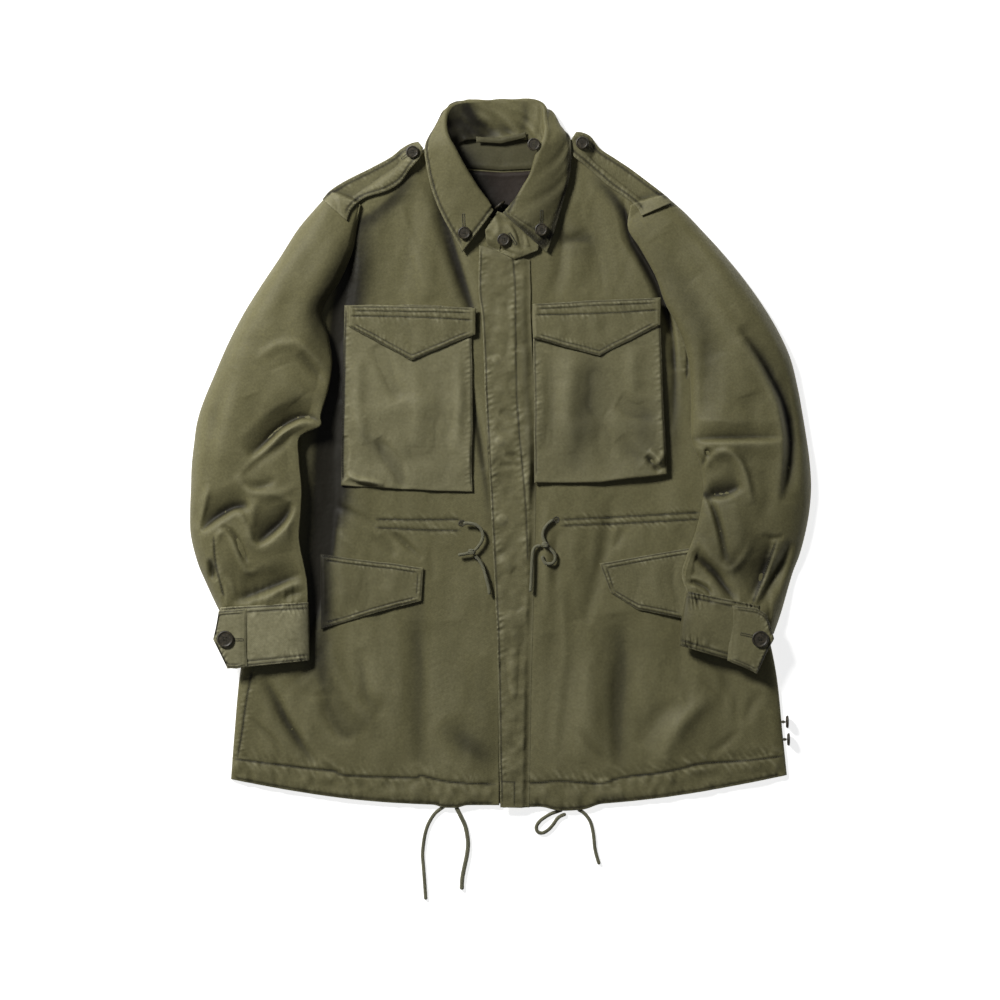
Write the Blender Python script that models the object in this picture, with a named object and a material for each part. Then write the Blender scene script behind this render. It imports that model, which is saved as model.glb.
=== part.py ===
"""A cotton field jacket laid flat on its back, front upwards.

The jacket lies on the plane z = 0 with its collar towards +Y and the wearer's left
side towards +X.  Every cloth piece is a thin wall whose plan is ruled between two
edge curves and whose height comes from one relief of named folds.  The pieces are laid
down from the bottom up, each one settled clear of those beneath it.  Tables are in
millimetres; the meshes are in metres.
"""

import math

import bmesh
import bpy
import numpy as np
from mathutils import Vector
from mathutils.bvhtree import BVHTree

MM = 0.001

# ---------------------------------------------------------------- driving sizes (mm)
GAP = 0.3                 # clearance between two pieces that meet
SETTLE_EXTRA = 0.12       # more clearance where facets of two pieces cross
SETTLE_STEPS = 6          # places tested along each side of a facet
RIDGE_SPACING = 1.5       # places tested along the edges of the pieces below
PANEL_WALL = 2.6          # lined cloth of the fronts
BACK_WALL = 2.8           # lined cloth of the back
SLEEVE_WALL = 2.2
TRIM_WALL = 1.6           # flaps, straps and pocket bags
COLLAR_WALL = 2.4
COLLAR_ROLL = 3.4         # radius of the fold between stand and fall
COLLAR_SLACK = 0.8        # how far the collar's leaves hover above the fronts
LEAF_TOP = 340.0          # below this line the leaves lie on other pieces
BODY_HEIGHT = 9.0         # outer face of the fronts above the floor
FOLD_EDGE_HEIGHT = 3.0    # height of a folded edge that rests on the floor
SIDE_ROUNDING = 15.0      # width over which the fronts turn down at the side seam
SHOULDER_ROUNDING = 11.0
BACK_INSET = 8.5          # how far the back stays inside the fronts' folded edges
HEM_INSET = 4.0
POCKET_PUFF = 5.4         # height of a bellows pocket above the front
STEEPEST_WALL = 1.9       # limit on how much a slope thickens a wall vertically
LEAST_WALL_SHARE = 0.6    # least share of its wall that a sheet keeps where it is squeezed
SMOOTH_ANGLE = 50.0       # degrees; facets that meet at less are shaded as one surface

FRONT_GRID = (27, 12)     # rows down a front, columns across it
FRONT_CROWDING = 1.25     # how much the columns crowd towards the side seam
HEM_THINNING = 1.6        # how much lower the fronts lie at the hem
HEM_FADE = 40.0           # height of the band above the hem where folds die out
HEM_FOLD_SHARE = 0.25     # share of a fold's height left at the hem
LEAST_BODY_HEIGHT = 6.6
HEM_DEPTH = 32.0          # how far the back's hem bows down between the side seams
HEM_FLATNESS = 0.8        # power of the bow; below 1 its middle is flatter
SHOULDER_INSET = (6, -7)  # the back's shoulder points, drawn in from the fronts'

SLEEVE_TOP_GRID = (33, 12)
SLEEVE_UNDER_ROWS = 15
SLEEVE_UNDER_ACROSS = (0.03, 0.1, 0.2, 0.4, 0.6, 0.8, 0.93)
SLEEVE_ARCH = (2.6, 0.55) # powers that shape the sleeve's arch: shoulders, then crown
SLEEVE_FOLD_MARGIN = 0.10 # share of the width over which folds die out at an edge
SLEEVE_LAP = (0.16, 2.0)  # width share and clearance of the under half's raised edge
FOLD_FADE = 0.6           # power with which a fold dies out at its ends

FLY_ACROSS = (0, 0.12, 0.4, 0.7, 0.9, 1)
FLY_CROWN = (0, 0.9, 1.3, 1.1, 0.5, 0)
POCKET_FACE_STEPS = (1.2, 0.3, 0, 0)    # how far the face lies below the puff, ring by ring
POCKET_RIM = (0, 0.013, 0.027)          # width shares of the rings at a pocket's rim
STRAP_ACROSS = (0, 0.15, 0.5, 0.85, 1)
STRAP_CROWN = 1.5
STRAP_WALL = 2.0
NECK_WALL = 1.0           # facing, lining and hanger loop
TRIM_CROWN = 1.2
CUFF_OVAL = (0.45, 0.75)  # powers of the cuff's flattened oval: across, up
COLLAR_ROWS = 34
COLLAR_FALL = (0.3, 0.62, 1.0)
COLLAR_BELLY = 2.0        # how far the fall bulges away from the stand

SMALL_BUTTON = 15.0
CUFF_BUTTON = 19.5
BUTTON_SIDES = 14
SHANK_RADIUS = 1.0        # thread shank of a button
FLOOR_CLEARANCE = 0.1     # how far a button on edge stays above what it stands on
# button profile: share of the radius, height; from the middle of the underside outwards
BUTTON_PROFILE = ((0, 0), (0.72, 0), (1.0, 1.1), (0.97, 2.4), (0.82, 3.0), (0.66, 2.2), (0, 2.0))
EDGE_BUTTON_PROFILE = ((0.7, 0), (1.0, 0.9), (0.97, 2.2), (0.8, 2.7), (0.64, 2.0), (0, 1.9))
BUTTON_RINGS = (0.02, 0.3, 0.55, 0.8, 1.0)  # where a button feels for the cloth beneath
CORD_STEP = 2.4           # distance between a cord's points, in diameters
CORD_DIAMETER = 3.6
HEM_CORD_DIAMETER = 4.2
THICK_CORD_DIAMETER = 5.0

# Fronts, from the shoulder seam to the hem: inner edge, outer edge, downward bow.
FRONT_RIGHT_ROWS = (
    # inner x, inner y, outer x, outer y, bow
    (-85, 371, -190, 301, 0),
    (-76, 350, -192, 275, 0),
    (-61, 317, -201, 245, 0),
    (-44, 300, -214, 215, 0),
    (-18, 288, -229, 185, 0),
    (-3, 266, -236, 155, 0),
    (-2, 215, -239, 125, 0),
    (-2, 155, -241, 98, 0),
    (-2, 89, -245, 65, 0),
    (-2, 29, -253, 23, 0),
    (-2, -31, -265, -29, 0),
    (-2, -103, -280, -103, 0),
    (-2, -175, -299, -181, 2),
    (-2, -262, -313, -262, 5),
    (-2, -343, -320, -337, 8),
    (-2, -421, -324, -390, 10),
)
FRONT_LEFT_ROWS = (
    # inner x, inner y, outer x, outer y, bow
    (82, 373, 175, 299, 0),
    (75, 350, 178, 271, 0),
    (62, 317, 193, 239, 0),
    (44, 301, 210, 203, 0),
    (18, 289, 224, 170, 0),
    (4, 266, 236, 143, 0),
    (2, 212, 244, 113, 0),
    (2, 152, 249, 83, 0),
    (2, 89, 255, 53, 0),
    (2, 29, 266, 11, 0),
    (2, -31, 282, -43, 0),
    (2, -103, 299, -109, 0),
    (2, -175, 313, -181, 2),
    (2, -262, 330, -262, 5),
    (2, -343, 338, -337, 8),
    (2, -424, 343, -385, 10),
)

# Neck edge of the back panel, from the left shoulder to the right one.
BACK_NECK = (
    (76, 353), (64, 367), (51, 374), (30, 377.5), (-30, 377.5), (-51, 374), (-66, 367), (-79, 353),
)

# Sleeves, from the shoulder to the cuff: outer fold, inner fold, crest and inner height.
SLEEVE_RIGHT_ROWS = (
    # outer x, outer y, inner x, inner y, crest, inner height
    (-205, 314, -167, 298, 13, 12),
    (-224, 293, -173, 269, 20, 16),
    (-244, 269, -178, 242, 28, 20),
    (-265, 236, -192, 209, 33, 23),
    (-289, 200, -214, 170, 36, 25),
    (-310, 166, -206, 139, 38, 25),
    (-328, 131, -202, 110, 38, 25),
    (-344, 94, -206, 79, 38, 25),
    (-358, 60, -215, 47, 38, 25),
    (-365, 36, -216, 33, 37, 24),
    (-368, 14, -240, 20, 36, 20),
    (-371, -13, -241, -7, 35, 20),
    (-372, -41, -238, -41, 34, 20),
    (-373, -70, -239, -70, 33, 20),
    (-372, -98, -241, -101, 32, 20),
    (-364, -130, -236, -130, 29, 19),
    (-354, -154, -232, -151, 25, 18),
    (-343, -181, -230, -174, 21, 17),
)
SLEEVE_LEFT_ROWS = (
    # outer x, outer y, inner x, inner y, crest, inner height
    (197, 310, 155, 298, 13, 12),
    (220, 290, 152, 270, 20, 15),
    (240, 269, 167, 245, 27, 16),
    (263, 244, 185, 212, 32, 16),
    (288, 214, 196, 181, 35, 16),
    (312, 181, 210, 154, 37, 16),
    (332, 148, 221, 125, 38, 16),
    (347, 115, 226, 94, 38, 16),
    (356, 79, 227, 65, 38, 17),
    (361, 52, 227, 38, 38, 18),
    (366, 22, 228, 14, 37, 19),
    (370, -7, 238, -12, 36, 19),
    (372, -38, 242, -40, 35, 19),
    (370, -67, 239, -67, 34, 19),
    (365, -95, 232, -95, 32, 18),
    (358, -121, 222, -122, 29, 17),
    (349, -145, 216, -145, 25, 16),
    (337, -176, 222, -160, 21, 16),
)

# Folds and creases of the sleeves and body.  Each one runs through three or more places.
# height, width on its left, width on its right, places along it
RIGHT_SLEEVE_FOLDS = (
    (-7, 5, 8, ((-218, 44), (-234, 52), (-256, 40), (-277, 23), (-296, 1), (-310, -22))),
    (4, 6, 5, ((-215, 35), (-236, 40), (-258, 28), (-280, 10), (-299, -10), (-313, -29))),
    (3, 5, 5, ((-241, 22), (-260, 10), (-283, -7), (-305, -28))),
    (4, 6, 4, ((-316, -29), (-304, -43), (-286, -47), (-259, -40), (-239, -31))),
    (-6, 10, 9, ((-347, -52), (-328, -55), (-307, -58))),
    (-6, 10, 10, ((-287, -61), (-271, -70), (-280, -91), (-293, -106))),
    (3, 5, 5, ((-346, -34), (-354, -55), (-359, -89))),
    (5, 6, 6, ((-358, -94), (-342, -86), (-330, -73), (-318, -68), (-307, -83),
               (-301, -103), (-293, -113), (-277, -106), (-259, -82), (-247, -60))),
    (4, 5, 5, ((-335, -94), (-324, -107), (-316, -127), (-305, -142), (-287, -139),
               (-265, -121), (-248, -95))),
    (-5, 9, 9, ((-307, -157), (-277, -155), (-247, -149))),
    (3.5, 8, 6, ((-295, 110), (-275, 125), (-251, 133), (-233, 130), (-218, 115), (-204, 102))),
    (-3, 7, 7, ((-287, 127), (-265, 140), (-241, 149), (-217, 144))),
    (-3.5, 8, 8, ((-238, 122), (-227, 107), (-211, 91))),
    (-3, 6, 6, ((-342, 107), (-354, 65), (-358, 17), (-354, -25))),
    (-4, 5, 5, ((-344, -109), (-341, -133), (-338, -175))),
)
LEFT_SLEEVE_FOLDS = (
    (-4, 10, 14, ((200, 274), (227, 239), (253, 199), (275, 166), (294, 134))),
    (-9, 8, 12, ((289, 142), (308, 106), (329, 67), (344, 35), (352, 2), (352, -31))),
    (3, 9, 9, ((281, 131), (301, 91), (320, 59), (331, 41), (336, 11), (332, -31), (325, -67))),
    (-3.5, 4, 5, ((227, 13), (253, 11), (293, 8), (335, 12))),
    (2, 5, 4, ((228, 18), (257, 18), (293, 16), (335, 19))),
    (-3, 7, 7, ((284, 0), (305, -3), (329, 0))),
    (4.5, 5, 5, ((244, -17), (250, -4), (263, 4), (277, 0), (289, -13), (296, -34), (301, -59))),
    (-3, 7, 7, ((253, -22), (265, -14), (277, -22))),
    (-7, 6, 6, ((244, -43), (260, -41), (281, -37))),
    (-4, 5, 5, ((246, -52), (256, -67), (264, -83), (265, -103))),
    (4, 5, 5, ((245, -88), (252, -107), (260, -124), (272, -137), (284, -133), (296, -115))),
    (-4, 10, 10, ((287, -127), (299, -142), (296, -160))),
    (-5, 7, 7, ((247, -131), (260, -149), (277, -165))),
    (3, 4, 4, ((224, -148), (239, -150), (252, -156))),
    (-4, 6, 4, ((330, -106), (320, -133), (305, -168))),
)
BODY_FOLDS = (
    (-4, 6, 8, ((-287, -266), (-270, -292), (-259, -316), (-244, -340), (-222, -372))),
    (-2, 4, 4, ((-301, -316), (-286, -330), (-270, -347), (-260, -370))),
    (-2.5, 8, 8, ((-217, -283), (-205, -312), (-192, -332), (-175, -338))),
    (-2, 8, 7, ((-102, -211), (-98, -283), (-98, -373))),
    (-3, 9, 9, ((140, -205), (142, -247), (138, -313), (140, -375))),
    (2.5, 10, 9, ((256, -286), (227, -310), (205, -337), (193, -370))),
    (-2.5, 12, 12, ((215, -295), (185, -317), (167, -349))),
    (-2, 7, 7, ((313, -283), (300, -302), (292, -322))),
    (-2.5, 8, 8, ((133, -49), (126, -103), (114, -151), (101, -202))),
    (-2, 5, 5, ((-205, -59), (-179, -70), (-148, -86))),
    (-2.5, 8, 9, ((-76, 290), (-59, 247), (-42, 199), (-32, 175))),
    (-2, 9, 9, ((-109, 311), (-109, 245), (-115, 197))),
    (-2, 5, 5, ((107, 266), (89, 259), (71, 253))),
)

# Collar, from the tip of the right leaf round the back of the neck to the left tip:
# neck seam, roll line and free edge.
COLLAR_STATIONS = (
    # seam x, y, z, roll x, y, z, edge x, y, z
    (-18, 279, 13, -9, 291, 18, -46, 241, 14),
    (-24, 290, 13, -14, 301, 20, -55, 257, 14),
    (-38, 311, 13, -28, 319, 23, -70, 284, 14),
    (-52, 333, 13, -42, 340, 26, -82, 313, 14),
    (-62, 354, 13, -55, 364, 28, -89, 343, 15),
    (-59, 366, 11, -64, 380, 26, -91, 369, 15),
    (-52, 371, 9, -67, 396, 21, -80, 391, 9),
    (-46, 373, 7.5, -65, 413, 15, -67, 410, 4),
    (-38, 375, 6.6, -54, 422, 10.5, -53, 403, 2.0),
    (-20, 377, 6.2, -28, 424, 9.5, -28, 388, 1.4),
    (14, 377, 6.2, 17, 425, 9.5, 16, 388, 1.4),
    (32, 376, 6.6, 43, 424, 10.5, 42, 403, 2.0),
    (40, 374, 7.5, 52, 413, 16, 57, 411, 5),
    (46, 370, 9, 52, 396, 21, 71, 392, 9),
    (54, 365, 11, 53, 379, 26, 83, 378, 14),
    (53, 355, 13, 44, 359, 28, 84, 349, 15),
    (44, 332, 13, 35, 336, 26, 80, 322, 14),
    (31, 309, 13, 22, 314, 23, 72, 293, 14),
    (20, 288, 13, 8, 295, 20, 64, 265, 14),
    (15, 278, 13, 2, 289, 18, 55, 241, 14),
)

# Shoulder straps, from the sleeve to the collar: upper edge and lower edge with heights.
STRAP_RIGHT_ROWS = (
    # upper x, y, z, lower x, y, z
    (-214, 305, 16, -184, 278, 24),
    (-204, 316, 14, -178, 293, 25),
    (-185, 328, 12, -163, 306, 25),
    (-157, 342, 11, -138, 314, 24),
    (-133, 355, 11, -121, 324, 22),
    (-119, 366, 11, -109, 340, 20),
    (-108, 372, 11, -97, 354, 17),
    (-99, 374, 12, -93, 366, 15),
)
STRAP_LEFT_ROWS = (
    # upper x, y, z, lower x, y, z
    (206, 301, 16, 168, 284, 22),
    (197, 310, 14, 162, 296, 22),
    (179, 324, 12, 149, 307, 22),
    (155, 342, 11, 130, 320, 21),
    (137, 354, 11, 116, 332, 19),
    (119, 366, 11, 101, 345, 17),
    (108, 378, 11, 90, 357, 15),
    (98, 382, 12, 86, 363, 14),
)

# Fly, from the neck to the hem: left and right edges.
FLY_ROWS = (
    # left x, left y, right x, right y
    (-26, 250, 35, 232),
    (-27, 197, 36, 197),
    (-23, 161, 36, 161),
    (-19, 65, 41, 65),
    (-16, 5, 43, 5),
    (-12, -67, 42, -67),
    (-8, -151, 40, -151),
    (-5, -223, 38, -223),
    (-3, -313, 36, -313),
    (-1, -423, 34, -424),
)

# Straight-sided trim: corners and bends of the upper and the lower edge.
POCKET_RIGHT_EDGES = (
    ((-188, 178), (-110, 179), (-34, 175)),
    ((-192, -38), (-110, -43), (-34, -46)),
)
POCKET_LEFT_EDGES = (
    ((38, 178), (115, 181), (190, 184)),
    ((40, -35), (120, -35), (199, -25)),
)
CHEST_FLAP_RIGHT_EDGES = (
    ((-183, 178), (-107, 177), (-30, 174)),
    ((-183, 152), (-107, 112), (-30, 143)),
)
CHEST_FLAP_LEFT_EDGES = (
    ((38, 180), (118, 184), (191, 187)),
    ((38, 138), (118, 117), (191, 154)),
)
THROAT_TAB_EDGES = (
    ((-15, 266), (2, 279), (24, 271), (45, 250)),
    ((-15, 249), (1, 243), (16, 231), (45, 242)),
)
LOWER_FLAP_RIGHT_EDGES = (
    ((-216, -120), (-155, -128), (-93, -136)),
    ((-215, -210), (-155, -192), (-95, -176)),
)
LOWER_FLAP_LEFT_EDGES = (
    ((118, -131), (176, -121), (236, -111)),
    ((131, -166), (165, -187), (222, -199)),
)

# Cuffs: outer and inner ends of the band at the sleeve and at the hand.
CUFF_RIGHT_ROWS = (
    # outer x, outer y, inner x, inner y
    (-336, -183.5, -230, -177),
    (-332, -221, -229, -213),
    (-328, -257, -229, -247),
)
CUFF_LEFT_ROWS = (
    # outer x, outer y, inner x, inner y
    (309, -181, 222, -163.5),
    (308, -221, 216, -196),
    (302, -255, 213, -229),
)
CUFF_HEIGHT = 12.5
CUFF_WALL = 2.2
CUFF_SIDES = 20
TAB_RIGHT_EDGES = (
    ((-303, -184), (-322, -186), (-337, -188), (-344, -221)),
    ((-303, -254), (-316, -257), (-327, -256), (-344, -222)),
)
TAB_LEFT_EDGES = (
    ((276, -180), (292, -182), (306, -184), (316, -190), (326, -220)),
    ((270, -247), (286, -253), (298, -258), (305, -262), (326, -221)),
)

# Inside of the neck: upper and lower edges.
NECK_FACING_EDGES = (
    ((-60, 365), (0, 376), (54, 366)),
    ((-60, 343), (0, 340), (58, 343)),
)
NECK_LINING_EDGES = (
    ((-60, 341), (0, 338), (58, 341)),
    ((-30, 262), (0, 258), (30, 262)),
)
HANGER_LOOP_EDGES = (
    ((-30, 380), (0, 378), (30, 386)),
    ((-30, 373), (0, 371), (30, 379)),
)

BUTTONS = (
    # name, x, y, diameter
    ("collar_button_right", -44, 264, SMALL_BUTTON),
    ("collar_button_left", 48, 268, SMALL_BUTTON),
    ("neck_button", 3, 256, SMALL_BUTTON),
    ("strap_button_right", -106, 361, SMALL_BUTTON),
    ("strap_button_left", 97, 372, SMALL_BUTTON),
    ("hood_button", 39, 369, SMALL_BUTTON),
    ("cuff_button_right", -329, -221, CUFF_BUTTON),
    ("cuff_button_left", 309, -221, CUFF_BUTTON),
)
BUTTONS_ON_EDGE = (
    # name, x, y, height of what it stands on, heading of its face in degrees, shank length
    ("side_button_upper", 343.5, -321, 0, 0, 5.2),
    ("side_button_lower", 345, -342, 0, 0, 5.2),
    ("throat_button", -0.5, 296.5, 5.6, 128, 1.6),
)

# Cords: free routes above the cloth and on the floor.
WAIST_CORD_RIGHT = (
    (-45, -83, 14.2), (-38, -83, 14.6), (-30, -85, 15.2), (-24, -90, 15.4), (-21.5, -98, 15.4),
    (-24, -106, 15.2), (-29, -113, 14.8), (-35, -117.5, 14.6), (-42, -119.5, 14.4),
    (-48, -120.5, 14.2), (-53, -121.5, 14.0),
)
WAIST_TAIL_RIGHT = (
    (-31.5, -121.5, 14.4), (-27, -126, 14.4), (-23, -132, 14.6), (-20, -140, 14.8),
    (-17.5, -149, 15.0), (-15, -159, 15.4), (-13.5, -170, 15.6),
)
WAIST_CORD_LEFT = (
    (62, -79, 14.6), (57, -83, 14.8), (52, -89, 15.0), (50, -96, 15.0), (51.5, -103, 15.0),
    (55.5, -110, 15.0), (60.5, -115, 14.8), (64.5, -120.5, 14.6), (64.5, -127.5, 14.4),
    (60, -131.5, 14.2), (54, -131, 14.0), (50.5, -126.5, 14.0), (49.3, -121, 14.2),
)
WAIST_TAIL_LEFT = (
    (48, -110.5, 15.0), (42.5, -110.5, 15.4), (38.5, -115, 15.6), (37.5, -123, 15.6),
    (37, -133, 15.6), (36.5, -143, 15.6), (36, -154, 15.6), (35, -167, 15.6),
)
HEM_CORD_RIGHT_LONG = (
    (-67, -422, 2.6), (-73, -426, 2.5), (-79, -431, 2.4), (-84, -438, 2.4), (-88, -446, 2.4),
    (-91, -456, 2.4), (-93, -468, 2.4), (-94, -481, 2.4), (-93, -495, 2.4), (-92, -508, 2.4),
    (-91, -522, 2.4), (-90, -537, 2.4),
)
HEM_CORD_RIGHT_SHORT = (
    (-54, -423, 2.8), (-51, -429, 2.8), (-47, -437, 2.8), (-43, -446, 2.8), (-40.5, -457, 2.8),
    (-39.5, -469, 2.8), (-41, -482, 2.8), (-44, -496, 2.8), (-46.5, -510, 2.8), (-47, -525, 2.8),
)
HEM_CORD_LEFT_LOOP = (
    (74, -426.5, 2.4), (67, -429, 2.4), (60, -431.5, 2.4), (53, -435.5, 2.4), (46.5, -440.5, 2.4),
    (42.5, -447, 2.4), (44, -453, 2.4), (50, -454.5, 2.4), (57, -450.5, 2.4), (62.5, -444.5, 2.4),
    (67.5, -437.5, 2.4), (72.5, -433.8, 2.4), (79, -431.5, 2.4),
)
HEM_CORD_LEFT_TAIL = (
    (92, -426, 2.4), (98, -429.5, 2.4), (103.5, -435, 2.4), (107.5, -442, 2.4),
    (110, -451, 2.4), (111.5, -461, 2.4), (112.5, -472, 2.4), (115, -483, 2.4), (118.5, -494, 2.4),
)

# ---------------------------------------------------------------- colours and finishes
OLIVE = (0.150, 0.132, 0.071)
OLIVE_TRIM = (0.163, 0.146, 0.081)
FACING_OLIVE = (0.105, 0.093, 0.052)
LINING_BROWN = (0.045, 0.034, 0.027)
BUTTON_BROWN = (0.030, 0.022, 0.014)
CORD_OLIVE = (0.190, 0.180, 0.110)


def material(name, colour, roughness, metallic=0.0):
    """A Principled material with a plain colour."""
    made = bpy.data.materials.new(name)
    made.use_nodes = True
    shader = made.node_tree.nodes["Principled BSDF"]
    shader.inputs["Base Color"].default_value = (*colour, 1.0)
    shader.inputs["Roughness"].default_value = roughness
    shader.inputs["Metallic"].default_value = metallic
    made.diffuse_color = (*colour, 1.0)
    return made


# ---------------------------------------------------------------- curves and relief
def through(rows, places):
    """Values on a smooth curve through table rows, at places counted in rows."""
    rows = np.asarray(rows, float)
    last = len(rows) - 1
    places = np.clip(np.asarray(places, float), 0.0, last)
    index = np.minimum(places.astype(int), last - 1)
    part = (places - index)[:, None]
    slope = np.gradient(rows, axis=0)
    start, end = rows[index], rows[index + 1]
    leave, arrive = slope[index], slope[index + 1]
    return (
        (2 * part**3 - 3 * part**2 + 1) * start
        + (part**3 - 2 * part**2 + part) * leave
        + (-2 * part**3 + 3 * part**2) * end
        + (part**3 - part**2) * arrive
    )


def even(table, count):
    """A smooth curve through the table, as count evenly placed rows."""
    return through(table, np.linspace(0, len(table) - 1, count))


def bent(points, count):
    """Straight runs between the points, as count evenly spaced places."""
    points = np.asarray(points, float)
    run = np.r_[0, np.cumsum(np.linalg.norm(np.diff(points, axis=0), axis=1))]
    places = np.linspace(0, run[-1], count)
    for mark in run[1:-1]:
        places[np.argmin(abs(places - mark))] = mark
    return np.stack([np.interp(places, run, points[:, k]) for k in range(points.shape[1])], axis=1)


def unit(vectors):
    """The vectors at length 1."""
    return vectors / np.maximum(np.linalg.norm(vectors, axis=-1, keepdims=True), 1e-9)


def ruled(first, second, across):
    """Plan of a sheet ruled from one edge to the other: rows along, columns across."""
    share = np.asarray(across)[None, :, None]
    return first[:, None, :2] * (1 - share) + second[:, None, :2] * share


def rounded_steps(count):
    """Places from 0 to 1 that crowd together at both ends."""
    return (1 - np.cos(np.linspace(0, math.pi, count))) / 2


def fold_relief(plan, folds):
    """Height that the folds add at each place of the plan."""
    x, y = plan[..., 0], plan[..., 1]
    total = np.zeros(x.shape)
    for height, left_width, right_width, places in folds:
        path = even(places, 4 * len(places))
        nearest = np.full(x.shape, 1e9)
        side = np.zeros(x.shape)
        along = np.zeros(x.shape)
        for index, (start, end) in enumerate(zip(path[:-1], path[1:])):
            run = end - start
            part = ((x - start[0]) * run[0] + (y - start[1]) * run[1]) / (run @ run)
            part = np.clip(part, 0, 1)
            away_x = x - start[0] - part * run[0]
            away_y = y - start[1] - part * run[1]
            distance = np.hypot(away_x, away_y)
            closer = distance < nearest
            nearest = np.where(closer, distance, nearest)
            side = np.where(closer, run[0] * away_y - run[1] * away_x, side)
            along = np.where(closer, (index + part) / (len(path) - 1), along)
        width = np.where(side > 0, left_width, right_width)
        fade = np.sin(math.pi * np.clip(along, 0, 1)) ** FOLD_FADE
        total += height * np.exp(-((nearest / width) ** 2)) * fade
    return total


def turned_down(distance, rounding):
    """1 well inside an edge, falling to 0 at it along a quarter ellipse."""
    share = np.clip(distance / rounding, 0, 1)
    return np.sqrt(1 - (1 - share) ** 2)


def spread_from_edge(plan, edge):
    """Distance of each place in the plan from a polyline."""
    nearest = np.full(plan.shape[:-1], 1e9)
    for start, end in zip(edge[:-1], edge[1:]):
        run = end - start
        part = np.clip(((plan - start) @ run) / max(run @ run, 1e-9), 0, 1)
        nearest = np.minimum(nearest, np.linalg.norm(plan - start - part[..., None] * run, axis=-1))
    return nearest


# ---------------------------------------------------------------- solids
def finish_object(name, mesh, look, smooth=True):
    """Link a mesh as a named object with its material."""
    mesh.materials.append(look)
    if smooth:
        mesh.shade_smooth()
        mesh.set_sharp_from_angle(angle=math.radians(SMOOTH_ANGLE))
    made = bpy.data.objects.new(name, mesh)
    bpy.context.scene.collection.objects.link(made)
    return made


def mesh_from(name, points, faces):
    """A mesh in metres from points in millimetres, with its faces turned outwards."""
    mesh = bpy.data.meshes.new(name)
    mesh.from_pydata([tuple(p * MM) for p in np.asarray(points, float)], [], faces)
    work = bmesh.new()
    work.from_mesh(mesh)
    bmesh.ops.recalc_face_normals(work, faces=work.faces)
    work.to_mesh(mesh)
    work.free()
    return mesh


def grid_faces(rows, columns, first, closed=False):
    """Two triangles for each cell of a grid of points."""
    faces = []
    for row in range(rows - 1):
        for column in range(columns if closed else columns - 1):
            after = (column + 1) % columns
            a = first + row * columns + column
            b = first + row * columns + after
            c = first + (row + 1) * columns + after
            d = first + (row + 1) * columns + column
            faces += [(a, b, c), (a, c, d)]
    return faces


def wall_solid(name, outer, inner, look):
    """A closed wall between two grids of points that share one layout."""
    rows, columns = outer.shape[:2]
    half = rows * columns
    points = np.concatenate([outer.reshape(-1, 3), inner.reshape(-1, 3)])
    faces = grid_faces(rows, columns, 0)
    faces += [tuple(reversed(face)) for face in grid_faces(rows, columns, half)]
    rim = list(range(columns))
    rim += [row * columns + columns - 1 for row in range(1, rows)]
    rim += [(rows - 1) * columns + column for column in range(columns - 2, -1, -1)]
    rim += [row * columns for row in range(rows - 2, 0, -1)]
    for here, there in zip(rim, rim[1:] + rim[:1]):
        faces += [(here, half + here, half + there), (here, half + there, there)]
    return finish_object(name, mesh_from(name, points, faces), look)


class Pile:
    """The pieces already laid down, asked for their height at a place."""

    def __init__(self):
        self.trees = []
        self.ridges = []

    def lay(self, *pieces):
        """Add finished pieces to the pile, with places along all their edges."""
        for piece in pieces:
            work = bmesh.new()
            work.from_mesh(piece.data)
            self.trees.append(BVHTree.FromBMesh(work))
            for edge in work.edges:
                start, end = (np.array(corner.co) / MM for corner in edge.verts)
                steps = max(1, math.ceil(np.linalg.norm(end - start) / RIDGE_SPACING))
                self.ridges.append(start + (end - start) * (np.arange(steps + 1) / steps)[:, None])
            work.free()

    def height(self, plan):
        """Height in mm of the top of the pile at each place, below 0 on the bare floor."""
        down = Vector((0, 0, -1))
        flat = plan.reshape(-1, 2) * MM
        found = np.full(len(flat), -1.0)
        for tree in self.trees:
            for index, (x, y) in enumerate(flat):
                place = tree.ray_cast(Vector((x, y, 0.5)), down)[0]
                if place is not None:
                    found[index] = max(found[index], place.z / MM)
        return found.reshape(plan.shape[:-1])

    def near(self, plan):
        """Places on the edges of the pile's facets inside the plan's bounds."""
        low, high = plan.reshape(-1, 2).min(axis=0), plan.reshape(-1, 2).max(axis=0)
        places = np.concatenate(self.ridges) if self.ridges else np.zeros((0, 3))
        inside = ((places[:, :2] > low) & (places[:, :2] < high)).all(axis=1)
        return places[inside]


def ground_around(plan, pile):
    """Highest place of the pile beneath the cells that meet at each point."""
    rows, columns = plan.shape[:2]
    down = np.linspace(0, rows - 1, 3 * (rows - 1) + 1)
    fine = np.stack([through(plan[:, column], down) for column in range(columns)], axis=1)
    right = np.linspace(0, columns - 1, 3 * (columns - 1) + 1)
    fine = np.stack([through(line, right) for line in fine])
    ground = pile.height(fine)
    high = np.zeros((rows, columns))
    for row in range(rows):
        for column in range(columns):
            near = ground[max(3 * row - 3, 0):3 * row + 4, max(3 * column - 3, 0):3 * column + 4]
            high[row, column] = near.max()
    return high


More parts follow.
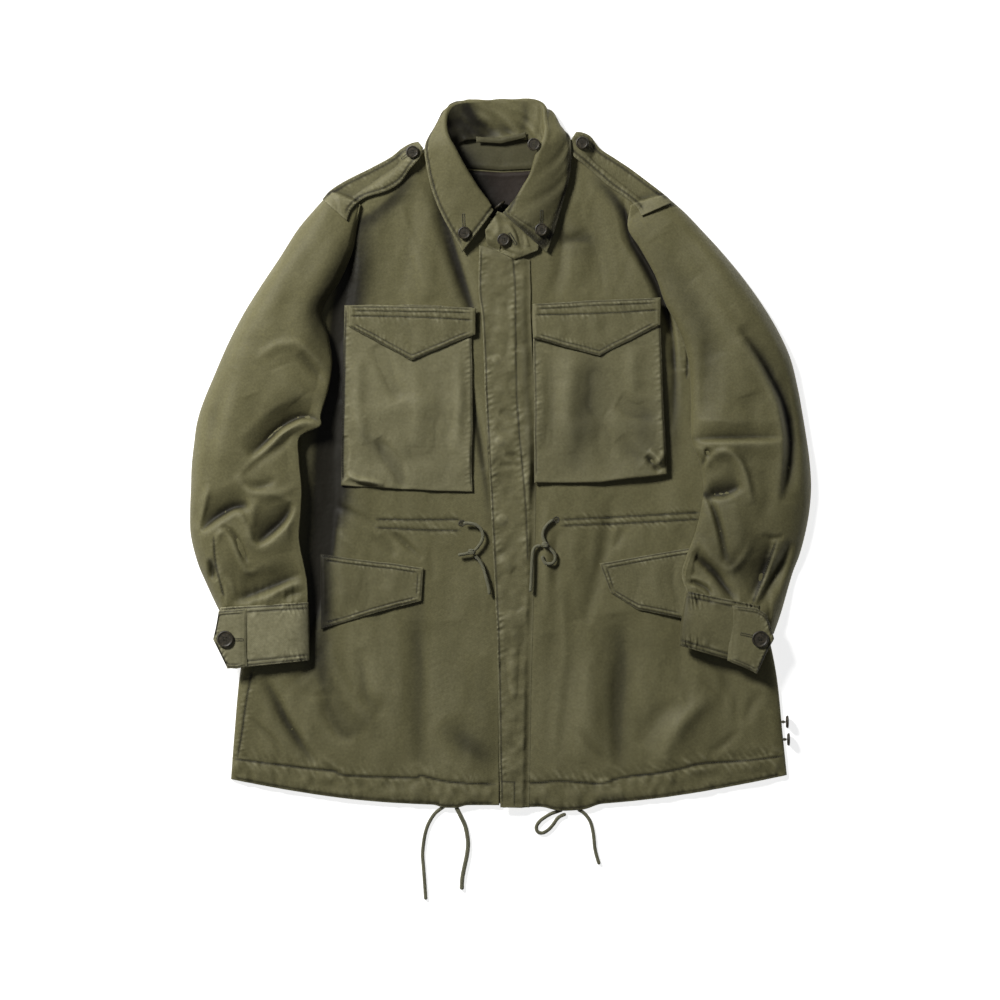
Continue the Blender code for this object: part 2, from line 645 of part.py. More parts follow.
def settle(plan, bottom, pile, rounds=4):
    """How far each point must rise for the wall above it to clear the pile."""
    steps = SETTLE_STEPS
    weights = [
        (a / steps, b / steps, (steps - a - b) / steps)
        for a in range(steps + 1)
        for b in range(steps + 1 - a)
    ]
    lift = np.zeros(bottom.shape)
    corners = (((0, 0), (0, 1), (1, 1)), ((0, 0), (1, 1), (1, 0)))
    rows, columns = bottom.shape
    clearance = GAP + SETTLE_EXTRA
    samples = []
    for corner in corners:
        pick = [(slice(dr, rows - 1 + dr), slice(dc, columns - 1 + dc)) for dr, dc in corner]
        for weight in weights:
            places = sum(w * plan[p] for w, p in zip(weight, pick))
            samples.append((pick, weight, pile.height(places)))
    ridges = pile.near(plan)
    faces = grid_faces(rows, columns, 0)
    for _ in range(rounds):
        level = bottom + lift
        for pick, weight, ground in samples:
            here = sum(w * level[p] for w, p in zip(weight, pick))
            clear = np.where(ground < 0, 0.0, ground + clearance)
            short = np.maximum(clear - here, 0)
            for place in pick:
                lift[place] = np.maximum(lift[place], (level - bottom)[place] + short)
        flat_lift, flat_level = lift.reshape(-1), (bottom + lift).reshape(-1)
        tree = BVHTree.FromPolygons(
            [(x, y, z) for (x, y), z in zip(plan.reshape(-1, 2), flat_level)], faces
        )
        rise = np.zeros(len(flat_lift))
        for x, y, z in ridges:
            place, _, face, _ = tree.ray_cast(Vector((x, y, 500)), Vector((0, 0, -1)))
            if place is not None and place.z < z + clearance:
                for corner in faces[face]:
                    rise[corner] = max(rise[corner], z + clearance - place.z)
        flat_lift += rise
    return lift


def wall_below(plan, top, wall):
    """Lower face of a wall of even thickness under a relief."""
    surface = np.dstack([plan, top])
    along = np.gradient(surface, axis=0)
    across = np.gradient(surface, axis=1)
    normal = np.cross(along, across)
    tilt = np.linalg.norm(normal, axis=-1) / np.maximum(abs(normal[..., 2]), 1e-6)
    return top - wall * np.minimum(tilt, STEEPEST_WALL)


def sheet(name, plan, top, wall, look, pile, floor=0.0):
    """A cloth wall with its upper face at the given heights, settled on the pile."""
    bottom = np.maximum(wall_below(plan, top, wall), floor)
    top = np.maximum(top, bottom + wall * LEAST_WALL_SHARE)
    lift = settle(plan, bottom, pile)
    outer = np.dstack([plan, top + lift])
    inner = np.dstack([plan, bottom + lift])
    return wall_solid(name, outer, inner, look)


def turned(name, profile, sides, look, place, heading=None):
    """A solid turned from (radius, height) points about an axis through place.

    The axis is upright, or level and turned by the heading in degrees from +X.
    """
    points, faces, rings = [], [], []
    for radius, height in profile:
        if radius == 0:
            rings.append([len(points)])
            points.append((0, 0, height))
            continue
        rings.append(list(range(len(points), len(points) + sides)))
        for step in range(sides):
            angle = 2 * math.pi * step / sides
            points.append((radius * math.cos(angle), radius * math.sin(angle), height))
    for low, high in zip(rings[:-1], rings[1:]):
        for step in range(sides):
            after = (step + 1) % sides
            if len(low) == 1:
                faces.append((low[0], high[step], high[after]))
            elif len(high) == 1:
                faces.append((low[step], low[after], high[0]))
            else:
                faces += [(low[step], low[after], high[after]), (low[step], high[after], high[step])]
    points = np.array(points, float)
    if heading is not None:
        turn = math.radians(heading)
        ahead, aside, upright = points[:, 2], points[:, 0], points[:, 1]
        points = np.stack([
            ahead * math.cos(turn) - aside * math.sin(turn),
            ahead * math.sin(turn) + aside * math.cos(turn),
            upright,
        ], axis=1)
    return finish_object(name, mesh_from(name, points + np.array(place), faces), look)


def button(name, x, y, diameter, look, pile):
    """A four-hole button with a raised rim, lying on the pile."""
    radius = diameter / 2
    turns = np.linspace(0, 2 * math.pi, 24, endpoint=False)
    circle = np.stack([np.cos(turns), np.sin(turns)], axis=1)
    spots = np.array([(x, y) + circle * radius * share for share in BUTTON_RINGS])
    ground = pile.height(spots).max() + GAP + SETTLE_EXTRA
    profile = [(radius * share, height) for share, height in BUTTON_PROFILE]
    return turned(name, profile, BUTTON_SIDES, look, (x, y, ground))


def cord(name, route, diameter, look):
    """A cord through the route's points, as a tube with closed ends."""
    spacing = CORD_STEP * diameter
    length = sum(math.dist(a, b) for a, b in zip(route[:-1], route[1:]))
    path = even(route, max(6, round(length / spacing) + 1))
    curve = bpy.data.curves.new(name, "CURVE")
    curve.dimensions = "3D"
    curve.bevel_depth = diameter / 2 * MM
    curve.bevel_resolution = 2
    curve.use_fill_caps = True
    spline = curve.splines.new("POLY")
    spline.points.add(len(path) - 1)
    for point, place in zip(spline.points, path):
        point.co = (*(place * MM), 1.0)
    curve.materials.append(look)
    made = bpy.data.objects.new(name, curve)
    bpy.context.scene.collection.objects.link(made)
    return made


# ---------------------------------------------------------------- pieces
def front(name, rows, look, pile):
    """One front panel, from its shoulder seam to its hem."""
    edges = even(rows, FRONT_GRID[0])
    across = 1 - (1 - np.linspace(0, 1, FRONT_GRID[1])) ** FRONT_CROWDING
    inner, outer = edges[:, :2], edges[:, 2:4]
    plan = ruled(inner, outer, across)
    plan[..., 1] -= edges[:, 4:5] * np.sin(math.pi * across)[None, :]
    side = turned_down(spread_from_edge(plan, plan[:, -1]), SIDE_ROUNDING)
    shoulder = turned_down(spread_from_edge(plan, plan[0]), SHOULDER_ROUNDING)
    clear_of_hem = np.clip(spread_from_edge(plan, plan[-1]) / HEM_FADE, 0, 1)
    folds = fold_relief(plan, BODY_FOLDS) * (HEM_FOLD_SHARE + (1 - HEM_FOLD_SHARE) * clear_of_hem)
    height = np.maximum(BODY_HEIGHT - HEM_THINNING * (1 - clear_of_hem) + folds, LEAST_BODY_HEIGHT)
    top = FOLD_EDGE_HEIGHT + (height - FOLD_EDGE_HEIGHT) * np.minimum(side, shoulder)
    return sheet(name, plan, top, PANEL_WALL, look, pile)


def back_panel(look):
    """The back, a flat lined panel inside the folded edges of the fronts."""
    sides = []
    for rows, mirror in ((FRONT_RIGHT_ROWS, 1), (FRONT_LEFT_ROWS, -1)):
        edges = even(rows, FRONT_GRID[0])
        inner, outer = edges[:, :2], edges[:, 2:4]
        run = inner - outer
        side = outer + run / np.linalg.norm(run, axis=1)[:, None] * BACK_INSET
        side[0] += (SHOULDER_INSET[0] * mirror, SHOULDER_INSET[1])
        side[-1, 1] += HEM_INSET
        sides.append(side)
    down_right, down_left = sides
    hem = []
    for share in np.linspace(0, 1, 9)[1:-1]:
        bow = HEM_DEPTH * math.sin(math.pi * share) ** HEM_FLATNESS
        hem.append(down_right[-1] * (1 - share) + down_left[-1] * share - (0, bow))
    outline = [*down_right, *hem, *down_left[::-1], *BACK_NECK]
    work = bmesh.new()
    corners = [work.verts.new((x * MM, y * MM, 0)) for x, y in outline]
    bottom = work.faces.new(corners)
    raised = bmesh.ops.extrude_face_region(work, geom=[bottom])["geom"]
    for item in raised:
        if isinstance(item, bmesh.types.BMVert):
            item.co.z = BACK_WALL * MM
    bmesh.ops.triangulate(work, faces=work.faces[:])
    bmesh.ops.recalc_face_normals(work, faces=work.faces)
    mesh = bpy.data.meshes.new("back")
    work.to_mesh(mesh)
    work.free()
    return finish_object("back", mesh, look, smooth=False)


def fly(look, pile):
    """The fly strip that covers the front opening."""
    edges = even(FLY_ROWS, 24)
    plan = ruled(edges[:, :2], edges[:, 2:4], FLY_ACROSS)
    ground = np.maximum(pile.height(plan), 0)
    top = ground + GAP + TRIM_WALL + np.array(FLY_CROWN)[None, :]
    return sheet("fly", plan, top, TRIM_WALL, look, pile)


def sleeve_height(rows, plan, across, folds):
    """Height of the sleeve's upper face: an arch from the inner to the outer fold."""
    crest, inner = rows[:, 4:5], rows[:, 5:6]
    share = across[None, :]
    chord = inner * (1 - share) + FOLD_EDGE_HEIGHT * share
    shoulders, crown = SLEEVE_ARCH
    arch = (1 - abs(2 * share - 1) ** shoulders) ** crown
    edge_fade = np.clip(np.minimum(share, 1 - share) / SLEEVE_FOLD_MARGIN, 0, 1)
    return chord + (crest - chord) * arch + fold_relief(plan, folds) * edge_fade


def sleeve_under(name, rows, look, pile):
    """The lower half of a sleeve, lying on the floor and on the body's side."""
    edges = even(rows, SLEEVE_UNDER_ROWS)
    across = np.array(SLEEVE_UNDER_ACROSS)
    plan = ruled(edges[:, 2:4], edges[:, :2], across)
    ground = pile.height(plan)
    rest = np.where(ground < 0, 0.0, ground + GAP) + SLEEVE_WALL
    lap_width, lap_clearance = SLEEVE_LAP
    lifted = edges[:, 5:6] - SLEEVE_WALL - lap_clearance
    rise = np.clip(1 - (across[None, :] - across[0]) / lap_width, 0, 1) ** 1.5
    top = rest + np.maximum(lifted - rest, 0) * rise
    return sheet(name, plan, top, SLEEVE_WALL, look, pile)


def sleeve_top(name, rows, folds, look, pile):
    """The upper half of a sleeve, an arched sheet with the elbow's folds."""
    edges = even(rows, SLEEVE_TOP_GRID[0])
    across = rounded_steps(SLEEVE_TOP_GRID[1])
    plan = ruled(edges[:, 2:4], edges[:, :2], across)
    top = sleeve_height(edges, plan, across, folds)
    return sheet(name, plan, top, SLEEVE_WALL, look, pile)


def cuff(name, rows, look, pile):
    """A cuff band, flattened to a low oval ring."""
    edges = even(rows, 5)
    angles = np.linspace(0, 2 * math.pi, CUFF_SIDES, endpoint=False)
    base = pile.height(ruled(edges[:, :2], edges[:, 2:4], np.linspace(0, 1, 9))).max() + GAP + SETTLE_EXTRA
    loops = []
    for shrink in (0.0, CUFF_WALL):
        rings = []
        for row in edges:
            outer, inner = row[:2], row[2:4]
            half = (inner - outer) / 2
            reach = np.linalg.norm(half)
            middle = (outer + inner) / 2
            ring = []
            for angle in angles:
                flat = math.copysign(abs(math.cos(angle)) ** CUFF_OVAL[0], math.cos(angle))
                tall = math.copysign(abs(math.sin(angle)) ** CUFF_OVAL[1], math.sin(angle))
                place = middle + half * flat * (1 - shrink / reach)
                height = base + CUFF_HEIGHT / 2 + tall * (CUFF_HEIGHT / 2 - shrink)
                ring.append((*place, height))
            rings.append(ring)
        loops.append(np.array(rings))
    outer, inner = loops
    count, sides = outer.shape[:2]
    half = count * sides
    points = np.concatenate([outer.reshape(-1, 3), inner.reshape(-1, 3)])
    faces = grid_faces(count, sides, 0, closed=True)
    faces += [tuple(reversed(face)) for face in grid_faces(count, sides, half, closed=True)]
    for first in (0, (count - 1) * sides):
        for step in range(sides):
            here, there = first + step, first + (step + 1) % sides
            faces += [(here, there, half + there), (here, half + there, half + here)]
    return finish_object(name, mesh_from(name, points, faces), look)


def laid_trim(name, edges, counts, look, pile, puff=0.0, wall=TRIM_WALL, level=False):
    """A trim piece ruled between two bent edges, lying on the pile with a soft crown.

    A level piece is stiff: it lies flat on the highest place beneath it.
    """
    along, across = counts
    upper, lower = bent(edges[0], along), bent(edges[1], along)
    share = np.linspace(0, 1, across)
    plan = ruled(upper, lower, share)
    ground = np.maximum(pile.height(plan), 0)
    if level:
        ground = np.full(ground.shape, ground.max())
    inside_along = np.sin(math.pi * np.linspace(0, 1, along)) ** 0.5
    inside_across = np.sin(math.pi * share) ** 0.5
    crown = puff * inside_along[:, None] * inside_across[None, :]
    return sheet(name, plan, ground + GAP + wall + crown, wall, look, pile)


def bellows_pocket(name, edges, look, pile):
    """A pocket bag whose sides stand up from the front and whose face is slack."""
    upper, lower = bent(edges[0], 9), bent(edges[1], 9)
    rim = np.array(POCKET_RIM)
    along = np.r_[rim, np.linspace(0.15, 0.85, 5), 1 - rim[::-1]]
    across = np.r_[rim, np.linspace(0.12, 0.88, 7), 1 - rim[::-1]]
    places = along * (len(upper) - 1)
    upper, lower = through(upper, places), through(lower, places)
    plan = ruled(upper, lower, across)
    ground = pile.height(plan)
    ring_along = np.minimum(np.arange(len(along)), np.arange(len(along))[::-1])
    ring_across = np.minimum(np.arange(len(across)), np.arange(len(across))[::-1])
    ring = np.minimum(ring_along[:, None], ring_across[None, :])
    face = POCKET_PUFF - np.array(POCKET_FACE_STEPS)
    top = ground + GAP + face[np.minimum(ring, len(face) - 1)]
    bottom = np.where(ring < 2, ground + GAP, top - TRIM_WALL)
    lift = settle(plan, bottom, pile)
    return wall_solid(name, np.dstack([plan, top + lift]), np.dstack([plan, bottom + lift]), look)


def strap(name, rows, look, pile):
    """A shoulder strap from the sleeve head to the collar."""
    edges = even(rows, 13)
    share = np.array(STRAP_ACROSS)
    plan = ruled(edges[:, :2], edges[:, 3:5], share)
    crown = STRAP_CROWN * np.sin(math.pi * share)[None, :]
    top = edges[:, 2:3] * (1 - share) + edges[:, 5:6] * share + crown
    return sheet(name, plan, top, STRAP_WALL, look, pile)


def collar(look, pile):
    """Stand and fall of the collar as one rolled wall.

    Each station turns about a hub inside the fold.  At the leaves the fall lies over the
    stand, and behind the neck it lies beneath it.
    """
    stations = even(COLLAR_STATIONS, COLLAR_ROWS)
    seams, rolls, edges = stations[:, :3], stations[:, 3:6], stations[:, 6:9]
    rings = []
    for seam, roll, edge, forward in zip(seams, rolls, edges, unit(np.gradient(rolls, axis=0))):
        to_seam, to_edge = unit(seam - roll), unit(edge - roll)
        inwards = unit(to_seam + to_edge)
        stand_side = to_seam - to_edge
        for axis in (forward, inwards):
            stand_side = stand_side - axis * (stand_side @ axis)
        stand_side = unit(stand_side)
        hub = roll + inwards * COLLAR_ROLL
        stand_top = hub + stand_side * COLLAR_ROLL
        fall_top = hub - stand_side * COLLAR_ROLL
        points = [seam, seam * 0.5 + stand_top * 0.5, stand_top, roll, fall_top]
        for share in COLLAR_FALL:
            belly = stand_side * COLLAR_BELLY * math.sin(math.pi * share)
            points.append(fall_top * (1 - share) + edge * share - belly)
        rings.append(points)
    centre = np.array(rings)
    plan, level = centre[..., :2], centre[..., 2]
    ground = np.where(plan[..., 1] < LEAF_TOP, ground_around(plan, pile), pile.height(plan))
    clear = ground + GAP + SETTLE_EXTRA + COLLAR_WALL / 2 + COLLAR_SLACK
    needed = np.where(ground < 0, COLLAR_WALL / 2 + FLOOR_CLEARANCE, clear)
    centre[..., 2] = np.maximum(level, needed)
    normal = unit(np.cross(np.gradient(centre, axis=0), np.gradient(centre, axis=1)))
    outer = centre + normal * COLLAR_WALL / 2
    inner = centre - normal * COLLAR_WALL / 2
    outer[..., 2] = np.maximum(outer[..., 2], 0.0)
    inner[..., 2] = np.maximum(inner[..., 2], 0.0)
    return wall_solid("collar", outer, inner, look)


def standing_button(name, x, y, ground, heading, shank, look):
    """A small button that stands on its edge, with its thread shank behind it."""
    radius = SMALL_BUTTON / 2
    profile = [(0, -shank), (SHANK_RADIUS, -shank), (SHANK_RADIUS, 0)]
    profile += [(radius * share, height) for share, height in EDGE_BUTTON_PROFILE]
    return turned(name, profile, BUTTON_SIDES, look, (x, y, ground + radius + FLOOR_CLEARANCE), heading)


def build():
    """Lay the whole jacket down, from the back panel to the last button."""
    cloth = {
        key: material(f"cotton_{key}", OLIVE, 0.62)
        for key in ("back", "front_right", "front_left", "sleeve_right_top", "sleeve_left_top",
                    "sleeve_right_under", "sleeve_left_under", "collar")
    }

    def trim(key):
        return material(f"trim_{key}", OLIVE_TRIM, 0.6)

    def brown(key):
        return material(f"button_{key}", BUTTON_BROWN, 0.4)

    pile = Pile()
    back = back_panel(cloth["back"])
    pile.lay(back)
    facing_look = material("neck_facing", FACING_OLIVE, 0.7)
    lining_look = material("neck_lining", LINING_BROWN, 0.8)
    facing = laid_trim("neck_facing", NECK_FACING_EDGES, (9, 3), facing_look, pile, wall=NECK_WALL)
    lining = laid_trim("neck_lining", NECK_LINING_EDGES, (7, 5), lining_look, pile, wall=NECK_WALL)
    right = front("front_right", FRONT_RIGHT_ROWS, cloth["front_right"], pile)
    left = front("front_left", FRONT_LEFT_ROWS, cloth["front_left"], pile)
    pile.lay(facing, lining, right, left)

    pile.lay(fly(trim("fly"), pile))
    pile.lay(laid_trim("throat_tab", THROAT_TAB_EDGES, (13, 5), trim("throat_tab"), pile, level=True))
    pile.lay(
        bellows_pocket("chest_pocket_right", POCKET_RIGHT_EDGES, trim("chest_pocket_right"), pile),
        bellows_pocket("chest_pocket_left", POCKET_LEFT_EDGES, trim("chest_pocket_left"), pile),
    )
    pile.lay(
        *(
            laid_trim(name, edges, counts, trim(name), pile, puff=TRIM_CROWN)
            for name, edges, counts in (
                ("chest_flap_right", CHEST_FLAP_RIGHT_EDGES, (13, 5)),
                ("chest_flap_left", CHEST_FLAP_LEFT_EDGES, (13, 5)),
                ("lower_flap_right", LOWER_FLAP_RIGHT_EDGES, (11, 5)),
                ("lower_flap_left", LOWER_FLAP_LEFT_EDGES, (11, 5)),
            )
        )
    )
    pile.lay(
        sleeve_under("sleeve_right_under", SLEEVE_RIGHT_ROWS, cloth["sleeve_right_under"], pile),
        sleeve_under("sleeve_left_under", SLEEVE_LEFT_ROWS, cloth["sleeve_left_under"], pile),
    )
    pile.lay(
        *(
            sleeve_top(name, rows, folds, cloth[name], pile)
            for name, rows, folds in (
                ("sleeve_right_top", SLEEVE_RIGHT_ROWS, RIGHT_SLEEVE_FOLDS),
                ("sleeve_left_top", SLEEVE_LEFT_ROWS, LEFT_SLEEVE_FOLDS),
            )
        )
    )
    pile.lay(
        cuff("cuff_right", CUFF_RIGHT_ROWS, trim("cuff_right"), pile),
        cuff("cuff_left", CUFF_LEFT_ROWS, trim("cuff_left"), pile),
    )
    pile.lay(
        laid_trim("cuff_tab_right", TAB_RIGHT_EDGES, (7, 4), trim("cuff_tab_right"), pile, level=True),
        laid_trim("cuff_tab_left", TAB_LEFT_EDGES, (9, 4), trim("cuff_tab_left"), pile, level=True),
    )
    pile.lay(
        strap("shoulder_strap_right", STRAP_RIGHT_ROWS, trim("shoulder_strap_right"), pile),
        strap("shoulder_strap_left", STRAP_LEFT_ROWS, trim("shoulder_strap_left"), pile),
    )
    pile.lay(collar(cloth["collar"], pile))
    hanger = laid_trim("hanger_loop", HANGER_LOOP_EDGES, (17, 3), trim("hanger_loop"), pile, wall=NECK_WALL)
    pile.lay(hanger)

    for name, x, y, size in BUTTONS:
        pile.lay(button(name, x, y, size, brown(name), pile))
    for name, x, y, ground, heading, shank in BUTTONS_ON_EDGE:
        standing_button(name, x, y, ground, heading, shank, brown(name))
    for name, route, diameter in (
        ("waist_cord_right", WAIST_CORD_RIGHT, CORD_DIAMETER),
        ("waist_tail_right", WAIST_TAIL_RIGHT, CORD_DIAMETER),
        ("waist_cord_left", WAIST_CORD_LEFT, CORD_DIAMETER),
        ("waist_tail_left", WAIST_TAIL_LEFT, CORD_DIAMETER),
        ("hem_cord_right_long", HEM_CORD_RIGHT_LONG, HEM_CORD_DIAMETER),
        ("hem_cord_right_short", HEM_CORD_RIGHT_SHORT, THICK_CORD_DIAMETER),
        ("hem_cord_left_loop", HEM_CORD_LEFT_LOOP, HEM_CORD_DIAMETER),
        ("hem_cord_left_tail", HEM_CORD_LEFT_TAIL, HEM_CORD_DIAMETER),
    ):
        cord(name, route, diameter, material(name, CORD_OLIVE, 0.8))


for existing in list(bpy.data.objects):
    bpy.data.objects.remove(existing, do_unlink=True)
build()
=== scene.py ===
"""The looks of a cotton field jacket that lies flat on its back, front upwards.

The jacket lies on the floor with its collar towards +Y and the wearer's left side
towards +X.  Tables and sizes are in millimetres and the meshes in metres.  Each cloth
piece is a fine grid ruled between two edges, with one relief of folds, seams and slack.
The pieces are laid on one height map from the bottom up, so each rests on those beneath.
"""

import logging
import math
from dataclasses import dataclass, field
from enum import Enum
from typing import Any, Iterable

import bpy
import numpy as np
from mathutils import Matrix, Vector


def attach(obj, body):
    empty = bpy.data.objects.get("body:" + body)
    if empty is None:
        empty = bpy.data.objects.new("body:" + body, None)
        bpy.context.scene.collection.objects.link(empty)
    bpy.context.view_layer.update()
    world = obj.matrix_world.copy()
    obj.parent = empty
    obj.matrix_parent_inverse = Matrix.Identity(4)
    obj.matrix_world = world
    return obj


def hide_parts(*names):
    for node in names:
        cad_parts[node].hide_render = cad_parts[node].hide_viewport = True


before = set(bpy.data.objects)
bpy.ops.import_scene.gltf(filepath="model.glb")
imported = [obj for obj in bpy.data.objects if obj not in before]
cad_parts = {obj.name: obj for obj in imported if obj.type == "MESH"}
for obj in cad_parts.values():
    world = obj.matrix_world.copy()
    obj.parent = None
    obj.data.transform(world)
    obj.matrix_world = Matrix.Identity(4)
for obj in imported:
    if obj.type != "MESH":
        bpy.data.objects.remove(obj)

Array = np.ndarray
Places = tuple[tuple[float, ...], ...]

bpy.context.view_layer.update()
LOG = logging.getLogger("field_jacket")
MM = 0.001
BODY = "root"

# ---------------------------------------------------------------- driving sizes
GAP = 0.4                 # clearance between two layers that meet
PANEL_WALL = 2.6          # lined cloth of the fronts
BACK_WALL = 2.8
SLEEVE_WALL = 2.2
TRIM_WALL = 1.6           # flaps, straps and pocket bags
COLLAR_WALL = 2.4
STRAP_WALL = 2.0
NECK_WALL = 1.0
CUFF_WALL = 2.2
COLLAR_ROLL = 3.0         # radius of the fold between stand and fall
COLLAR_BELLY = 1.6        # how far the fall bulges away from the stand
BODY_HEIGHT = 9.0         # outer face of the fronts above the floor
FOLD_EDGE_HEIGHT = 3.0    # height of a folded edge that rests on the floor
SIDE_ROUNDING = 15.0      # width over which the fronts turn down at the side seam
SHOULDER_ROUNDING = 11.0
BACK_INSET = 8.5
HEM_INSET = 4.0
POCKET_PUFF = 2.4         # how far a bellows pocket stands up beyond its wall
STEEPEST_WALL = 1.9       # limit on how much a slope thickens a wall vertically
HEM_THINNING = 1.6
HEM_FADE = 40.0           # height of the band above the hem where folds die out
HEM_FOLD_SHARE = 0.25
LEAST_BODY_HEIGHT = 4.2   # softly approached in the deepest folds
LEAST_SOFTNESS = 0.8
HEM_DEPTH = 32.0
HEM_FLATNESS = 0.8
SHOULDER_INSET = (6, -7)
SLEEVE_ARCH = (3.0, 0.6)
SLEEVE_FOLD_MARGIN = 0.10
SLEEVE_LAP = (0.16, 2.0)
FLY_FLUSH = 10.0          # y below which the fly's far edge runs out fully
FOLD_FADE = 0.6           # power with which a fold dies out at its ends
FOLD_REACH = 2.6          # widths beyond which a soft fold no longer shows
CREASE_POWER = 1.3        # 1 gives a sharp crease flat sides
FADE_REACH = 9.0          # size of the folds that wear pale on top and take painted shade below
FADE_HEIGHT = 2.6         # their height at full effect
CREASE_SHADE = 0.75          # painted shade where the cloth is folded deepest
DARKEST = 2.6             # strongest that a mask may be
PAINTED_SHADE_BROWN = (0.0105, 0.0088, 0.0048, 1)   # colour of the deepest painted shade
STRAP_HELD = 32.0         # how far a strap's button keeps it up
STRAP_LAID = 0.92         # how near the rest of it comes to lying on the shoulder
BAND_HEIGHT = 0.55        # swell of the cloth between two stitch lines
FLY_FLUSH_REACH = 7.0     # width over which the fly's far edge runs out
FLY_LEAST_WALL = 0.35     # its height over the panel at that edge
FLY_CLOSED = 0.45         # share of that above it
FLY_WRINKLE = 0.9
FLY_WRINKLES = ((1.0, 13, 15), (0.6, 8, 7))     # height, width and length of each size
COLLAR_WRINKLES = ((1.5, 40, 46), (0.7, 15, 24))
STAND_WRINKLES = ((3.0, 11, 13),)
CASING_CRUSH = ((0.9, 17, 12),)
CASING_WRINKLES = ((1.1, 7.5, 15),)
FLUSH_SHARE = 0.9         # how near the throat's end comes to the cloth beneath it
CORD_MOUTH_DEPTH = 16.0   # height of the dip of the hem where the cords come out
CORD_MOUTHS = {           # middle of the dip, half its width and how deep it is
    "right": (-61.0, 15.0, 3.4),
    "left": (84.0, 27.0, 6.0),
}
CUFF_HEIGHT = 12.5
CUFF_OVAL = (0.45, 0.75)
INNER_FOLD_SHADE = 0.9     # painted shade along a cuff's inner fold, where it turns under: how dark, and how far
INNER_FOLD_WIDTH = 10.0
SMALL_BUTTON = 15.0
CUFF_BUTTON = 19.5
CORD_DIAMETER = 3.6
HEM_CORD_DIAMETER = 4.2
THICK_CORD_DIAMETER = 5.0
SHADE_ANGLE = 50.0        # degrees; facets that meet at less are shaded as one surface

PUFF_EDGE = 9.0           # from a trim's rim, where its crown and its slack are complete
LOOSE_EDGE = 5.0
DEEPEST = 0.15            # how far trim may sink into its own crown
SUNK_REACH = 6
BAND_WIDTH = 0.45         # width of the ridge between two rows, against its own distance
HOLE_PITCH = 0.75         # a buttonhole's stitches: spacing, start, length and lift
HOLE_OPEN = 0.3
HOLE_BAR = 1.9
HOLE_LIFT = 0.12
HOLE_TACK = (0.5, 2.2, 0.2, 1.4)    # its end tacks: place past the slit, half width, lift, thickness
EYELET_RING = (34, 0.15, 1.3)       # stitches, lift and thickness
ELBOW_DEEP = (11, 0.25)   # depth of a full crease, and the share from which it takes painted shade
BODY_DEEP = (5, 0.35)
GATHER_FULL = 10          # from the cuff, where a sleeve's gathers are at their fullest
GATHER_FADE = 1.4
GATHER_LEAST = 0.15
GATHER_CLEAR = 14         # from the cuff, where other folds are at their full height
LEAF_SPOT = (60, -12)     # a place of the collar's grid whose cloth faces up
STITCH_PITCH = 3.1        # distance from one stitch to the next
FLAP_INSETS = (1.8, 6.5)  # the two rows of stitches of a flap
SPINDLE_UV = (0.0, 0.0, 0.001, 0.0005, 0.002, 0.0)   # u and v of a stitch facet's corners
SMALLEST = 1e-9           # keeps a division by a length away from 0
FAR = 1e9                 # distance of what was not yet measured
WAVER_SIZE = 26.0         # size of the waver of sewn edges
EDGE_BAND = 1.8           # width of the pale wear along an edge
RIM_ROUNDING = 0.8        # share of a wall over which its rim is rounded
SAG_PER_ROUND = 0.02      # how far loose trim sinks in each round that relaxes it
POCKET_SAG = (0.06, 14)   # the sag and the rounds of a bellows pocket
STRAP_SAG = (0.2, 90)     # sag and rounds where a strap is laid down
STRAP_LIFT = (0.4, 30)    # the same for the least that it must clear
TURNED_IN_TAPE = 10.2     # least cut width of a tape, with its turned-in edges
PANEL_STEP = 1.8          # spacing of the cloth grids
SLEEVE_STEP = 1.7
TRIM_STEP = 1.1
CUFF_STEP = 1.5
PLAIN_STEP = 4.0          # parts that hardly show
EYELET_HOLE = 1.9         # radius
RIM = (0.0, 0.4, 1.1, 2.2)          # places of the first rings inside an edge
UNDER_STRIDE = 6          # how much coarser the hidden underside of a wall is
SLACK = ((70.0, 1.5), (34.0, 0.75), (15.0, 0.24))   # size and height of the cloth's swells
SCRAMBLE = (374761393, 668265263, 362437, 1274126177)   # factors that make noise uneven
WORD = 0xFFFFFFFF

# Fronts, from the shoulder to the hem: inner edge, outer edge and bow of each row.
FRONT_RIGHT_ROWS = (
    # inner x, inner y, outer x, outer y, bow
    (-85, 371, -190, 301, 0),
    (-76, 350, -192, 275, 0),
    (-61, 317, -201, 245, 0),
    (-44, 300, -214, 215, 0),
    (-18, 288, -229, 185, 0),
    (-3, 266, -236, 155, 0),
    (-2, 215, -239, 125, 0),
    (-2, 155, -241, 98, 0),
    (-2, 89, -245, 65, 0),
    (-2, 29, -253, 23, 0),
    (-2, -31, -265, -29, 0),
    (-2, -103, -280, -103, 0),
    (-2, -175, -299, -181, 2),
    (-2, -262, -313, -262, 5),
    (-2, -343, -320, -337, 8),
    (-2, -421, -324, -390, 10),
)
FRONT_LEFT_ROWS = (
    # inner x, inner y, outer x, outer y, bow
    (82, 373, 175, 299, 0),
    (75, 350, 178, 271, 0),
    (62, 317, 193, 239, 0),
    (44, 301, 210, 203, 0),
    (18, 289, 224, 170, 0),
    (4, 266, 236, 143, 0),
    (2, 212, 244, 113, 0),
    (2, 152, 249, 83, 0),
    (2, 89, 255, 53, 0),
    (2, 29, 266, 11, 0),
    (2, -31, 282, -43, 0),
    (2, -103, 299, -109, 0),
    (2, -175, 313, -181, 2),
    (2, -262, 330, -262, 5),
    (2, -343, 338, -337, 8),
    (2, -424, 343, -385, 10),
)

# Neck edge of the back panel, from the left shoulder to the right one.
BACK_NECK = (
    (76, 353), (64, 367), (51, 374), (30, 377.5), (-30, 377.5), (-51, 374), (-66, 367), (-79, 353),
)

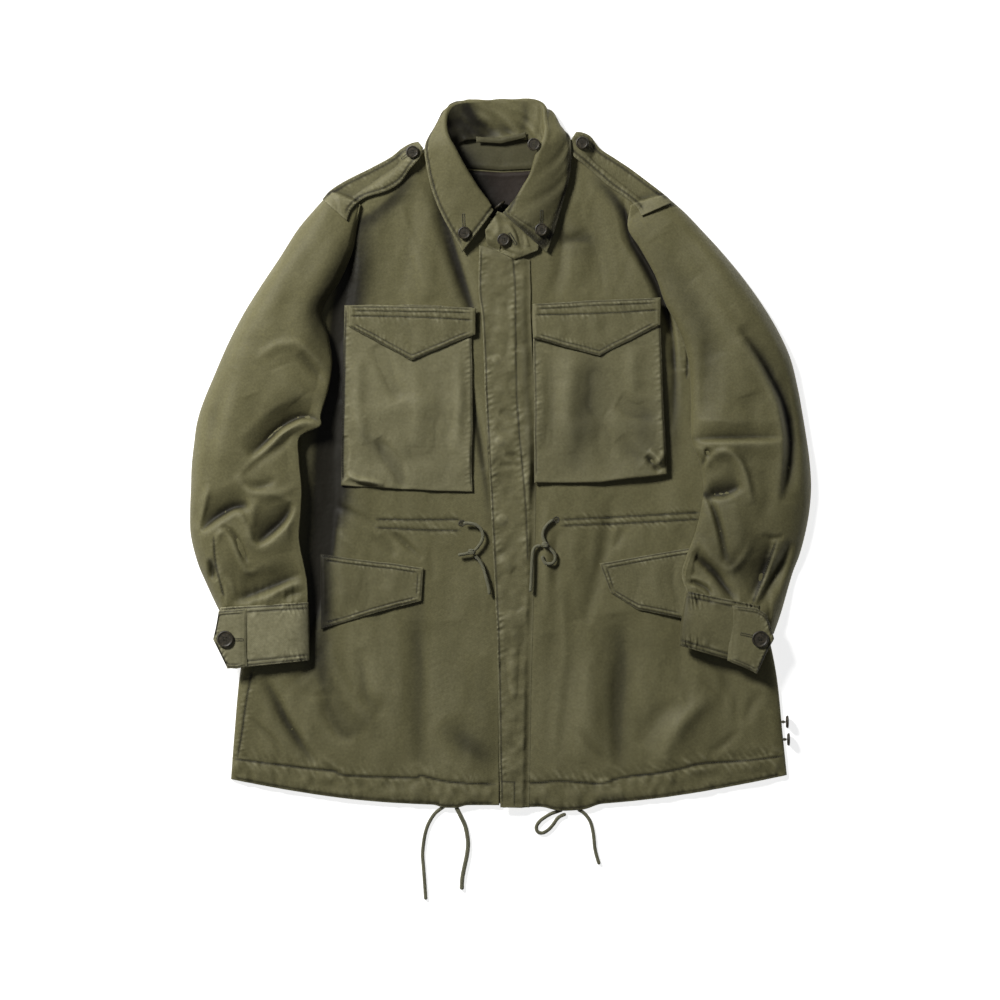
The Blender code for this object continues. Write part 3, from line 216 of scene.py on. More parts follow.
# Sleeves, from the shoulder to the cuff: outer fold, inner fold, crest and inner height.
SLEEVE_RIGHT_ROWS = (
    # outer x, outer y, inner x, inner y, crest, inner height
    (-205, 314, -167, 298, 13, 11),
    (-224, 293, -173, 269, 20, 10),
    (-244, 269, -178, 242, 25.2, 10.5),
    (-265, 236, -192, 209, 29.7, 11.5),
    (-289, 200, -214, 170, 32.4, 12),
    (-310, 166, -206, 139, 34.2, 13),
    (-328, 131, -202, 110, 34.2, 18),
    (-344, 94, -206, 79, 34.2, 22),
    (-358, 60, -215, 47, 34.2, 25),
    (-365, 36, -216, 33, 33.3, 25),
    (-368, 14, -240, 20, 32.4, 26),
    (-371, -13, -241, -7, 31.5, 26),
    (-372, -41, -238, -41, 30.6, 26),
    (-373, -70, -239, -70, 29.7, 25),
    (-372, -98, -241, -101, 28.8, 25),
    (-364, -130, -236, -130, 26.1, 23),
    (-354, -154, -232, -151, 22.5, 20),
    (-343, -181, -230, -174, 21, 17),
)
SLEEVE_LEFT_ROWS = (
    # outer x, outer y, inner x, inner y, crest, inner height
    (197, 310, 155, 298, 13, 12),
    (220, 290, 152, 270, 20, 15),
    (240, 269, 167, 245, 24.3, 16),
    (263, 244, 185, 212, 28.8, 16),
    (288, 214, 196, 181, 31.5, 16),
    (312, 181, 210, 154, 33.3, 16),
    (332, 148, 221, 125, 34.2, 16),
    (347, 115, 226, 94, 34.2, 16),
    (356, 79, 227, 65, 34.2, 17),
    (361, 52, 227, 38, 34.2, 18),
    (366, 22, 228, 14, 33.3, 19),
    (370, -7, 238, -12, 32.4, 19),
    (372, -38, 242, -40, 31.5, 19),
    (370, -67, 239, -67, 30.6, 19),
    (365, -95, 232, -95, 28.8, 18),
    (358, -121, 222, -122, 26.1, 17),
    (349, -145, 216, -145, 22.5, 16),
    (337, -176, 222, -160, 21, 16),
)

# Folds and creases of the sleeves and body.  Each one runs through three or more places.
# height, width on its left, width on its right, places along it
BODY_FOLDS = (
    (-4, 6, 8, ((-287, -266), (-270, -292), (-259, -316), (-244, -340), (-222, -372))),
    (-2, 4, 4, ((-301, -316), (-286, -330), (-270, -347), (-260, -370))),
    (-2.5, 8, 8, ((-217, -283), (-205, -312), (-192, -332), (-175, -338))),
    (-2, 8, 7, ((-102, -211), (-98, -283), (-98, -373))),
    (-3, 9, 9, ((140, -205), (142, -247), (138, -313), (140, -375))),
    (2.5, 10, 9, ((256, -286), (227, -310), (205, -337), (193, -370))),
    (-2.5, 12, 12, ((215, -295), (185, -317), (167, -349))),
    (-2, 7, 7, ((313, -283), (300, -302), (292, -322))),
    (-2.5, 8, 8, ((133, -49), (126, -103), (114, -151), (101, -202))),
    (-2, 5, 5, ((-205, -59), (-179, -70), (-148, -86))),
    (-2.5, 8, 9, ((-76, 290), (-59, 247), (-42, 199), (-32, 175))),
    (-2, 9, 9, ((-109, 311), (-109, 245), (-115, 197))),
    (-2, 5, 5, ((107, 266), (89, 259), (71, 253))),
)

# Collar, from the tip of the right leaf round the back of the neck to the left tip:
# neck seam, roll line and free edge.
COLLAR_STATIONS = (
    # seam x, y, z, roll x, y, z, edge x, y, z
    (-18, 279, 13, -9, 291, 18, -46, 241, 14),
    (-24, 290, 13, -14, 301, 20, -55, 257, 14),
    (-38, 311, 13, -28, 319, 23, -70, 284, 14),
    (-52, 333, 13, -42, 340, 26, -82, 313, 14),
    (-62, 354, 13, -55, 364, 28, -89, 343, 15),
    (-59, 366, 11, -64, 380, 26, -91, 369, 15),
    (-52, 371, 9, -67, 396, 21, -80, 391, 9),
    (-46, 373, 7.5, -65, 413, 15, -67, 410, 4),
    (-38, 375, 6.6, -54, 422, 10.5, -53, 403, 2.0),
    (-20, 377, 6.2, -28, 424, 9.5, -28, 388, 1.4),
    (14, 377, 6.2, 17, 425, 9.5, 16, 388, 1.4),
    (32, 376, 6.6, 43, 424, 10.5, 42, 403, 2.0),
    (40, 374, 7.5, 52, 413, 16, 57, 411, 5),
    (46, 370, 9, 52, 396, 21, 71, 392, 9),
    (54, 365, 11, 53, 379, 26, 83, 378, 14),
    (53, 355, 13, 44, 359, 28, 84, 349, 15),
    (44, 332, 13, 35, 336, 26, 80, 322, 14),
    (31, 309, 13, 22, 314, 23, 72, 293, 14),
    (20, 288, 13, 8, 295, 20, 64, 265, 14),
    (15, 278, 13, 2, 289, 18, 55, 241, 14),
)

# Shoulder straps, from the sleeve to the collar: upper edge and lower edge with heights.
STRAP_RIGHT_ROWS = (
    # upper x, y, z, lower x, y, z
    (-214, 305, 16, -184, 278, 24),
    (-204, 316, 14, -178, 293, 25),
    (-185, 328, 12, -163, 306, 25),
    (-157, 342, 11, -138, 314, 24),
    (-133, 355, 11, -121, 324, 22),
    (-119, 366, 11, -109, 340, 20),
    (-108, 372, 11, -97, 354, 17),
    (-99, 374, 12, -93, 366, 15),
)
STRAP_LEFT_ROWS = (
    # upper x, y, z, lower x, y, z
    (206, 301, 16, 168, 284, 22),
    (197, 310, 14, 162, 296, 22),
    (179, 324, 12, 149, 307, 22),
    (155, 342, 11, 130, 320, 21),
    (137, 354, 11, 116, 332, 19),
    (119, 366, 11, 101, 345, 17),
    (108, 380, 11, 88, 355, 15),
    (98, 385, 12, 82, 362, 14),
    (90, 386, 12, 82, 373, 13.5),
)

# Fly, from the neck to the hem: left and right edges.
FLY_ROWS = (
    # left x, left y, right x, right y
    (-26, 250, 35, 232),
    (-27, 197, 36, 197),
    (-23, 161, 36, 161),
    (-19, 65, 41, 65),
    (-16, 5, 43, 5),
    (-12, -67, 42, -67),
    (-8, -151, 40, -151),
    (-5, -223, 38, -223),
    (-3, -313, 36, -313),
    (-1, -423, 34, -424),
)

# Straight-sided trim: corners and bends of the upper and the lower edge.
POCKET_RIGHT_EDGES = (
    ((-188, 178), (-110, 179), (-34, 175)),
    ((-192, -38), (-110, -43), (-34, -46)),
)
POCKET_LEFT_EDGES = (
    ((38, 178), (115, 181), (190, 184)),
    ((40, -35), (120, -35), (199, -25)),
)
CHEST_FLAP_RIGHT_EDGES = (
    ((-183, 178), (-107, 177), (-30, 174)),
    ((-183, 152), (-107, 112), (-30, 143)),
)
CHEST_FLAP_LEFT_EDGES = (
    ((38, 180), (118, 184), (191, 187)),
    ((38, 138), (118, 117), (191, 154)),
)
THROAT_TAB_EDGES = (
    ((-19, 268), (-3, 291), (16, 284), (45, 252)),
    ((-17, 249), (1, 240), (16, 232), (44, 244)),
)
LOWER_FLAP_RIGHT_EDGES = (
    ((-216, -120), (-155, -128), (-93, -136)),
    ((-215, -210), (-155, -192), (-95, -176)),
)
LOWER_FLAP_LEFT_EDGES = (
    ((118, -131), (176, -121), (236, -111)),
    ((131, -166), (165, -187), (222, -199)),
)

# Cuffs: outer and inner ends of the band at the sleeve and at the hand.
CUFF_RIGHT_ROWS = (
    # outer x, outer y, inner x, inner y
    (-336, -183.5, -230, -177),
    (-332, -221, -229, -213),
    (-328, -257, -229, -247),
)
CUFF_LEFT_ROWS = (
    # outer x, outer y, inner x, inner y
    (309, -181, 222, -163.5),
    (308, -221, 216, -196),
    (302, -255, 213, -229),
)
TAB_RIGHT_EDGES = (
    ((-303, -184), (-322, -186), (-337, -188), (-344, -221)),
    ((-303, -254), (-316, -257), (-327, -256), (-344, -222)),
)
TAB_LEFT_EDGES = (
    ((276, -180), (292, -182), (306, -184), (316, -190), (326, -220)),
    ((270, -247), (286, -253), (298, -258), (305, -262), (326, -221)),
)

# Inside of the neck: upper and lower edges.
NECK_FACING_EDGES = (
    ((-66, 386), (0, 384), (60, 386)),
    ((-60, 343), (0, 340), (58, 343)),
)
NECK_LINING_EDGES = (
    ((-60, 341), (0, 338), (58, 341)),
    ((-30, 262), (0, 258), (30, 262)),
)
HANGER_LOOP_EDGES = (
    ((-30, 380), (0, 378), (30, 386)),
    ((-30, 373), (0, 371), (30, 379)),
)

BUTTONS = (
    # name, x, y, diameter
    ("collar_button_right", -44, 264, SMALL_BUTTON),
    ("collar_button_left", 48, 268, SMALL_BUTTON),
    ("neck_button", 3, 256, SMALL_BUTTON),
    ("strap_button_right", -106, 361, SMALL_BUTTON),
    ("strap_button_left", 97, 372, SMALL_BUTTON),
    ("hood_button", 39, 369, SMALL_BUTTON),
    ("cuff_button_right", -329, -221, CUFF_BUTTON),
    ("cuff_button_left", 309, -221, CUFF_BUTTON),
)
BUTTONS_ON_EDGE = (
    # name, x, y, height it stands on, heading of its face in degrees, shank length
    ("side_button_upper", 341.5, -321, 0, 0, 5.2),
    ("side_button_lower", 343, -342, 0, 0, 5.2),
    ("throat_button", -0.5, 296.5, 5.6, 128, 1.6),
)

# Cords: free routes above the cloth and on the floor.
WAIST_CORD_RIGHT = (
    (-45, -83, 14.2), (-38, -83, 14.6), (-30, -85, 15.2), (-24, -90, 15.4), (-21.5, -98, 15.4),
    (-24, -106, 15.2), (-29, -113, 14.8), (-35, -117.5, 14.6), (-42, -119.5, 14.4),
    (-48, -120.5, 14.2), (-53, -121.5, 14.0),
)
WAIST_TAIL_RIGHT = (
    (-31.5, -121.5, 14.4), (-27, -126, 14.4), (-23, -132, 14.6), (-20, -140, 14.8),
    (-17.5, -149, 15.0), (-15, -159, 15.4), (-13.5, -170, 15.6),
)
WAIST_CORD_LEFT = (
    (62, -79, 14.6), (57, -83, 14.8), (52, -89, 15.0), (50, -96, 15.0), (51.5, -103, 15.0),
    (55.5, -110, 15.0), (60.5, -115, 14.8), (64.5, -120.5, 14.6), (64.5, -127.5, 14.4),
    (60, -131.5, 14.2), (54, -131, 14.0), (50.5, -126.5, 14.0), (49.3, -121, 14.2),
)
WAIST_TAIL_LEFT = (
    (48, -110.5, 15.0), (42.5, -110.5, 15.4), (38.5, -115, 15.6), (37.5, -123, 15.6),
    (37, -133, 15.6), (36.5, -143, 15.6), (36, -154, 15.6), (35, -167, 15.6),
)
HEM_CORD_RIGHT_LONG = (
    (-67, -422, 2.6), (-73, -426, 2.5), (-79, -431, 2.4), (-84, -438, 2.4), (-88, -446, 2.4),
    (-91, -456, 2.4), (-93, -468, 2.4), (-94, -481, 2.4), (-93, -495, 2.4), (-92, -508, 2.4),
    (-91, -522, 2.4), (-90, -537, 2.4),
)
HEM_CORD_RIGHT_SHORT = (
    (-54, -423, 2.8), (-51, -429, 2.8), (-47, -437, 2.8), (-43, -446, 2.8), (-40.5, -457, 2.8),
    (-39.5, -469, 2.8), (-41, -482, 2.8), (-44, -496, 2.8), (-46.5, -510, 2.8), (-47, -525, 2.8),
)
HEM_CORD_LEFT_LOOP = (
    (74, -426.5, 2.4), (67, -429, 2.4), (60, -431.5, 2.4), (53, -435.5, 2.4), (46.5, -440.5, 2.4),
    (42.5, -447, 2.4), (44, -453, 2.4), (50, -454.5, 2.4), (57, -450.5, 2.4), (62.5, -444.5, 2.4),
    (67.5, -437.5, 2.4), (72.5, -433.8, 2.4), (79, -431.5, 2.4),
)
HEM_CORD_LEFT_TAIL = (
    (92, -426, 2.4), (98, -429.5, 2.4), (103.5, -435, 2.4), (107.5, -442, 2.4),
    (110, -451, 2.4), (111.5, -461, 2.4), (112.5, -472, 2.4), (115, -483, 2.4), (118.5, -494, 2.4),
)

# ---------------------------------------------------------------- finer folds and seams
# height, width on its left, width on its right, places along it
FINE_BODY_FOLDS = (
    (2.0, 7, 7, ((55, -55), (53, -127), (56, -199))),
    (-2.5, 4, 4, ((-127, -94), (-112, -109), (-94, -126))),
    (-1.5, 4, 4, ((-145, -97), (-134, -108), (-126, -121))),
    (-2.0, 5, 5, ((145, -89), (142, -100), (136, -113))),
    (1.5, 10, 10, ((-91, 317), (-88, 245), (-79, 185))),
    (-1.5, 12, 12, ((107, 305), (119, 245), (101, 197))),
    (-3.0, 3.5, 5, ((-35, 83), (-31, 53), (-23, 17), (-18, -19))),
    (1.0, 6, 6, ((-48, 96), (-44, 50), (-37, 2), (-32, -40))),
    (-2.0, 14, 18, ((-60, -110), (-66, -170), (-62, -240), (-70, -330))),
    (2.0, 18, 20, ((-150, -200), (-152, -270), (-146, -340))),
    (-2.0, 12, 14, ((60, -215), (72, -280), (66, -370))),
    (2.4, 16, 18, ((92, -200), (104, -280), (96, -370))),
    (-4.0, 22, 26, ((140, -190), (144, -247), (141, -313), (142, -390))),
    (3.2, 16, 18, ((252, -282), (227, -310), (205, -337), (192, -380))),
    (-3.2, 18, 20, ((-100, -200), (-101, -283), (-98, -384))),
    (-3.0, 16, 20, ((-60, -200), (-48, -260), (-44, -320), (-52, -372))),
    (-1.4, 8, 8, ((262, -205), (270, -260), (262, -320))),
    (1.0, 6, 6, ((-230, 110), (-222, 60), (-226, 0), (-236, -60))),
    (-1.2, 7, 7, ((-215, -230), (-235, -262), (-262, -280))),
    (-1.0, 5, 5, ((-80, -98), (-84, -125), (-80, -150))),
    (1.0, 6, 6, ((90, -98), (84, -120), (92, -140))),
    (-1.2, 6, 6, ((212, -88), (224, -104), (236, -118))),
)
BODY_CREASES = (
    (-6.5, 12, 22, ((-178, 286), (-182, 262), (-184, 215), (-192, 150), (-196, 85), (-196, 60))),
    (-7.5, 12, 38, ((-198, 70), (-200, 20), (-200, -40), (-204, -100), (-214, -160), (-226, -200),
                    (-236, -250))),
    (-5.0, 6, 15, ((-90, 344), (-77, 306), (-66, 276), (-54, 234), (-42, 196), (-33, 168), (-27, 138))),
    (3.0, 16, 20, ((-120, 300), (-108, 262), (-96, 220), (-84, 186))),
    (-9.0, 5, 12, ((146, 306), (150, 286), (156, 258), (172, 232), (186, 206), (197, 178), (206, 140),
                   (208, 100))),
    (-3.5, 7, 10, ((206, 137), (208, 90), (206, 29))),
    (-3.0, 14, 12, ((66, 300), (72, 262), (70, 225), (60, 190))),
    (-2.5, 24, 16, ((92, 300), (104, 262), (118, 225), (124, 190))),
    (-3.5, 16, 12, ((-170, -232), (-166, -262), (-160, -292), (-140, -312))),
    (2.5, 12, 12, ((-206, -226), (-196, -262), (-176, -300), (-150, -330))),
    (-2.4, 6, 9, ((-215, -295), (-206, -320), (-194, -338), (-178, -344))),
    (2.5, 10, 14, ((70, -150), (76, -220), (70, -300), (60, -370))),
    (-2.5, 10, 8, ((96, -330), (110, -352), (132, -372))),
    (-2.5, 16, 10, ((240, -236), (262, -262), (280, -292), (284, -330))),
    (-2.0, 8, 8, ((286, -330), (270, -345), (250, -360))),
    (-2.5, 5, 6, ((-139, -91), (-121, -103), (-103, -119))),
    (-2.0, 5, 5, ((-155, -97), (-139, -113), (-127, -122))),
    (2.0, 4, 4, ((-196, -95), (-182, -106), (-172, -118))),

    (-2.5, 14, 10, ((70, 262), (92, 256), (112, 262))),
    (-1.0, 8, 12, ((-287, -262), (-270, -292), (-259, -316), (-244, -340), (-222, -374))),
    (-2.5, 6, 8, ((70, -90), (64, -120), (68, -160))),
)
# Painted shade, as cast shadows and shade in deep folds, in the gaps beside the sleeves, under the straps
# and the collar's leaf and below other pieces: strength, then as above. A row below 0 paints the cloth paler
# instead.
BODY_PAINTED_SHADE = (
    (3.4, 26, 14, ((-170, 290), (-179, 232), (-186, 197), (-192, 167), (-195, 125), (-198, 65),
                   (-202, 17), (-204, -90))),
    (2.4, 20, 26, ((-204, 130), (-207, -10), (-213, -90), (-217, -140), (-220, -190), (-224, -290))),
    (2.2, 5, 8, ((112, 338), (119, 326), (133, 311), (150, 284), (160, 258), (172, 232), (186, 206),
                 (197, 178),
                 (205, 146))),
    (1.6, 6, 12, ((-181, 268), (-165, 280), (-145, 292), (-121, 315), (-104, 345))),
    (1.5, 5, 12, ((-86, 330), (-77, 304), (-65, 272), (-53, 232), (-41, 194), (-32, 164), (-26, 130))),
    (1.3, 3, 5, ((-42, 110), (-33, 50), (-25, 5), (-17, -43), (-13, -90))),
    (-0.3, 70, 70, ((-300, -160), (-180, -250), (-40, -300), (90, -300), (200, -300))),
    (1.1, 16, 14, ((-72, -318), (-48, -342), (-22, -362), (-4, -372))),
    (1.0, 12, 22, ((141, -186), (145, -250), (142, -320), (144, -384))),
    (1.0, 7, 9, ((-287, -268), (-266, -306), (-250, -334), (-226, -372))),
    (1.0, 8, 16, ((-100, -150), (-99, -190), (-97, -250), (-99, -320), (-97, -376))),
    (0.9, 26, 6, ((-222, -215), (-217, -256), (-203, -307), (-184, -336), (-160, -318), (-140, -285))),
    (0.6, 20, 20, ((-20, -240), (-26, -280), (-22, -330), (-14, -372))),
    (0.8, 14, 20, ((66, 250), (80, 262), (100, 256), (118, 246))),
    (1.0, 8, 12, ((206, 130), (209, 80), (207, 20), (205, -30))),
)
# Painted shade beside the fly's seam and under the throat tab: strength, then as above.
PLACKET_PAINTED_SHADE = (
    (0.8, 5, 6, ((26, 210), (29, 140), (32, 60), (37, -10), (42, -60))),
    (0.7, 6, 8, ((-26, 262), (-14, 250), (6, 240))),
)
# Painted shade over the end of the lower flap that lies in the sleeve's shade.
LOWER_FLAP_PAINTED_SHADE = ((2.4, 15, 8, ((-217, -80), (-216, -160), (-216, -250))),)
# Painted shade on the collar's leaves, most on the leaf at +X.
LEAF_PAINTED_SHADE = (
    (0.75, 22, 20, ((78, 370), (68, 335), (56, 300), (42, 266), (34, 240))),
    (0.5, 8, 8, ((-96, 330), (-88, 300), (-76, 268), (-62, 244))),
)
# Painted shade inside the neck, on the facing and the lining below the collar's leaf.
LINING_PAINTED_SHADE = (
    (2.4, 20, 10, ((-66, 384), (-52, 356), (-38, 334), (-22, 306), (-8, 276))),
    (2.0, 14, 18, ((-24, 286), (4, 282), (30, 292))),
)
# Painted shade on the inside of the collar's stand and along its roll.
COLLAR_PAINTED_SHADE = (
    (2.4, 34, 10, ((-58, 450), (-62, 418), (-60, 396), (-54, 372), (-38, 342), (-20, 308), (-6, 284))),
    (1.3, 5, 7, ((-44, 424), (-38, 410), (-30, 398), (-16, 392))),
    (1.0, 5, 5, ((26, 424), (30, 405), (27, 388))),
    (0.9, 12, 4, ((-46, 384), (-10, 382), (30, 386))),
)
# Painted shade on the sleeves: beside the armholes and in the elbow's folds.
SLEEVE_PAINTED_SHADE = {
    "right": (
        (1.3, 13, 14, ((-182, 262), (-190, 232), (-206, 196), (-222, 170), (-218, 140), (-206, 112))),
        (0.5, 22, 8, ((-352, -92), (-334, -78), (-312, -66), (-298, -60))),
        (0.5, 24, 8, ((-292, -100), (-276, -88), (-262, -74), (-252, -60))),
        (0.4, 12, 7, ((-318, -172), (-290, -162), (-262, -154), (-240, -146))),
    ),
    "left": (
        (0.6, 16, 9, ((286, 150), (311, 113), (325, 88), (338, 60), (345, 30), (348, 0), (344, -40))),
        (0.7, 14, 18, ((186, 250), (206, 216), (228, 176), (246, 130), (252, 84), (254, 30))),
        (0.9, 10, 5, ((240, -46), (252, -44), (268, -40), (282, -38))),
        (0.7, 7, 16, ((328, -108), (318, -134), (300, -168))),
        (0.6, 10, 8, ((262, -112), (278, -132), (296, -152))),
        (0.45, 40, 52, ((256, 40), (262, -20), (268, -90), (262, -170), (250, -230))),
    ),
}
# Painted shade on the chest pockets: along the edge beside the gap by the sleeve, and in their folds.
POCKET_PAINTED_SHADE = {
    "right": (
        (0.7, 6, 8, ((-181, 32), (-157, 17), (-133, -7), (-115, -37))),
        (2.4, 3, 6, ((-191, 210), (-190, 100), (-191, 40), (-193, -70))),
    ),
    "left": (
        (0.9, 18, 18, ((112, 130), (106, 90), (98, 40), (90, 0), (86, -28))),
        (0.8, 18, 24, ((178, 70), (172, 20), (176, -26))),
    ),
}
POCKET_RIGHT_FOLDS = (
    (-3, 8.8, 8.8, ((-148, 131), (-136, 98), (-121, 62))),
    (-3.8, 7.5, 7.5, ((-148, 19), (-127, -13), (-115, -43))),
    (2, 11.2, 11.2, ((-108, 112), (-99, 60), (-104, 8))),
    (-1.8, 10, 10, ((-76, 100), (-70, 50), (-72, 2), (-66, -38))),
    (1.8, 7.5, 8.8, ((-170, 120), (-172, 60), (-165, 10))),
    (-3.9, 2.5, 5, ((-186, 22), (-185, 5), (-187, -18), (-184, -30))),
    (3.3, 3.8, 3.8, ((-186, -24), (-172, -31), (-158, -33), (-140, -37))),
    (-3.3, 2.5, 3.8, ((-184, -30), (-168, -37), (-146, -40))),
    (1.8, 6.2, 6.2, ((-52, 120), (-50, 60), (-54, 0))),
    (1.4, 15, 15, ((-180, 60), (-140, 52), (-90, 60), (-46, 50))),
    (-1.2, 11.2, 11.2, ((-180, -2), (-130, -10), (-80, -4), (-44, -12))),
)
POCKET_LEFT_FOLDS = (
    (-2.7, 13, 13, ((113, 125), (119, 41), (133, -31))),
    (-2.4, 12, 9, ((139, 62), (163, 48), (189, 41))),
    (-2.0, 12, 8, ((171, -10), (155, 4), (141, 20))),
    (2.5, 11.7, 11.7, ((86, 128), (80, 60), (84, 0))),
    (-2.2, 9.1, 9.1, ((58, 120), (60, 60), (55, 0))),
    (3.2, 3.9, 3.9, ((176, 4), (186, -4), (194, -16))),
    (-3.6, 3.9, 3.9, ((174, -2), (182, -12), (190, -22))),
    (2.9, 3.9, 3.9, ((178, -14), (188, -10), (196, 2))),
    (2.2, 10.4, 10.4, ((160, 130), (156, 90), (166, 60))),
    (1.6, 14.3, 14.3, ((44, 40), (90, 30), (140, 42), (186, 30))),
)
CHEST_FLAP_FOLDS = (
    (1.4, 9, 9, ((-160, 172), (-150, 158), (-136, 136))),
    (-1.2, 7, 7, ((-128, 170), (-112, 150), (-104, 122))),
    (1.4, 8, 8, ((-76, 170), (-70, 156), (-62, 140))),
    (-1.2, 8, 8, ((68, 176), (78, 156), (84, 134))),
    (1.4, 8, 8, ((104, 178), (112, 156), (118, 128))),
    (-1.2, 7, 7, ((142, 180), (150, 164), (158, 146))),
)
LOWER_FLAP_FOLDS = (
    (1.5, 9, 9, ((-196, -128), (-190, -160), (-196, -198))),
    (-1.4, 7, 7, ((-168, -130), (-162, -158), (-170, -190))),
    (1.5, 10, 10, ((-126, -134), (-132, -160), (-124, -180))),
    (-1.4, 8, 8, ((150, -130), (158, -152), (150, -176))),
    (1.5, 9, 9, ((190, -122), (184, -154), (196, -186))),
    (-1.2, 5, 5, ((210, -120), (206, -150), (214, -188))),
)
FLY_FOLDS = (
    (-2.5, 4.4, 4.4, ((-2, 50), (10, 48), (23, 42))),
    (-2.5, 4.4, 4.4, ((5, 0), (16, -3), (29, -8))),
    (-2.2, 4.4, 4.4, ((-1, -12), (10, -14), (23, -12))),
    (3.3, 8.8, 8.8, ((-2, -124), (8, -133), (16, -140))),
    (-3, 5.5, 5.5, ((19, -138), (26, -141), (33, -146))),
    (-2.2, 6.6, 6.6, ((5, -168), (14, -178), (23, -188))),
    (2.2, 7.7, 7.7, ((12, 190), (14, 140), (11, 95))),
    (-2.1, 5.5, 5.5, ((26, 190), (27, 130), (30, 70))),
    (2.2, 7.7, 7.7, ((16, -210), (14, -280), (17, -350))),
    (-2.1, 5.5, 5.5, ((28, -200), (27, -280), (29, -370))),
    (-2.1, 5.5, 5.5, ((2, -230), (5, -300), (4, -380))),
)
THROAT_FOLDS = (
    (2.2, 3, 5, ((8, 276), (16, 264), (20, 248))),
    (-2.6, 3, 4, ((9, 280), (22, 264), (27, 244))),
    (2.0, 3, 4, ((16, 280), (28, 266), (33, 248))),
    (-2.2, 4, 3, ((-18, 266), (-6, 254), (-6, 242))),
    (2.0, 4, 4, ((-8, 284), (-4, 268), (-12, 254))),
    (-2.2, 3, 4, ((26, 268), (36, 256), (42, 242))),
    (-1.8, 3, 4, ((-4, 288), (4, 280), (14, 281))),
    (1.6, 3, 3, ((4, 246), (14, 244), (26, 240))),
)
THROAT_FLUSH = ((1.2, 8, 8, ((-44, 280), (-25, 252), (-17, 247), (1, 238), (14, 230), (20, 226))),)
# Sharp creases: their widths are where they end.
RIGHT_SLEEVE_CREASES = (
    (3.1, 8, 12, ((-292, 112), (-271, 128), (-253, 132), (-240, 131), (-227, 119), (-212, 106), (-203, 96))),
    (-4.8, 10, 12, ((-240, 122), (-228, 106), (-216, 92), (-206, 84))),
    (-14.5, 24, 7, ((-301, -3), (-283, 13), (-268, 28), (-253, 38), (-238, 44), (-223, 42), (-213, 34))),
    (2.7, 5, 12, ((-318, -32), (-301, -14), (-284, 1), (-268, 17), (-253, 29), (-239, 37), (-227, 40),
                  (-212, 33))),
    (-3.5, 9, 9, ((-310, -28), (-287, -7), (-265, 8), (-247, 23))),
    (2.7, 10, 8, ((-318, -28), (-301, -43), (-289, -48), (-271, -48), (-253, -43), (-238, -34))),
    (-4.3, 10, 6, ((-308, -34), (-294, -40), (-282, -38), (-268, -30))),
    (4.0, 5, 10, ((-348, -36), (-351, -50), (-356, -70), (-362, -92))),
    (-12.8, 30, 9, ((-357, -92), (-342, -79), (-328, -70), (-316, -64), (-300, -60))),
    (4.7, 4, 10, ((-360, -100), (-343, -82), (-328, -72), (-317, -68), (-309, -74), (-301, -91),
                  (-293, -111))),
    (2.7, 8, 8, ((-293, -52), (-296, -70), (-298, -88), (-298, -104))),
    (-13.0, 36, 10, ((-293, -108), (-280, -97), (-266, -85), (-256, -72), (-250, -58))),
    (3.6, 5, 18, ((-296, -112), (-280, -107), (-265, -95), (-253, -82), (-243, -62))),
    (4.3, 5, 6, ((-343, -112), (-338, -98), (-330, -92), (-322, -99), (-317, -110), (-311, -127),
                 (-303, -141),
                 (-290, -138))),
    (-7.6, 5, 7, ((-333, -86), (-319, -97), (-310, -113), (-303, -130))),
    (-9.0, 28, 9, ((-322, -176), (-295, -167), (-271, -157), (-238, -142))),
    (3.6, 5, 6, ((-284, -176), (-265, -163), (-247, -156), (-231, -158))),
    (-9.0, 8, 8, ((-347, -126), (-345, -139), (-346, -151))),
    (-4.8, 6, 5, ((-262, -176), (-250, -168), (-236, -166))),
    (2.5, 6, 6, ((-330, -146), (-321, -160), (-318, -177))),
)
RIGHT_SLEEVE_SWELLS = (
    (-3.0, 9, 9, ((-319, 101), (-335, 65), (-346, 17), (-352, -31))),
    (2.5, 18, 14, ((-262, 250), (-292, 196), (-312, 140), (-326, 70), (-330, 0))),
    (-2.0, 16, 14, ((-216, 250), (-240, 214), (-256, 170), (-262, 140))),
    (-2.5, 14, 14, ((-300, 70), (-288, 44), (-262, 52), (-236, 66))),
    (2.5, 14, 14, ((-262, 104), (-254, 84), (-240, 66))),
    (2.0, 12, 12, ((-272, -60), (-262, -92), (-256, -116))),
)
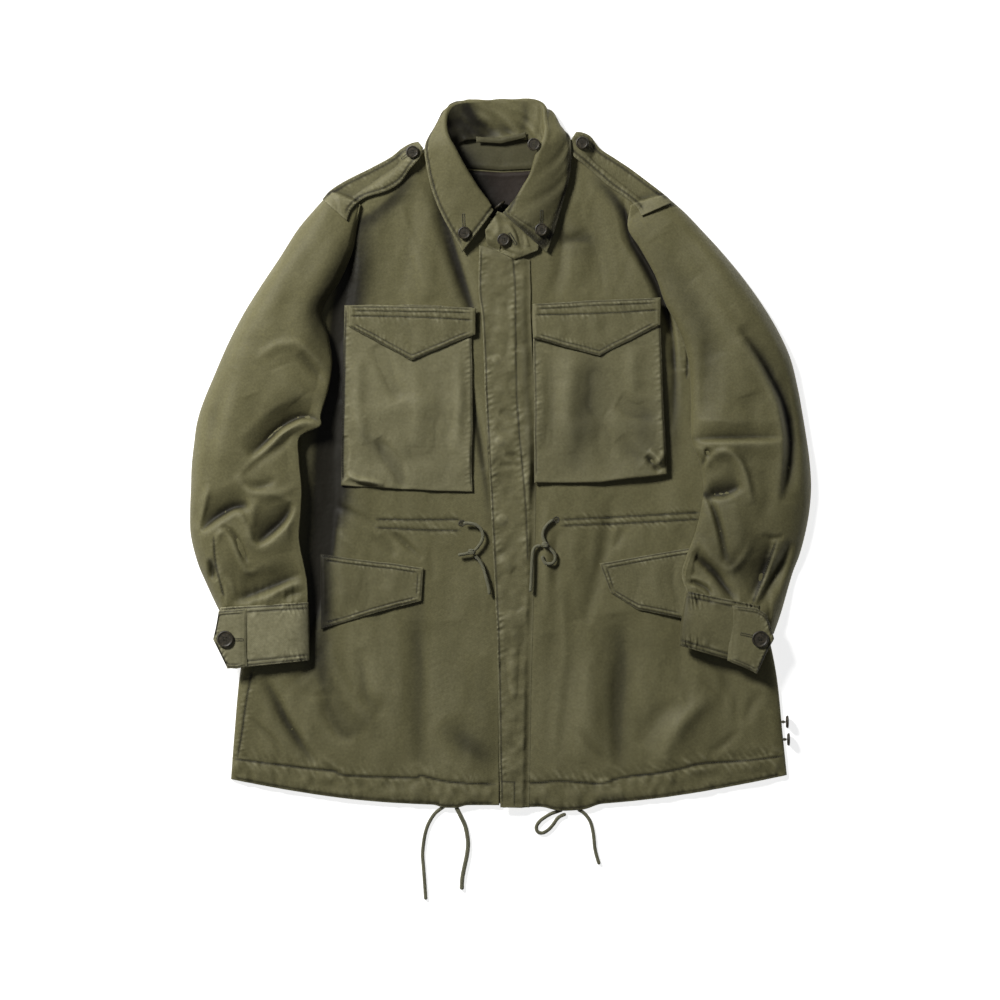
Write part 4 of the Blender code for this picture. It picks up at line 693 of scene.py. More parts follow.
LEFT_SLEEVE_CREASES = (
    (-11.0, 27, 9, ((284, 150), (311, 113), (323, 91), (335, 67), (342, 41), (346, 11), (343, -25),
                    (337, -58))),
    (2.6, 5, 16, ((276, 158), (290, 137), (311, 101), (325, 74), (333, 50), (336, 11), (334, -31),
                  (329, -62))),
    (4.6, 6, 20, ((226, 13), (253, 12), (299, 13), (336, 14))),
    (-6.5, 20, 5, ((224, 17), (258, 19), (300, 19), (338, 19))),
    (2.4, 4, 5, ((228, 6), (238, 7), (250, 7), (256, 4))),
    (-5.4, 4, 4, ((249, 8), (245, -2), (239, -16))),
    (6.0, 5, 13, ((246, -16), (253, -2), (265, 4), (277, 0), (287, -12), (294, -31), (300, -60))),
    (5.0, 5, 6, ((228, 10), (238, 4), (246, -8), (242, -18))),
    (-8.5, 22, 8, ((238, -47), (248, -50), (260, -49), (272, -46), (287, -37))),
    (-6.9, 8, 5, ((240, -46), (251, -61), (258, -79), (265, -109), (268, -130))),
    (2.6, 5, 8, ((238, -100), (253, -125), (265, -136), (277, -137), (292, -118), (300, -96))),
    (-9.8, 14, 8, ((228, -118), (252, -140), (266, -158), (280, -178))),
    (-8.5, 5, 34, ((324, -100), (320, -120), (312, -147), (295, -180))),
    (-9.0, 14, 10, ((346, -104), (337, -128), (322, -156), (306, -186))),
    (2.6, 4, 5, ((220, -146), (232, -148), (244, -152), (254, -160))),
    (-4.8, 4, 4, ((220, -152), (232, -154), (244, -160), (252, -168))),
    (2.4, 4, 4, ((222, -158), (234, -160), (246, -168))),
    (-3.5, 4, 4, ((312, -96), (322, -100), (332, -100), (338, -98))),
)
LEFT_SLEEVE_SWELLS = (
    (-4.0, 12, 16, ((200, 274), (227, 239), (253, 199), (275, 166), (292, 140))),
    (-4.5, 16, 20, ((190, 262), (212, 220), (236, 176), (254, 130), (262, 84), (262, 40))),
    (-2.5, 8, 8, ((245, 137), (244, 89), (243, 41))),
    (2.0, 9, 9, ((262, 120), (266, 80), (262, 36))),
    (2.5, 16, 14, ((232, 210), (262, 168), (286, 120), (300, 70))),
    (-2.0, 12, 12, ((292, 70), (300, 40), (296, 20))),
    (2.0, 9, 9, ((352, 40), (358, 0), (356, -50))),
    (-2.0, 9, 9, ((312, -20), (318, -50), (312, -84))),
    (2.0, 10, 10, ((276, -60), (284, -90), (282, -120))),
)
SLEEVE_ENDS = {
    # outer x, outer y, inner x, inner y, height above the cuff's foot, inner height above it
    "right": ((-341, -182, -231, -175.5, 12.0, 9.0), (-335, -193, -234, -187, 8.6, 7.0)),
    "left": ((336, -190, 222, -165, 12.0, 9.0), (327, -216, 225, -178, 7.6, 7.0)),
}
WAIST_SEAMS = {
    "right": (((-151, -78), (-98, -79), (-47, -78)), ((-151, -88), (-98, -91), (-47, -92))),
    "left": (((71, -79), (150, -75), (239, -70)), ((71, -86), (150, -83), (239, -78))),
}
HEM_SEAMS = {
    "right": (
        (-323, -365), (-277, -371), (-229, -377), (-199, -380), (-187, -385), (-106, -388),
        (-97, -385), (-73, -391), (-49, -394), (-5, -396),
    ),
    "left": (
        (2, -389), (23, -395), (71, -392), (119, -395), (143, -388), (185, -383), (215, -377),
        (239, -371), (287, -368), (341, -362),
    ),
}
SIDE_SEAM = ((-298, -259), (-305, -295), (-311, -337), (-316, -364))
ARMHOLE_SEAM = ((185, 230), (200, 197), (215, 161), (223, 127), (222, 89))
WELT_SEAMS = {
    "right": ((-181, 165), (-107, 164), (-33, 160)),
    "left": ((40, 166), (118, 168), (189, 172)),
}
SLIT_SEAMS = {
    "right": ((-343, -98), (-341, -130), (-331, -172)),
    "left": ((329, -103), (316, -140), (300, -180)),
}
SNAPS = ((-4.8, 113, 8.0, 1.6), (-1.2, 15, 8.4, 2.4), (1.2, -79, 9.6, 2.6))   # x, y, radius, height
EYELETS = {"right": ((-47, -83),), "left": ((66, -79),)}
BUTTONHOLES = (
    # x, y, heading in degrees, length
    (-44.5, 279, 92, 15), (48.5, 283, 88, 15), (14, 257, -58, 15), (-318, -222, 0, 20),
    (296, -217, -12, 20), (-113, 357, 35, 13), (105, 367, -38, 13),
)

# ---------------------------------------------------------------- curves and grids
def through(rows: Array, places: Array) -> Array:
    """Values on a smooth curve through table rows.

    Args:
        rows: The table, a row for each place 0, 1, 2 and so on.
        places: Where to read the curve, counted in rows.

    Returns:
        A row of values for each place.
    """
    rows = np.asarray(rows, float)
    last = len(rows) - 1
    places = np.clip(np.asarray(places, float), 0.0, last)
    index = np.minimum(places.astype(int), last - 1)
    part = (places - index)[:, None]
    slope = np.gradient(rows, axis=0)
    start, end = rows[index], rows[index + 1]
    leave, arrive = slope[index], slope[index + 1]
    return (
        (2 * part**3 - 3 * part**2 + 1) * start
        + (part**3 - 2 * part**2 + part) * leave
        + (-2 * part**3 + 3 * part**2) * end
        + (part**3 - part**2) * arrive
    )


def even(table: Iterable, count: int) -> Array:
    """A smooth curve through the table, as count evenly placed rows."""
    rows = np.asarray(table, float)
    return through(rows, np.linspace(0, len(rows) - 1, count))


def bent(points: Iterable, shares: Array) -> Array:
    """Straight runs between points, read at shares of their length, with every bend kept.

    Args:
        points: Corners and bends of the edge.
        shares: Rising places from 0 to 1.

    Returns:
        A point for each share.
    """
    points = np.asarray(points, float)
    run = np.r_[0, np.cumsum(np.linalg.norm(np.diff(points, axis=0), axis=1))]
    places = np.asarray(shares) * run[-1]
    for mark in run[1:-1]:
        places[np.argmin(abs(places - mark))] = mark
    return np.stack([np.interp(places, run, points[:, k]) for k in range(points.shape[1])], axis=1)


def bell(away: Array, width: float) -> Array:
    """1 at a line, fading softly over a width on both sides of it."""
    return np.exp(-((away / width) ** 2))


def stepped(length: float, step: float) -> Array:
    """Shares of a length at an even step, crowded into rings at both ends.

    Args:
        length: The length.
        step: Distance between places away from the rings.

    Returns:
        Rising shares from 0 to 1.
    """
    count = max(2, round((length - 2 * RIM[-1]) / step) + 1)
    inner = np.linspace(RIM[-1], length - RIM[-1], count)
    return np.concatenate([RIM[:-1], inner, length - np.array(RIM[-2::-1])]) / length


def ruled(first: Array, second: Array, across: Array) -> Array:
    """Plan of a sheet ruled from one edge to the other: rows along, columns across."""
    share = np.asarray(across)[None, :, None]
    return first[:, None, :2] * (1 - share) + second[:, None, :2] * share


def unit(vectors: Array) -> Array:
    """The vectors at length 1."""
    return vectors / np.maximum(np.linalg.norm(vectors, axis=-1, keepdims=True), SMALLEST)


def run_along(surface: Array, axis: int) -> Array:
    """Distance of each point of a grid from the grid's first edge, along the cloth.

    Args:
        surface: Grid of points.
        axis: 0 to measure down the rows, 1 to measure across the columns.

    Returns:
        A distance for each point.
    """
    steps = np.linalg.norm(np.diff(surface, axis=axis), axis=-1)
    start = np.zeros_like(np.take(steps, [0], axis=axis))
    return np.concatenate([start, np.cumsum(steps, axis=axis)], axis=axis)


def rim_distance(surface: Array) -> Array:
    """Distance of each point of a grid from the nearest of its four edges."""
    across, along = run_along(surface, 1), run_along(surface, 0)
    return np.minimum.reduce([across, across[:, -1:] - across, along, along[-1:] - along])


def turned_down(distance: Array, rounding: float) -> Array:
    """1 well inside an edge, falling to 0 at it along a quarter ellipse."""
    return np.sqrt(1 - (1 - np.clip(distance / rounding, 0, 1)) ** 2)


def side_line(surface: Array, side: str, inset: float) -> Array:
    """A line inside one side of a grid, at an even distance from it.

    Args:
        surface: Grid of points.
        side: "high" or "low" for the first or last column, "start" or "end" for the rows.
        inset: Distance from the side, also left free at both ends of the line.

    Returns:
        Points along the line.
    """
    grid = surface if side in ("high", "low") else np.swapaxes(surface, 0, 1)
    if side in ("low", "end"):
        grid = grid[:, ::-1]
    inwards = run_along(grid, 1)
    line = np.array([
        [np.interp(inset, away, points[:, k]) for k in range(points.shape[1])]
        for away, points in zip(inwards, grid)
    ])
    run = run_along(line[None], 1)[0]
    return line[(run >= inset) & (run <= run[-1] - inset)]


@dataclass(frozen=True)
class Beside:
    """Where the places of a grid lie beside a path.

    picked are their flat indices, away their distance, left whether they lie on the
    path's left, run how far along it they are, and length the path's length.
    """

    picked: Array
    away: Array
    left: Array
    run: Array
    length: float


def beside(plan: Array, path: Array, reach: float) -> Beside:
    """Measure the places of a grid that lie near a path.

    Args:
        plan: Grid of places.
        path: Points of the path.
        reach: Distance beyond which places are left out.

    Returns:
        What was measured.
    """
    flat = plan.reshape(-1, 2)
    low, high = path.min(axis=0) - reach, path.max(axis=0) + reach
    picked = np.flatnonzero(((flat > low) & (flat < high)).all(axis=1))
    spots = flat[picked]
    away = np.full(len(spots), FAR)
    left, run, done = np.zeros(len(spots), bool), np.zeros(len(spots)), 0.0
    for start, step in zip(path[:-1], np.diff(path, axis=0)):
        length = float(np.hypot(*step))
        part = np.clip((spots - start) @ step / max(length**2, SMALLEST), 0, 1)
        offset = spots - start - part[:, None] * step
        distance = np.hypot(offset[:, 0], offset[:, 1])
        closer = distance < away
        away[closer] = distance[closer]
        left[closer] = (step[0] * offset[:, 1] - step[1] * offset[:, 0])[closer] > 0
        run[closer] = (done + part * length)[closer]
        done += length
    return Beside(picked, away, left, run, done)


def eased(values: Array, rounds: int) -> Array:
    """Smooth a grid's values.

    Args:
        values: The values.
        rounds: How often each is averaged with its neighbours.

    Returns:
        The smoothed values.
    """
    for _ in range(rounds):
        for axis in (0, 1):
            ends = ((1, 1), (0, 0)) if axis == 0 else ((0, 0), (1, 1))
            wide = np.pad(values, ends, mode="edge")
            low, high = (wide[:-2], wide[2:]) if axis == 0 else (wide[:, :-2], wide[:, 2:])
            values = (low + 2 * values + high) / 4
    return values


def noise(x: Array, y: Array, seed: int) -> Array:
    """Smooth noise with cells of size 1, the same at each run.

    Args:
        x: Places across.
        y: Places along.
        seed: Which pattern.

    Returns:
        Values from -1 to 1.
    """
    left, low = np.floor(x).astype(np.int64), np.floor(y).astype(np.int64)
    u, v = x - left, y - low
    u, v = u * u * (3 - 2 * u), v * v * (3 - 2 * v)

    def corner(i: Array, j: Array) -> Array:
        """Scrambled value at a lattice point.

        Args:
            i: Column of the grid.
            j: Row of it.

        Returns:
            The random height there, between -1 and 1.
        """
        mixed = (i * SCRAMBLE[0] + j * SCRAMBLE[1] + seed * SCRAMBLE[2]) & WORD
        mixed = ((mixed ^ (mixed >> 13)) * SCRAMBLE[3]) & WORD
        return (mixed ^ (mixed >> 16)) / (WORD // 2) - 1

    bottom = corner(left, low) * (1 - u) + corner(left + 1, low) * u
    top = corner(left, low + 1) * (1 - u) + corner(left + 1, low + 1) * u
    return bottom * (1 - v) + top * v


def slack(plan: Array, seed: int, amount: float = 1.0, stretch: float = 1.0) -> Array:
    """Uneven lie of loose cloth, in mm, the same at each run.

    Args:
        plan: Grid of places.
        seed: Which pattern.
        amount: Share of the usual height.
        stretch: How much longer the unevenness is in y than in x.

    Returns:
        Heights.
    """
    x, y = plan[..., 0] * stretch**0.5, plan[..., 1] / stretch**0.5
    total = sum(
        height * noise(x / size + seed, y / size - seed, seed + turn)
        for turn, (size, height) in enumerate(SLACK)
    )
    return amount * total


# ---------------------------------------------------------------- folds and seams
def wrinkled(plan: Array, table: Places, seed: int) -> Array:
    """Relief of crumpled cloth.

    Args:
        plan: Grid of places.
        table: Rows of height, width and length of the wrinkles.
        seed: Which pattern.

    Returns:
        Heights.
    """
    x, y = plan[..., 0], plan[..., 1]
    return sum(
        height * noise(x / wide, y / long, seed + turn) for turn, (height, wide, long) in enumerate(table)
    )


@dataclass(frozen=True)
class Fold:
    """A soft ridge, or a trough where its height is below 0."""

    height: float
    left: float
    right: float
    places: Places

    def relief(self, plan: Array, crisp: bool) -> tuple[Array, Array]:
        """Indices of the places that it moves, and by how much.

        Args:
            plan: Grid of places.
            crisp: Whether it is a sharp crease, which ends at its widths.

        Returns:
            Flat indices and heights.
        """
        path = even(self.places, 4 * len(self.places))
        near = beside(plan, path, (1.0 if crisp else FOLD_REACH) * max(self.left, self.right))
        share = near.away / np.where(near.left, self.left, self.right)
        profile = np.clip(1 - share, 0, 1) ** CREASE_POWER if crisp else np.exp(-(share**2))
        fade = np.sin(np.pi * near.run / near.length).clip(0) ** FOLD_FADE
        return near.picked, self.height * profile * fade


def folded(plan: Array, table: Iterable, crisp: bool = False) -> Array:
    """Height that a table's folds add at each place.

    Args:
        plan: Grid of places.
        table: Rows of folds.
        crisp: Whether they are sharp creases.

    Returns:
        Heights.
    """
    total = np.zeros(plan[..., 0].size)
    for row in table:
        picked, height = Fold(*row).relief(plan, crisp)
        total[picked] += height
    return total.reshape(plan.shape[:2])


@dataclass(frozen=True)
class Seam:
    """A stitched line: a groove with puckers on both sides.

    groove and groove_width shape the line, pucker and reach the ripples beside it, pitch
    is the ripples' spacing and lean how far they slant.  thread is the pitch of its
    stitches, 0 for none, and curved tells a smooth line from a bent one.
    """

    places: Places
    groove: float = 0.5
    groove_width: float = 1.7
    pucker: float = 0.35
    reach: float = 6.0
    pitch: float = 7.0
    lean: float = 0.35
    thread: float = STITCH_PITCH
    curved: bool = True

    def path(self) -> Array:
        """Points along the seam in plan."""
        points = np.asarray(self.places, float)[:, :2]
        return even(points, 3 * len(points)) if self.curved else points


SEAM_FELT = 2.4                     # reaches from a seam beyond which nothing of it is left
RIPPLE_DRIFT = (3.4, 2.3)           # how far the ripples drift, and pitches between changes
RIPPLE_STRENGTH = (0.65, 0.5, 1.7)  # mean, spread and pitches between changes
RIPPLE_SHAPE = (0.55, 0.9, 1.7)     # even and uneven share, and how fine the uneven one is
RIPPLE_START = (0.35, 0.25)         # where ripples are full, in reaches, and least at the line
SEAM_PALE = 0.8                     # how pale the ripples' crests are: wear and painted highlight
SEAM_SHADE = (1.3, 0.4)              # painted shade in the line's groove and in the ripples' troughs
BOSS_DOME = 0.7
BOSS_RING = (0.25, 0.35)            # height and width of the ring round a boss
BOSS_WEAR = (0.3, 0.6, 0.2)         # strength, place and width of its pale rim
FADE_OUT = (0.5, 0.8)               # how pale what stands out gets, and at most
# most painted shade in a dip
DIP_SHADE_MOST = 1.2
TONE_LIMIT = 3.0


@dataclass
class Dressing:
    """What seams and wear do to a grid of cloth: relief, pale wear and dark grime."""

    relief: Array
    wear_and_painted_light: Array
    painted_shade: Array

    @classmethod
    def plain(cls, plan: Array) -> "Dressing":
        """A dressing that changes nothing yet."""
        return cls(*(np.zeros(plan.shape[:2]) for _ in range(3)))

    def sew(self, plan: Array, seam: Seam, seed: int = 1) -> None:
        """Add one seam.

        Args:
            plan: Grid of places.
            seam: The stitched line.
            seed: Which of the uneven patterns its puckers take.
        """
        near = beside(plan, seam.path(), SEAM_FELT * seam.reach)
        if not len(near.picked):
            return
        side = np.where(near.left, 1.0, -1.0)
        phase = (near.run + seam.lean * near.away * side) / seam.pitch
        drift, drift_pitch = RIPPLE_DRIFT
        mean, spread, spread_pitch = RIPPLE_STRENGTH
        wave, crumple, crumple_pitch = RIPPLE_SHAPE
        uneven = noise(near.run / (drift_pitch * seam.pitch), side * 3.0 + seed, seed)
        strength = mean + spread * noise(near.run / (spread_pitch * seam.pitch), side * 5.0, seed + 7)
        rough = noise(crumple_pitch * phase, side * 9.0 + near.away / 9, seed + 3)
        ripple = (wave * np.sin(2 * np.pi * phase + drift * uneven) + crumple * rough) * strength
        flat, least = RIPPLE_START
        envelope = bell(near.away, seam.reach) * np.clip(near.away / (flat * seam.reach), least, 1)
        ends = np.clip(np.minimum(near.run, near.length - near.run) / seam.reach, 0, 1)
        line = bell(near.away, seam.groove_width)
        groove_shade, trough_shade = SEAM_SHADE
        self.relief.flat[near.picked] += (seam.pucker * ripple * envelope - seam.groove * line) * ends
        # pale crests are wear and painted highlight; the groove and the troughs get painted shade
        self.wear_and_painted_light.flat[near.picked] += np.clip(ripple, 0, 1) * envelope * SEAM_PALE * ends
        shade_here = groove_shade * line + trough_shade * np.clip(-ripple, 0, 1) * envelope
        self.painted_shade.flat[near.picked] += shade_here * ends

    def sew_all(self, plan: Array, seams: Iterable[Seam], seed: int) -> None:
        """Add some seams, each with a pattern of its own, from a seed on."""
        for turn, seam in enumerate(seams):
            self.sew(plan, seam, seed + turn)

    def fade(self, top: Array, step: float) -> None:
        """Bleach what stands out and keep the dye where the cloth dips.

        Args:
            top: Heights of the cloth.
            step: Spacing of its grid.
        """
        level = eased(top, round((FADE_REACH / step) ** 2))
        out = (top - level) / FADE_HEIGHT
        pale, most = FADE_OUT
        self.wear_and_painted_light += pale * np.clip(out, 0, most)
        self.painted_shade += np.clip(-out, 0, DIP_SHADE_MOST)

    def deepen(self, creases: Array, depth: float, start: float) -> None:
        """Keep the dye in creases of at least a share of a depth."""
        self.painted_shade += CREASE_SHADE * np.clip(-creases / depth - start, 0, 1)

    def tone(self, plan: Array, table: Places) -> None:
        """Keep the cloth dark along a table of folds, or pale where they are below 0.

        Args:
            plan: Grid of places.
            table: Rows of folds.
        """
        strength = folded(plan, table)
        self.painted_shade += np.clip(strength, 0, TONE_LIMIT)
        self.wear_and_painted_light += np.clip(-strength, 0, 1)

    def press(self, plan: Array, x: float, y: float, radius: float, height: float) -> None:
        """Add a round boss with a shallow ring, as a snap shows through cloth.

        Args:
            plan: Grid of places.
            x: Its middle, across.
            y: Its middle, along.
            radius: Its radius.
            height: Its height.
        """
        away = np.hypot(plan[..., 0] - x, plan[..., 1] - y) / radius
        ring, ring_width = BOSS_RING
        pale, rim, rim_width = BOSS_WEAR
        dome = np.exp(-((away / BOSS_DOME) ** 4))
        self.relief += height * (dome + ring * bell(away - 1, ring_width))
        self.wear_and_painted_light += pale * bell(away - rim, rim_width)


# ---------------------------------------------------------------- the pile
@dataclass
class Pile:
    """A height map of the pieces laid down so far, on square cells of the floor."""

    low: tuple[float, float] = (-400.0, -570.0)
    high: tuple[float, float] = (400.0, 460.0)
    cell: float = 0.8
    level: Array = field(init=False)

    def __post_init__(self) -> None:
        """Start with the bare floor, which counts as just below 0."""
        across = round((self.high[0] - self.low[0]) / self.cell)
        down = round((self.high[1] - self.low[1]) / self.cell)
        self.level = np.full((down, across), -1.0)

    def height(self, plan: Array) -> Array:
        """Height of the pile at each place, read between cells.

        Args:
            plan: Places, x and y in their last axis.

        Returns:
            Heights in mm, below 0 on the bare floor.
        """
        x = (plan[..., 0] - self.low[0]) / self.cell - 0.5
        y = (plan[..., 1] - self.low[1]) / self.cell - 0.5
        x = np.clip(x, 0, self.level.shape[1] - 2)
        y = np.clip(y, 0, self.level.shape[0] - 2)
        i, j = x.astype(int), y.astype(int)
        u, v = x - i, y - j
        bottom = self.level[j, i] * (1 - u) + self.level[j, i + 1] * u
        top = self.level[j + 1, i] * (1 - u) + self.level[j + 1, i + 1] * u
        return bottom * (1 - v) + top * v

    def lay(self, *surfaces: Array) -> None:
        """Add grids of points to the map, cell by cell."""
        for surface in surfaces:
            widest = max(
                np.linalg.norm(np.diff(surface[..., :2], axis=0), axis=-1).max(),
                np.linalg.norm(np.diff(surface[..., :2], axis=1), axis=-1).max(),
            )
            parts = max(1, math.ceil(widest / (0.8 * self.cell)))
            a, b = surface[:-1, :-1], surface[:-1, 1:]
            c, d = surface[1:, :-1], surface[1:, 1:]
            for u in np.arange(parts + 1) / parts:
                for v in np.arange(parts + 1) / parts:
                    spots = (a * (1 - u) + b * u) * (1 - v) + (c * (1 - u) + d * u) * v
                    i = ((spots[..., 0] - self.low[0]) / self.cell).astype(int).ravel()
                    j = ((spots[..., 1] - self.low[1]) / self.cell).astype(int).ravel()
                    np.maximum.at(self.level, (j, i), spots[..., 2].ravel())


def draped(ground: Array, sag: float, rounds: int) -> Array:
    """Heights of cloth pulled soft over the ground, sagging where nothing holds it.

    Args:
        ground: Lowest height that the cloth may have at each grid point.
        sag: How far it falls in each round where it is free.
        rounds: How often it is relaxed.

    Returns:
        Heights of the relaxed cloth.
    """
    level = np.full(ground.shape, ground.max())
    for _ in range(rounds):
        wide = np.pad(level, 1, mode="edge")
        mean = (wide[:-2, 1:-1] + wide[2:, 1:-1] + wide[1:-1, :-2] + wide[1:-1, 2:]) / 4
        level = np.maximum(ground, mean - sag)
    return level


# ---------------------------------------------------------------- meshes
def wall_mesh(name: str, upper: Array, lower: Array, stride: int = 1) -> bpy.types.Mesh:
    """A closed wall between two grids whose outermost rings coincide.

    Args:
        name: Name of the mesh.
        upper: Rows and columns of points of the upper face, in mm.
        lower: The same for the lower face.
        stride: How much coarser the lower face is away from its rim.

    Returns:
        The mesh, with a UV map along the cloth.
    """
    rows, columns = upper.shape[:2]
    band = 2
    index = np.arange(rows * columns).reshape(rows, columns)
    down = np.unique([*range(band, rows - 1 - band, stride), rows - 1 - band])
    right = np.unique([*range(band, columns - 1 - band, stride), columns - 1 - band])
    kept = np.zeros((rows, columns), bool)
    kept[np.ix_(down, right)] = True
    for edge in (slice(0, band + 1), slice(-band - 1, None)):
        kept[edge, :] = True
        kept[:, edge] = True
    ring = np.ones((rows, columns), bool)
    ring[1:-1, 1:-1] = False
    own = kept & ~ring
    below = np.where(ring, index, -1)
    below[own] = rows * columns + np.arange(own.sum())
    points = np.concatenate([upper.reshape(-1, 3), lower[own]])

    quads = np.stack([index[:-1, :-1], index[:-1, 1:], index[1:, 1:], index[1:, :-1]], axis=-1)
    faces = quads.reshape(-1, 4).tolist()
    row, column = np.mgrid[0:rows - 1, 0:columns - 1]
    rimmed = np.minimum.reduce([row, rows - 2 - row, column, columns - 2 - column]) < band
    under = np.stack([below[:-1, :-1], below[1:, :-1], below[1:, 1:], below[:-1, 1:]], axis=-1)
    faces += under[rimmed].tolist()
    for r0, r1 in zip(down[:-1], down[1:]):
        for c0, c1 in zip(right[:-1], right[1:]):
            left_side = below[r0:r1 + 1, c0] if c0 == right[0] else below[[r0, r1], c0]
            far_side = below[r1, c0:c1 + 1] if r1 == down[-1] else below[r1, [c0, c1]]
            right_side = below[r0:r1 + 1, c1] if c1 == right[-1] else below[[r0, r1], c1]
            near_side = below[r0, c0:c1 + 1] if r0 == down[0] else below[r0, [c0, c1]]
            loop = [*left_side[:-1], *far_side[:-1], *right_side[:0:-1], *near_side[:0:-1]]
            faces.append([int(corner) for corner in loop])
    centre = (upper + lower) / 2
    flat = np.stack([run_along(centre, 1), run_along(centre, 0)], axis=-1)
    return closed_mesh(name, points, faces, np.concatenate([flat.reshape(-1, 2), flat[own]]))


def closed_mesh(name: str, points: Array, faces: list, flat: Array) -> bpy.types.Mesh:
    """A smooth closed mesh with its faces outwards and a UV map in metres.

    Args:
        name: Name of the mesh.
        points: Its points, in mm.
        faces: For each face the indices of its points.
        flat: For each point its place on the laid-out cloth, in mm.

    Returns:
        The mesh.
    """
    mesh = bpy.data.meshes.new(name)
    mesh.from_pydata((points.reshape(-1, 3) * MM).tolist(), [], faces)
    if signed_volume(mesh) < 0:
        mesh.flip_normals()
    mesh.shade_smooth()
    corners = np.empty(len(mesh.loops), int)
    mesh.loops.foreach_get("vertex_index", corners)
    places = (flat * MM)[corners].ravel().astype(np.float32)
    mesh.uv_layers.new(name="cloth").uv.foreach_set("vector", places)
    return mesh


def signed_volume(mesh: bpy.types.Mesh) -> float:
    """Volume of a closed mesh, below 0 where its faces point inwards.

    Args:
        mesh: The mesh.

    Returns:
        Its volume in cubic metres.
    """
    mesh.calc_loop_triangles()
    corners = np.empty(len(mesh.loop_triangles) * 3, int)
    mesh.loop_triangles.foreach_get("vertices", corners)
    places = np.empty(len(mesh.vertices) * 3)
    mesh.vertices.foreach_get("co", places)
    a, b, c = places.reshape(-1, 3)[corners.reshape(-1, 3)].transpose(1, 0, 2)
    return float((a * np.cross(b, c)).sum() / 6)


def paint(mesh: bpy.types.Mesh, name: str, values: Array) -> None:
    """Store a mask on a mesh's points.

    Args:
        mesh: The mesh.
        name: Name of the mask.
        values: Its values; points beyond them get 0.
    """
    layer = mesh.attributes.new(name, "FLOAT", "POINT")
    full = np.zeros(len(mesh.vertices), np.float32)
    full[:values.size] = np.clip(values, 0, DARKEST).ravel()
    layer.data.foreach_set("value", full)


def show(name: str, mesh: bpy.types.Mesh, look: bpy.types.Material, node: str = "") -> bpy.types.Object:
    """Link a finished piece that rides on the jacket.

    Args:
        name: Name of the piece.
        mesh: Its mesh.
        look: Its material.
        node: The solid that it stands for, if it stands for one.

    Returns:
        The linked object.
    """
    LOG.info("%s made", name)
    made = bpy.data.objects.new(name, mesh)
    mesh.materials.append(look)
    bpy.context.scene.collection.objects.link(made)
    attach(made, BODY)
    if node:
        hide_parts(node)
    return made


@dataclass
class Sheet:
    """One piece of cloth: a grid with an upper face and a wall beneath it."""

    node: str
    plan: Array
    top: Array
    wall: float
    dressing: Dressing
    rests_on: tuple[str, ...] = ("floor",)
    edge_wear: float = 0.35

    def surface(self) -> Array:
        """Points of the upper face."""
        return np.dstack([self.plan, self.top])

    def build(self, look: bpy.types.Material, stride: int = UNDER_STRIDE) -> bpy.types.Object:
        """Make the piece with its rounded rim and declare its cut.

        Args:
            look: The cloth's material.
            stride: How much coarser the underside is.

        Returns:
            The finished object.
        """
        surface = self.surface()
        normal = np.cross(np.gradient(surface, axis=0), np.gradient(surface, axis=1))
        tilt = np.linalg.norm(normal, axis=-1) / np.maximum(abs(normal[..., 2]), 1e-6)
        bottom = np.maximum(self.top - self.wall * np.minimum(tilt, STEEPEST_WALL), 0)
        away = rim_distance(surface)
        round_off = turned_down(away, RIM_ROUNDING * self.wall)
        middle = (self.top + bottom) / 2
        upper = np.dstack([self.plan, middle + (self.top - middle) * round_off])
        lower = np.dstack([self.plan, middle - (middle - bottom) * round_off])
        mesh = wall_mesh(self.node + "_cloth", upper, lower, stride)
        paint(mesh, "wear_and_painted_light", self.dressing.wear_and_painted_light + self.edge_wear * bell(away, EDGE_BAND))
        paint(mesh, "painted_shade", self.dressing.painted_shade)
        made = show(self.node + "_cloth", mesh, look, self.node)
        declare_cloth(made, surface)
        return made


def declare_cloth(made: bpy.types.Object, surface: Array) -> None:
    """State a piece's flat cut, measured along its own cloth.

    Args:
        made: The finished piece.
        surface: Grid of points through its cloth, in mm.
        rests_on: Names of what it lies on.
    """
    width = max(run_along(surface, 1)[:, -1].max(), TURNED_IN_TAPE) * MM
    length = run_along(surface, 0)[-1].max() * MM
    first = surface[1:, 1:] - surface[:-1, :-1]
    second = surface[1:, :-1] - surface[:-1, 1:]
    area = np.linalg.norm(np.cross(first, second), axis=-1).sum() / 2 * MM**2
    area = min(area, width * length)
    LOG.info("%s: cut %.0f by %.0f mm, %.4f m2", made.name, width / MM, length / MM, area)


# ---------------------------------------------------------------- finishes
@dataclass(frozen=True)
class Grain:
    """One size of unevenness: cells in a metre, detail, and the factor it is turned into."""

    scale: float
    detail: float
    gain: float = 1.0
    base: float = 0.0


BROAD_DYE = Grain(7.0, 3.0, 0.30, 0.85)
MOTTLED_DYE = Grain(42.0, 4.0, 0.20, 0.90)
FLECKED_DYE = Grain(420.0, 3.0, 0.36, 0.82)
RUBBED_PATCH = Grain(150.0, 5.0)
RUBBED_AREA = Grain(11.0, 2.0)
RUBBED_PALER = 0.12
RUBBED_ROUGHER = 0.16
PATCH_RANGE = (0.52, 0.72)
AREA_RANGE = (0.42, 0.66)
PATCHY_WEAR_AND_SHADE = Grain(190.0, 4.0, 1.5, 0.1)
WORN_SHARE = 0.75
PAINTED_SHADE_SPREAD = (0.4, 0.55)
PAINTED_SHADE_DARKENS = -0.42
LEAST_SHADE = 0.16        # how much of its colour the cloth keeps under the strongest painted shade
DEEP_RANGE = (0.45, -0.3)
CRUMPLE_WIDE = Grain(60.0, 2.0, 0.8)
CRUMPLE_FINE = Grain(210.0, 2.0, 0.28)
SLUBS = Grain(420.0, 3.0, 0.34, 0.78)
RIB_HEIGHT = 0.06
RIB_SHADE = 0.10
TWILL_DEPTH = 0.0009
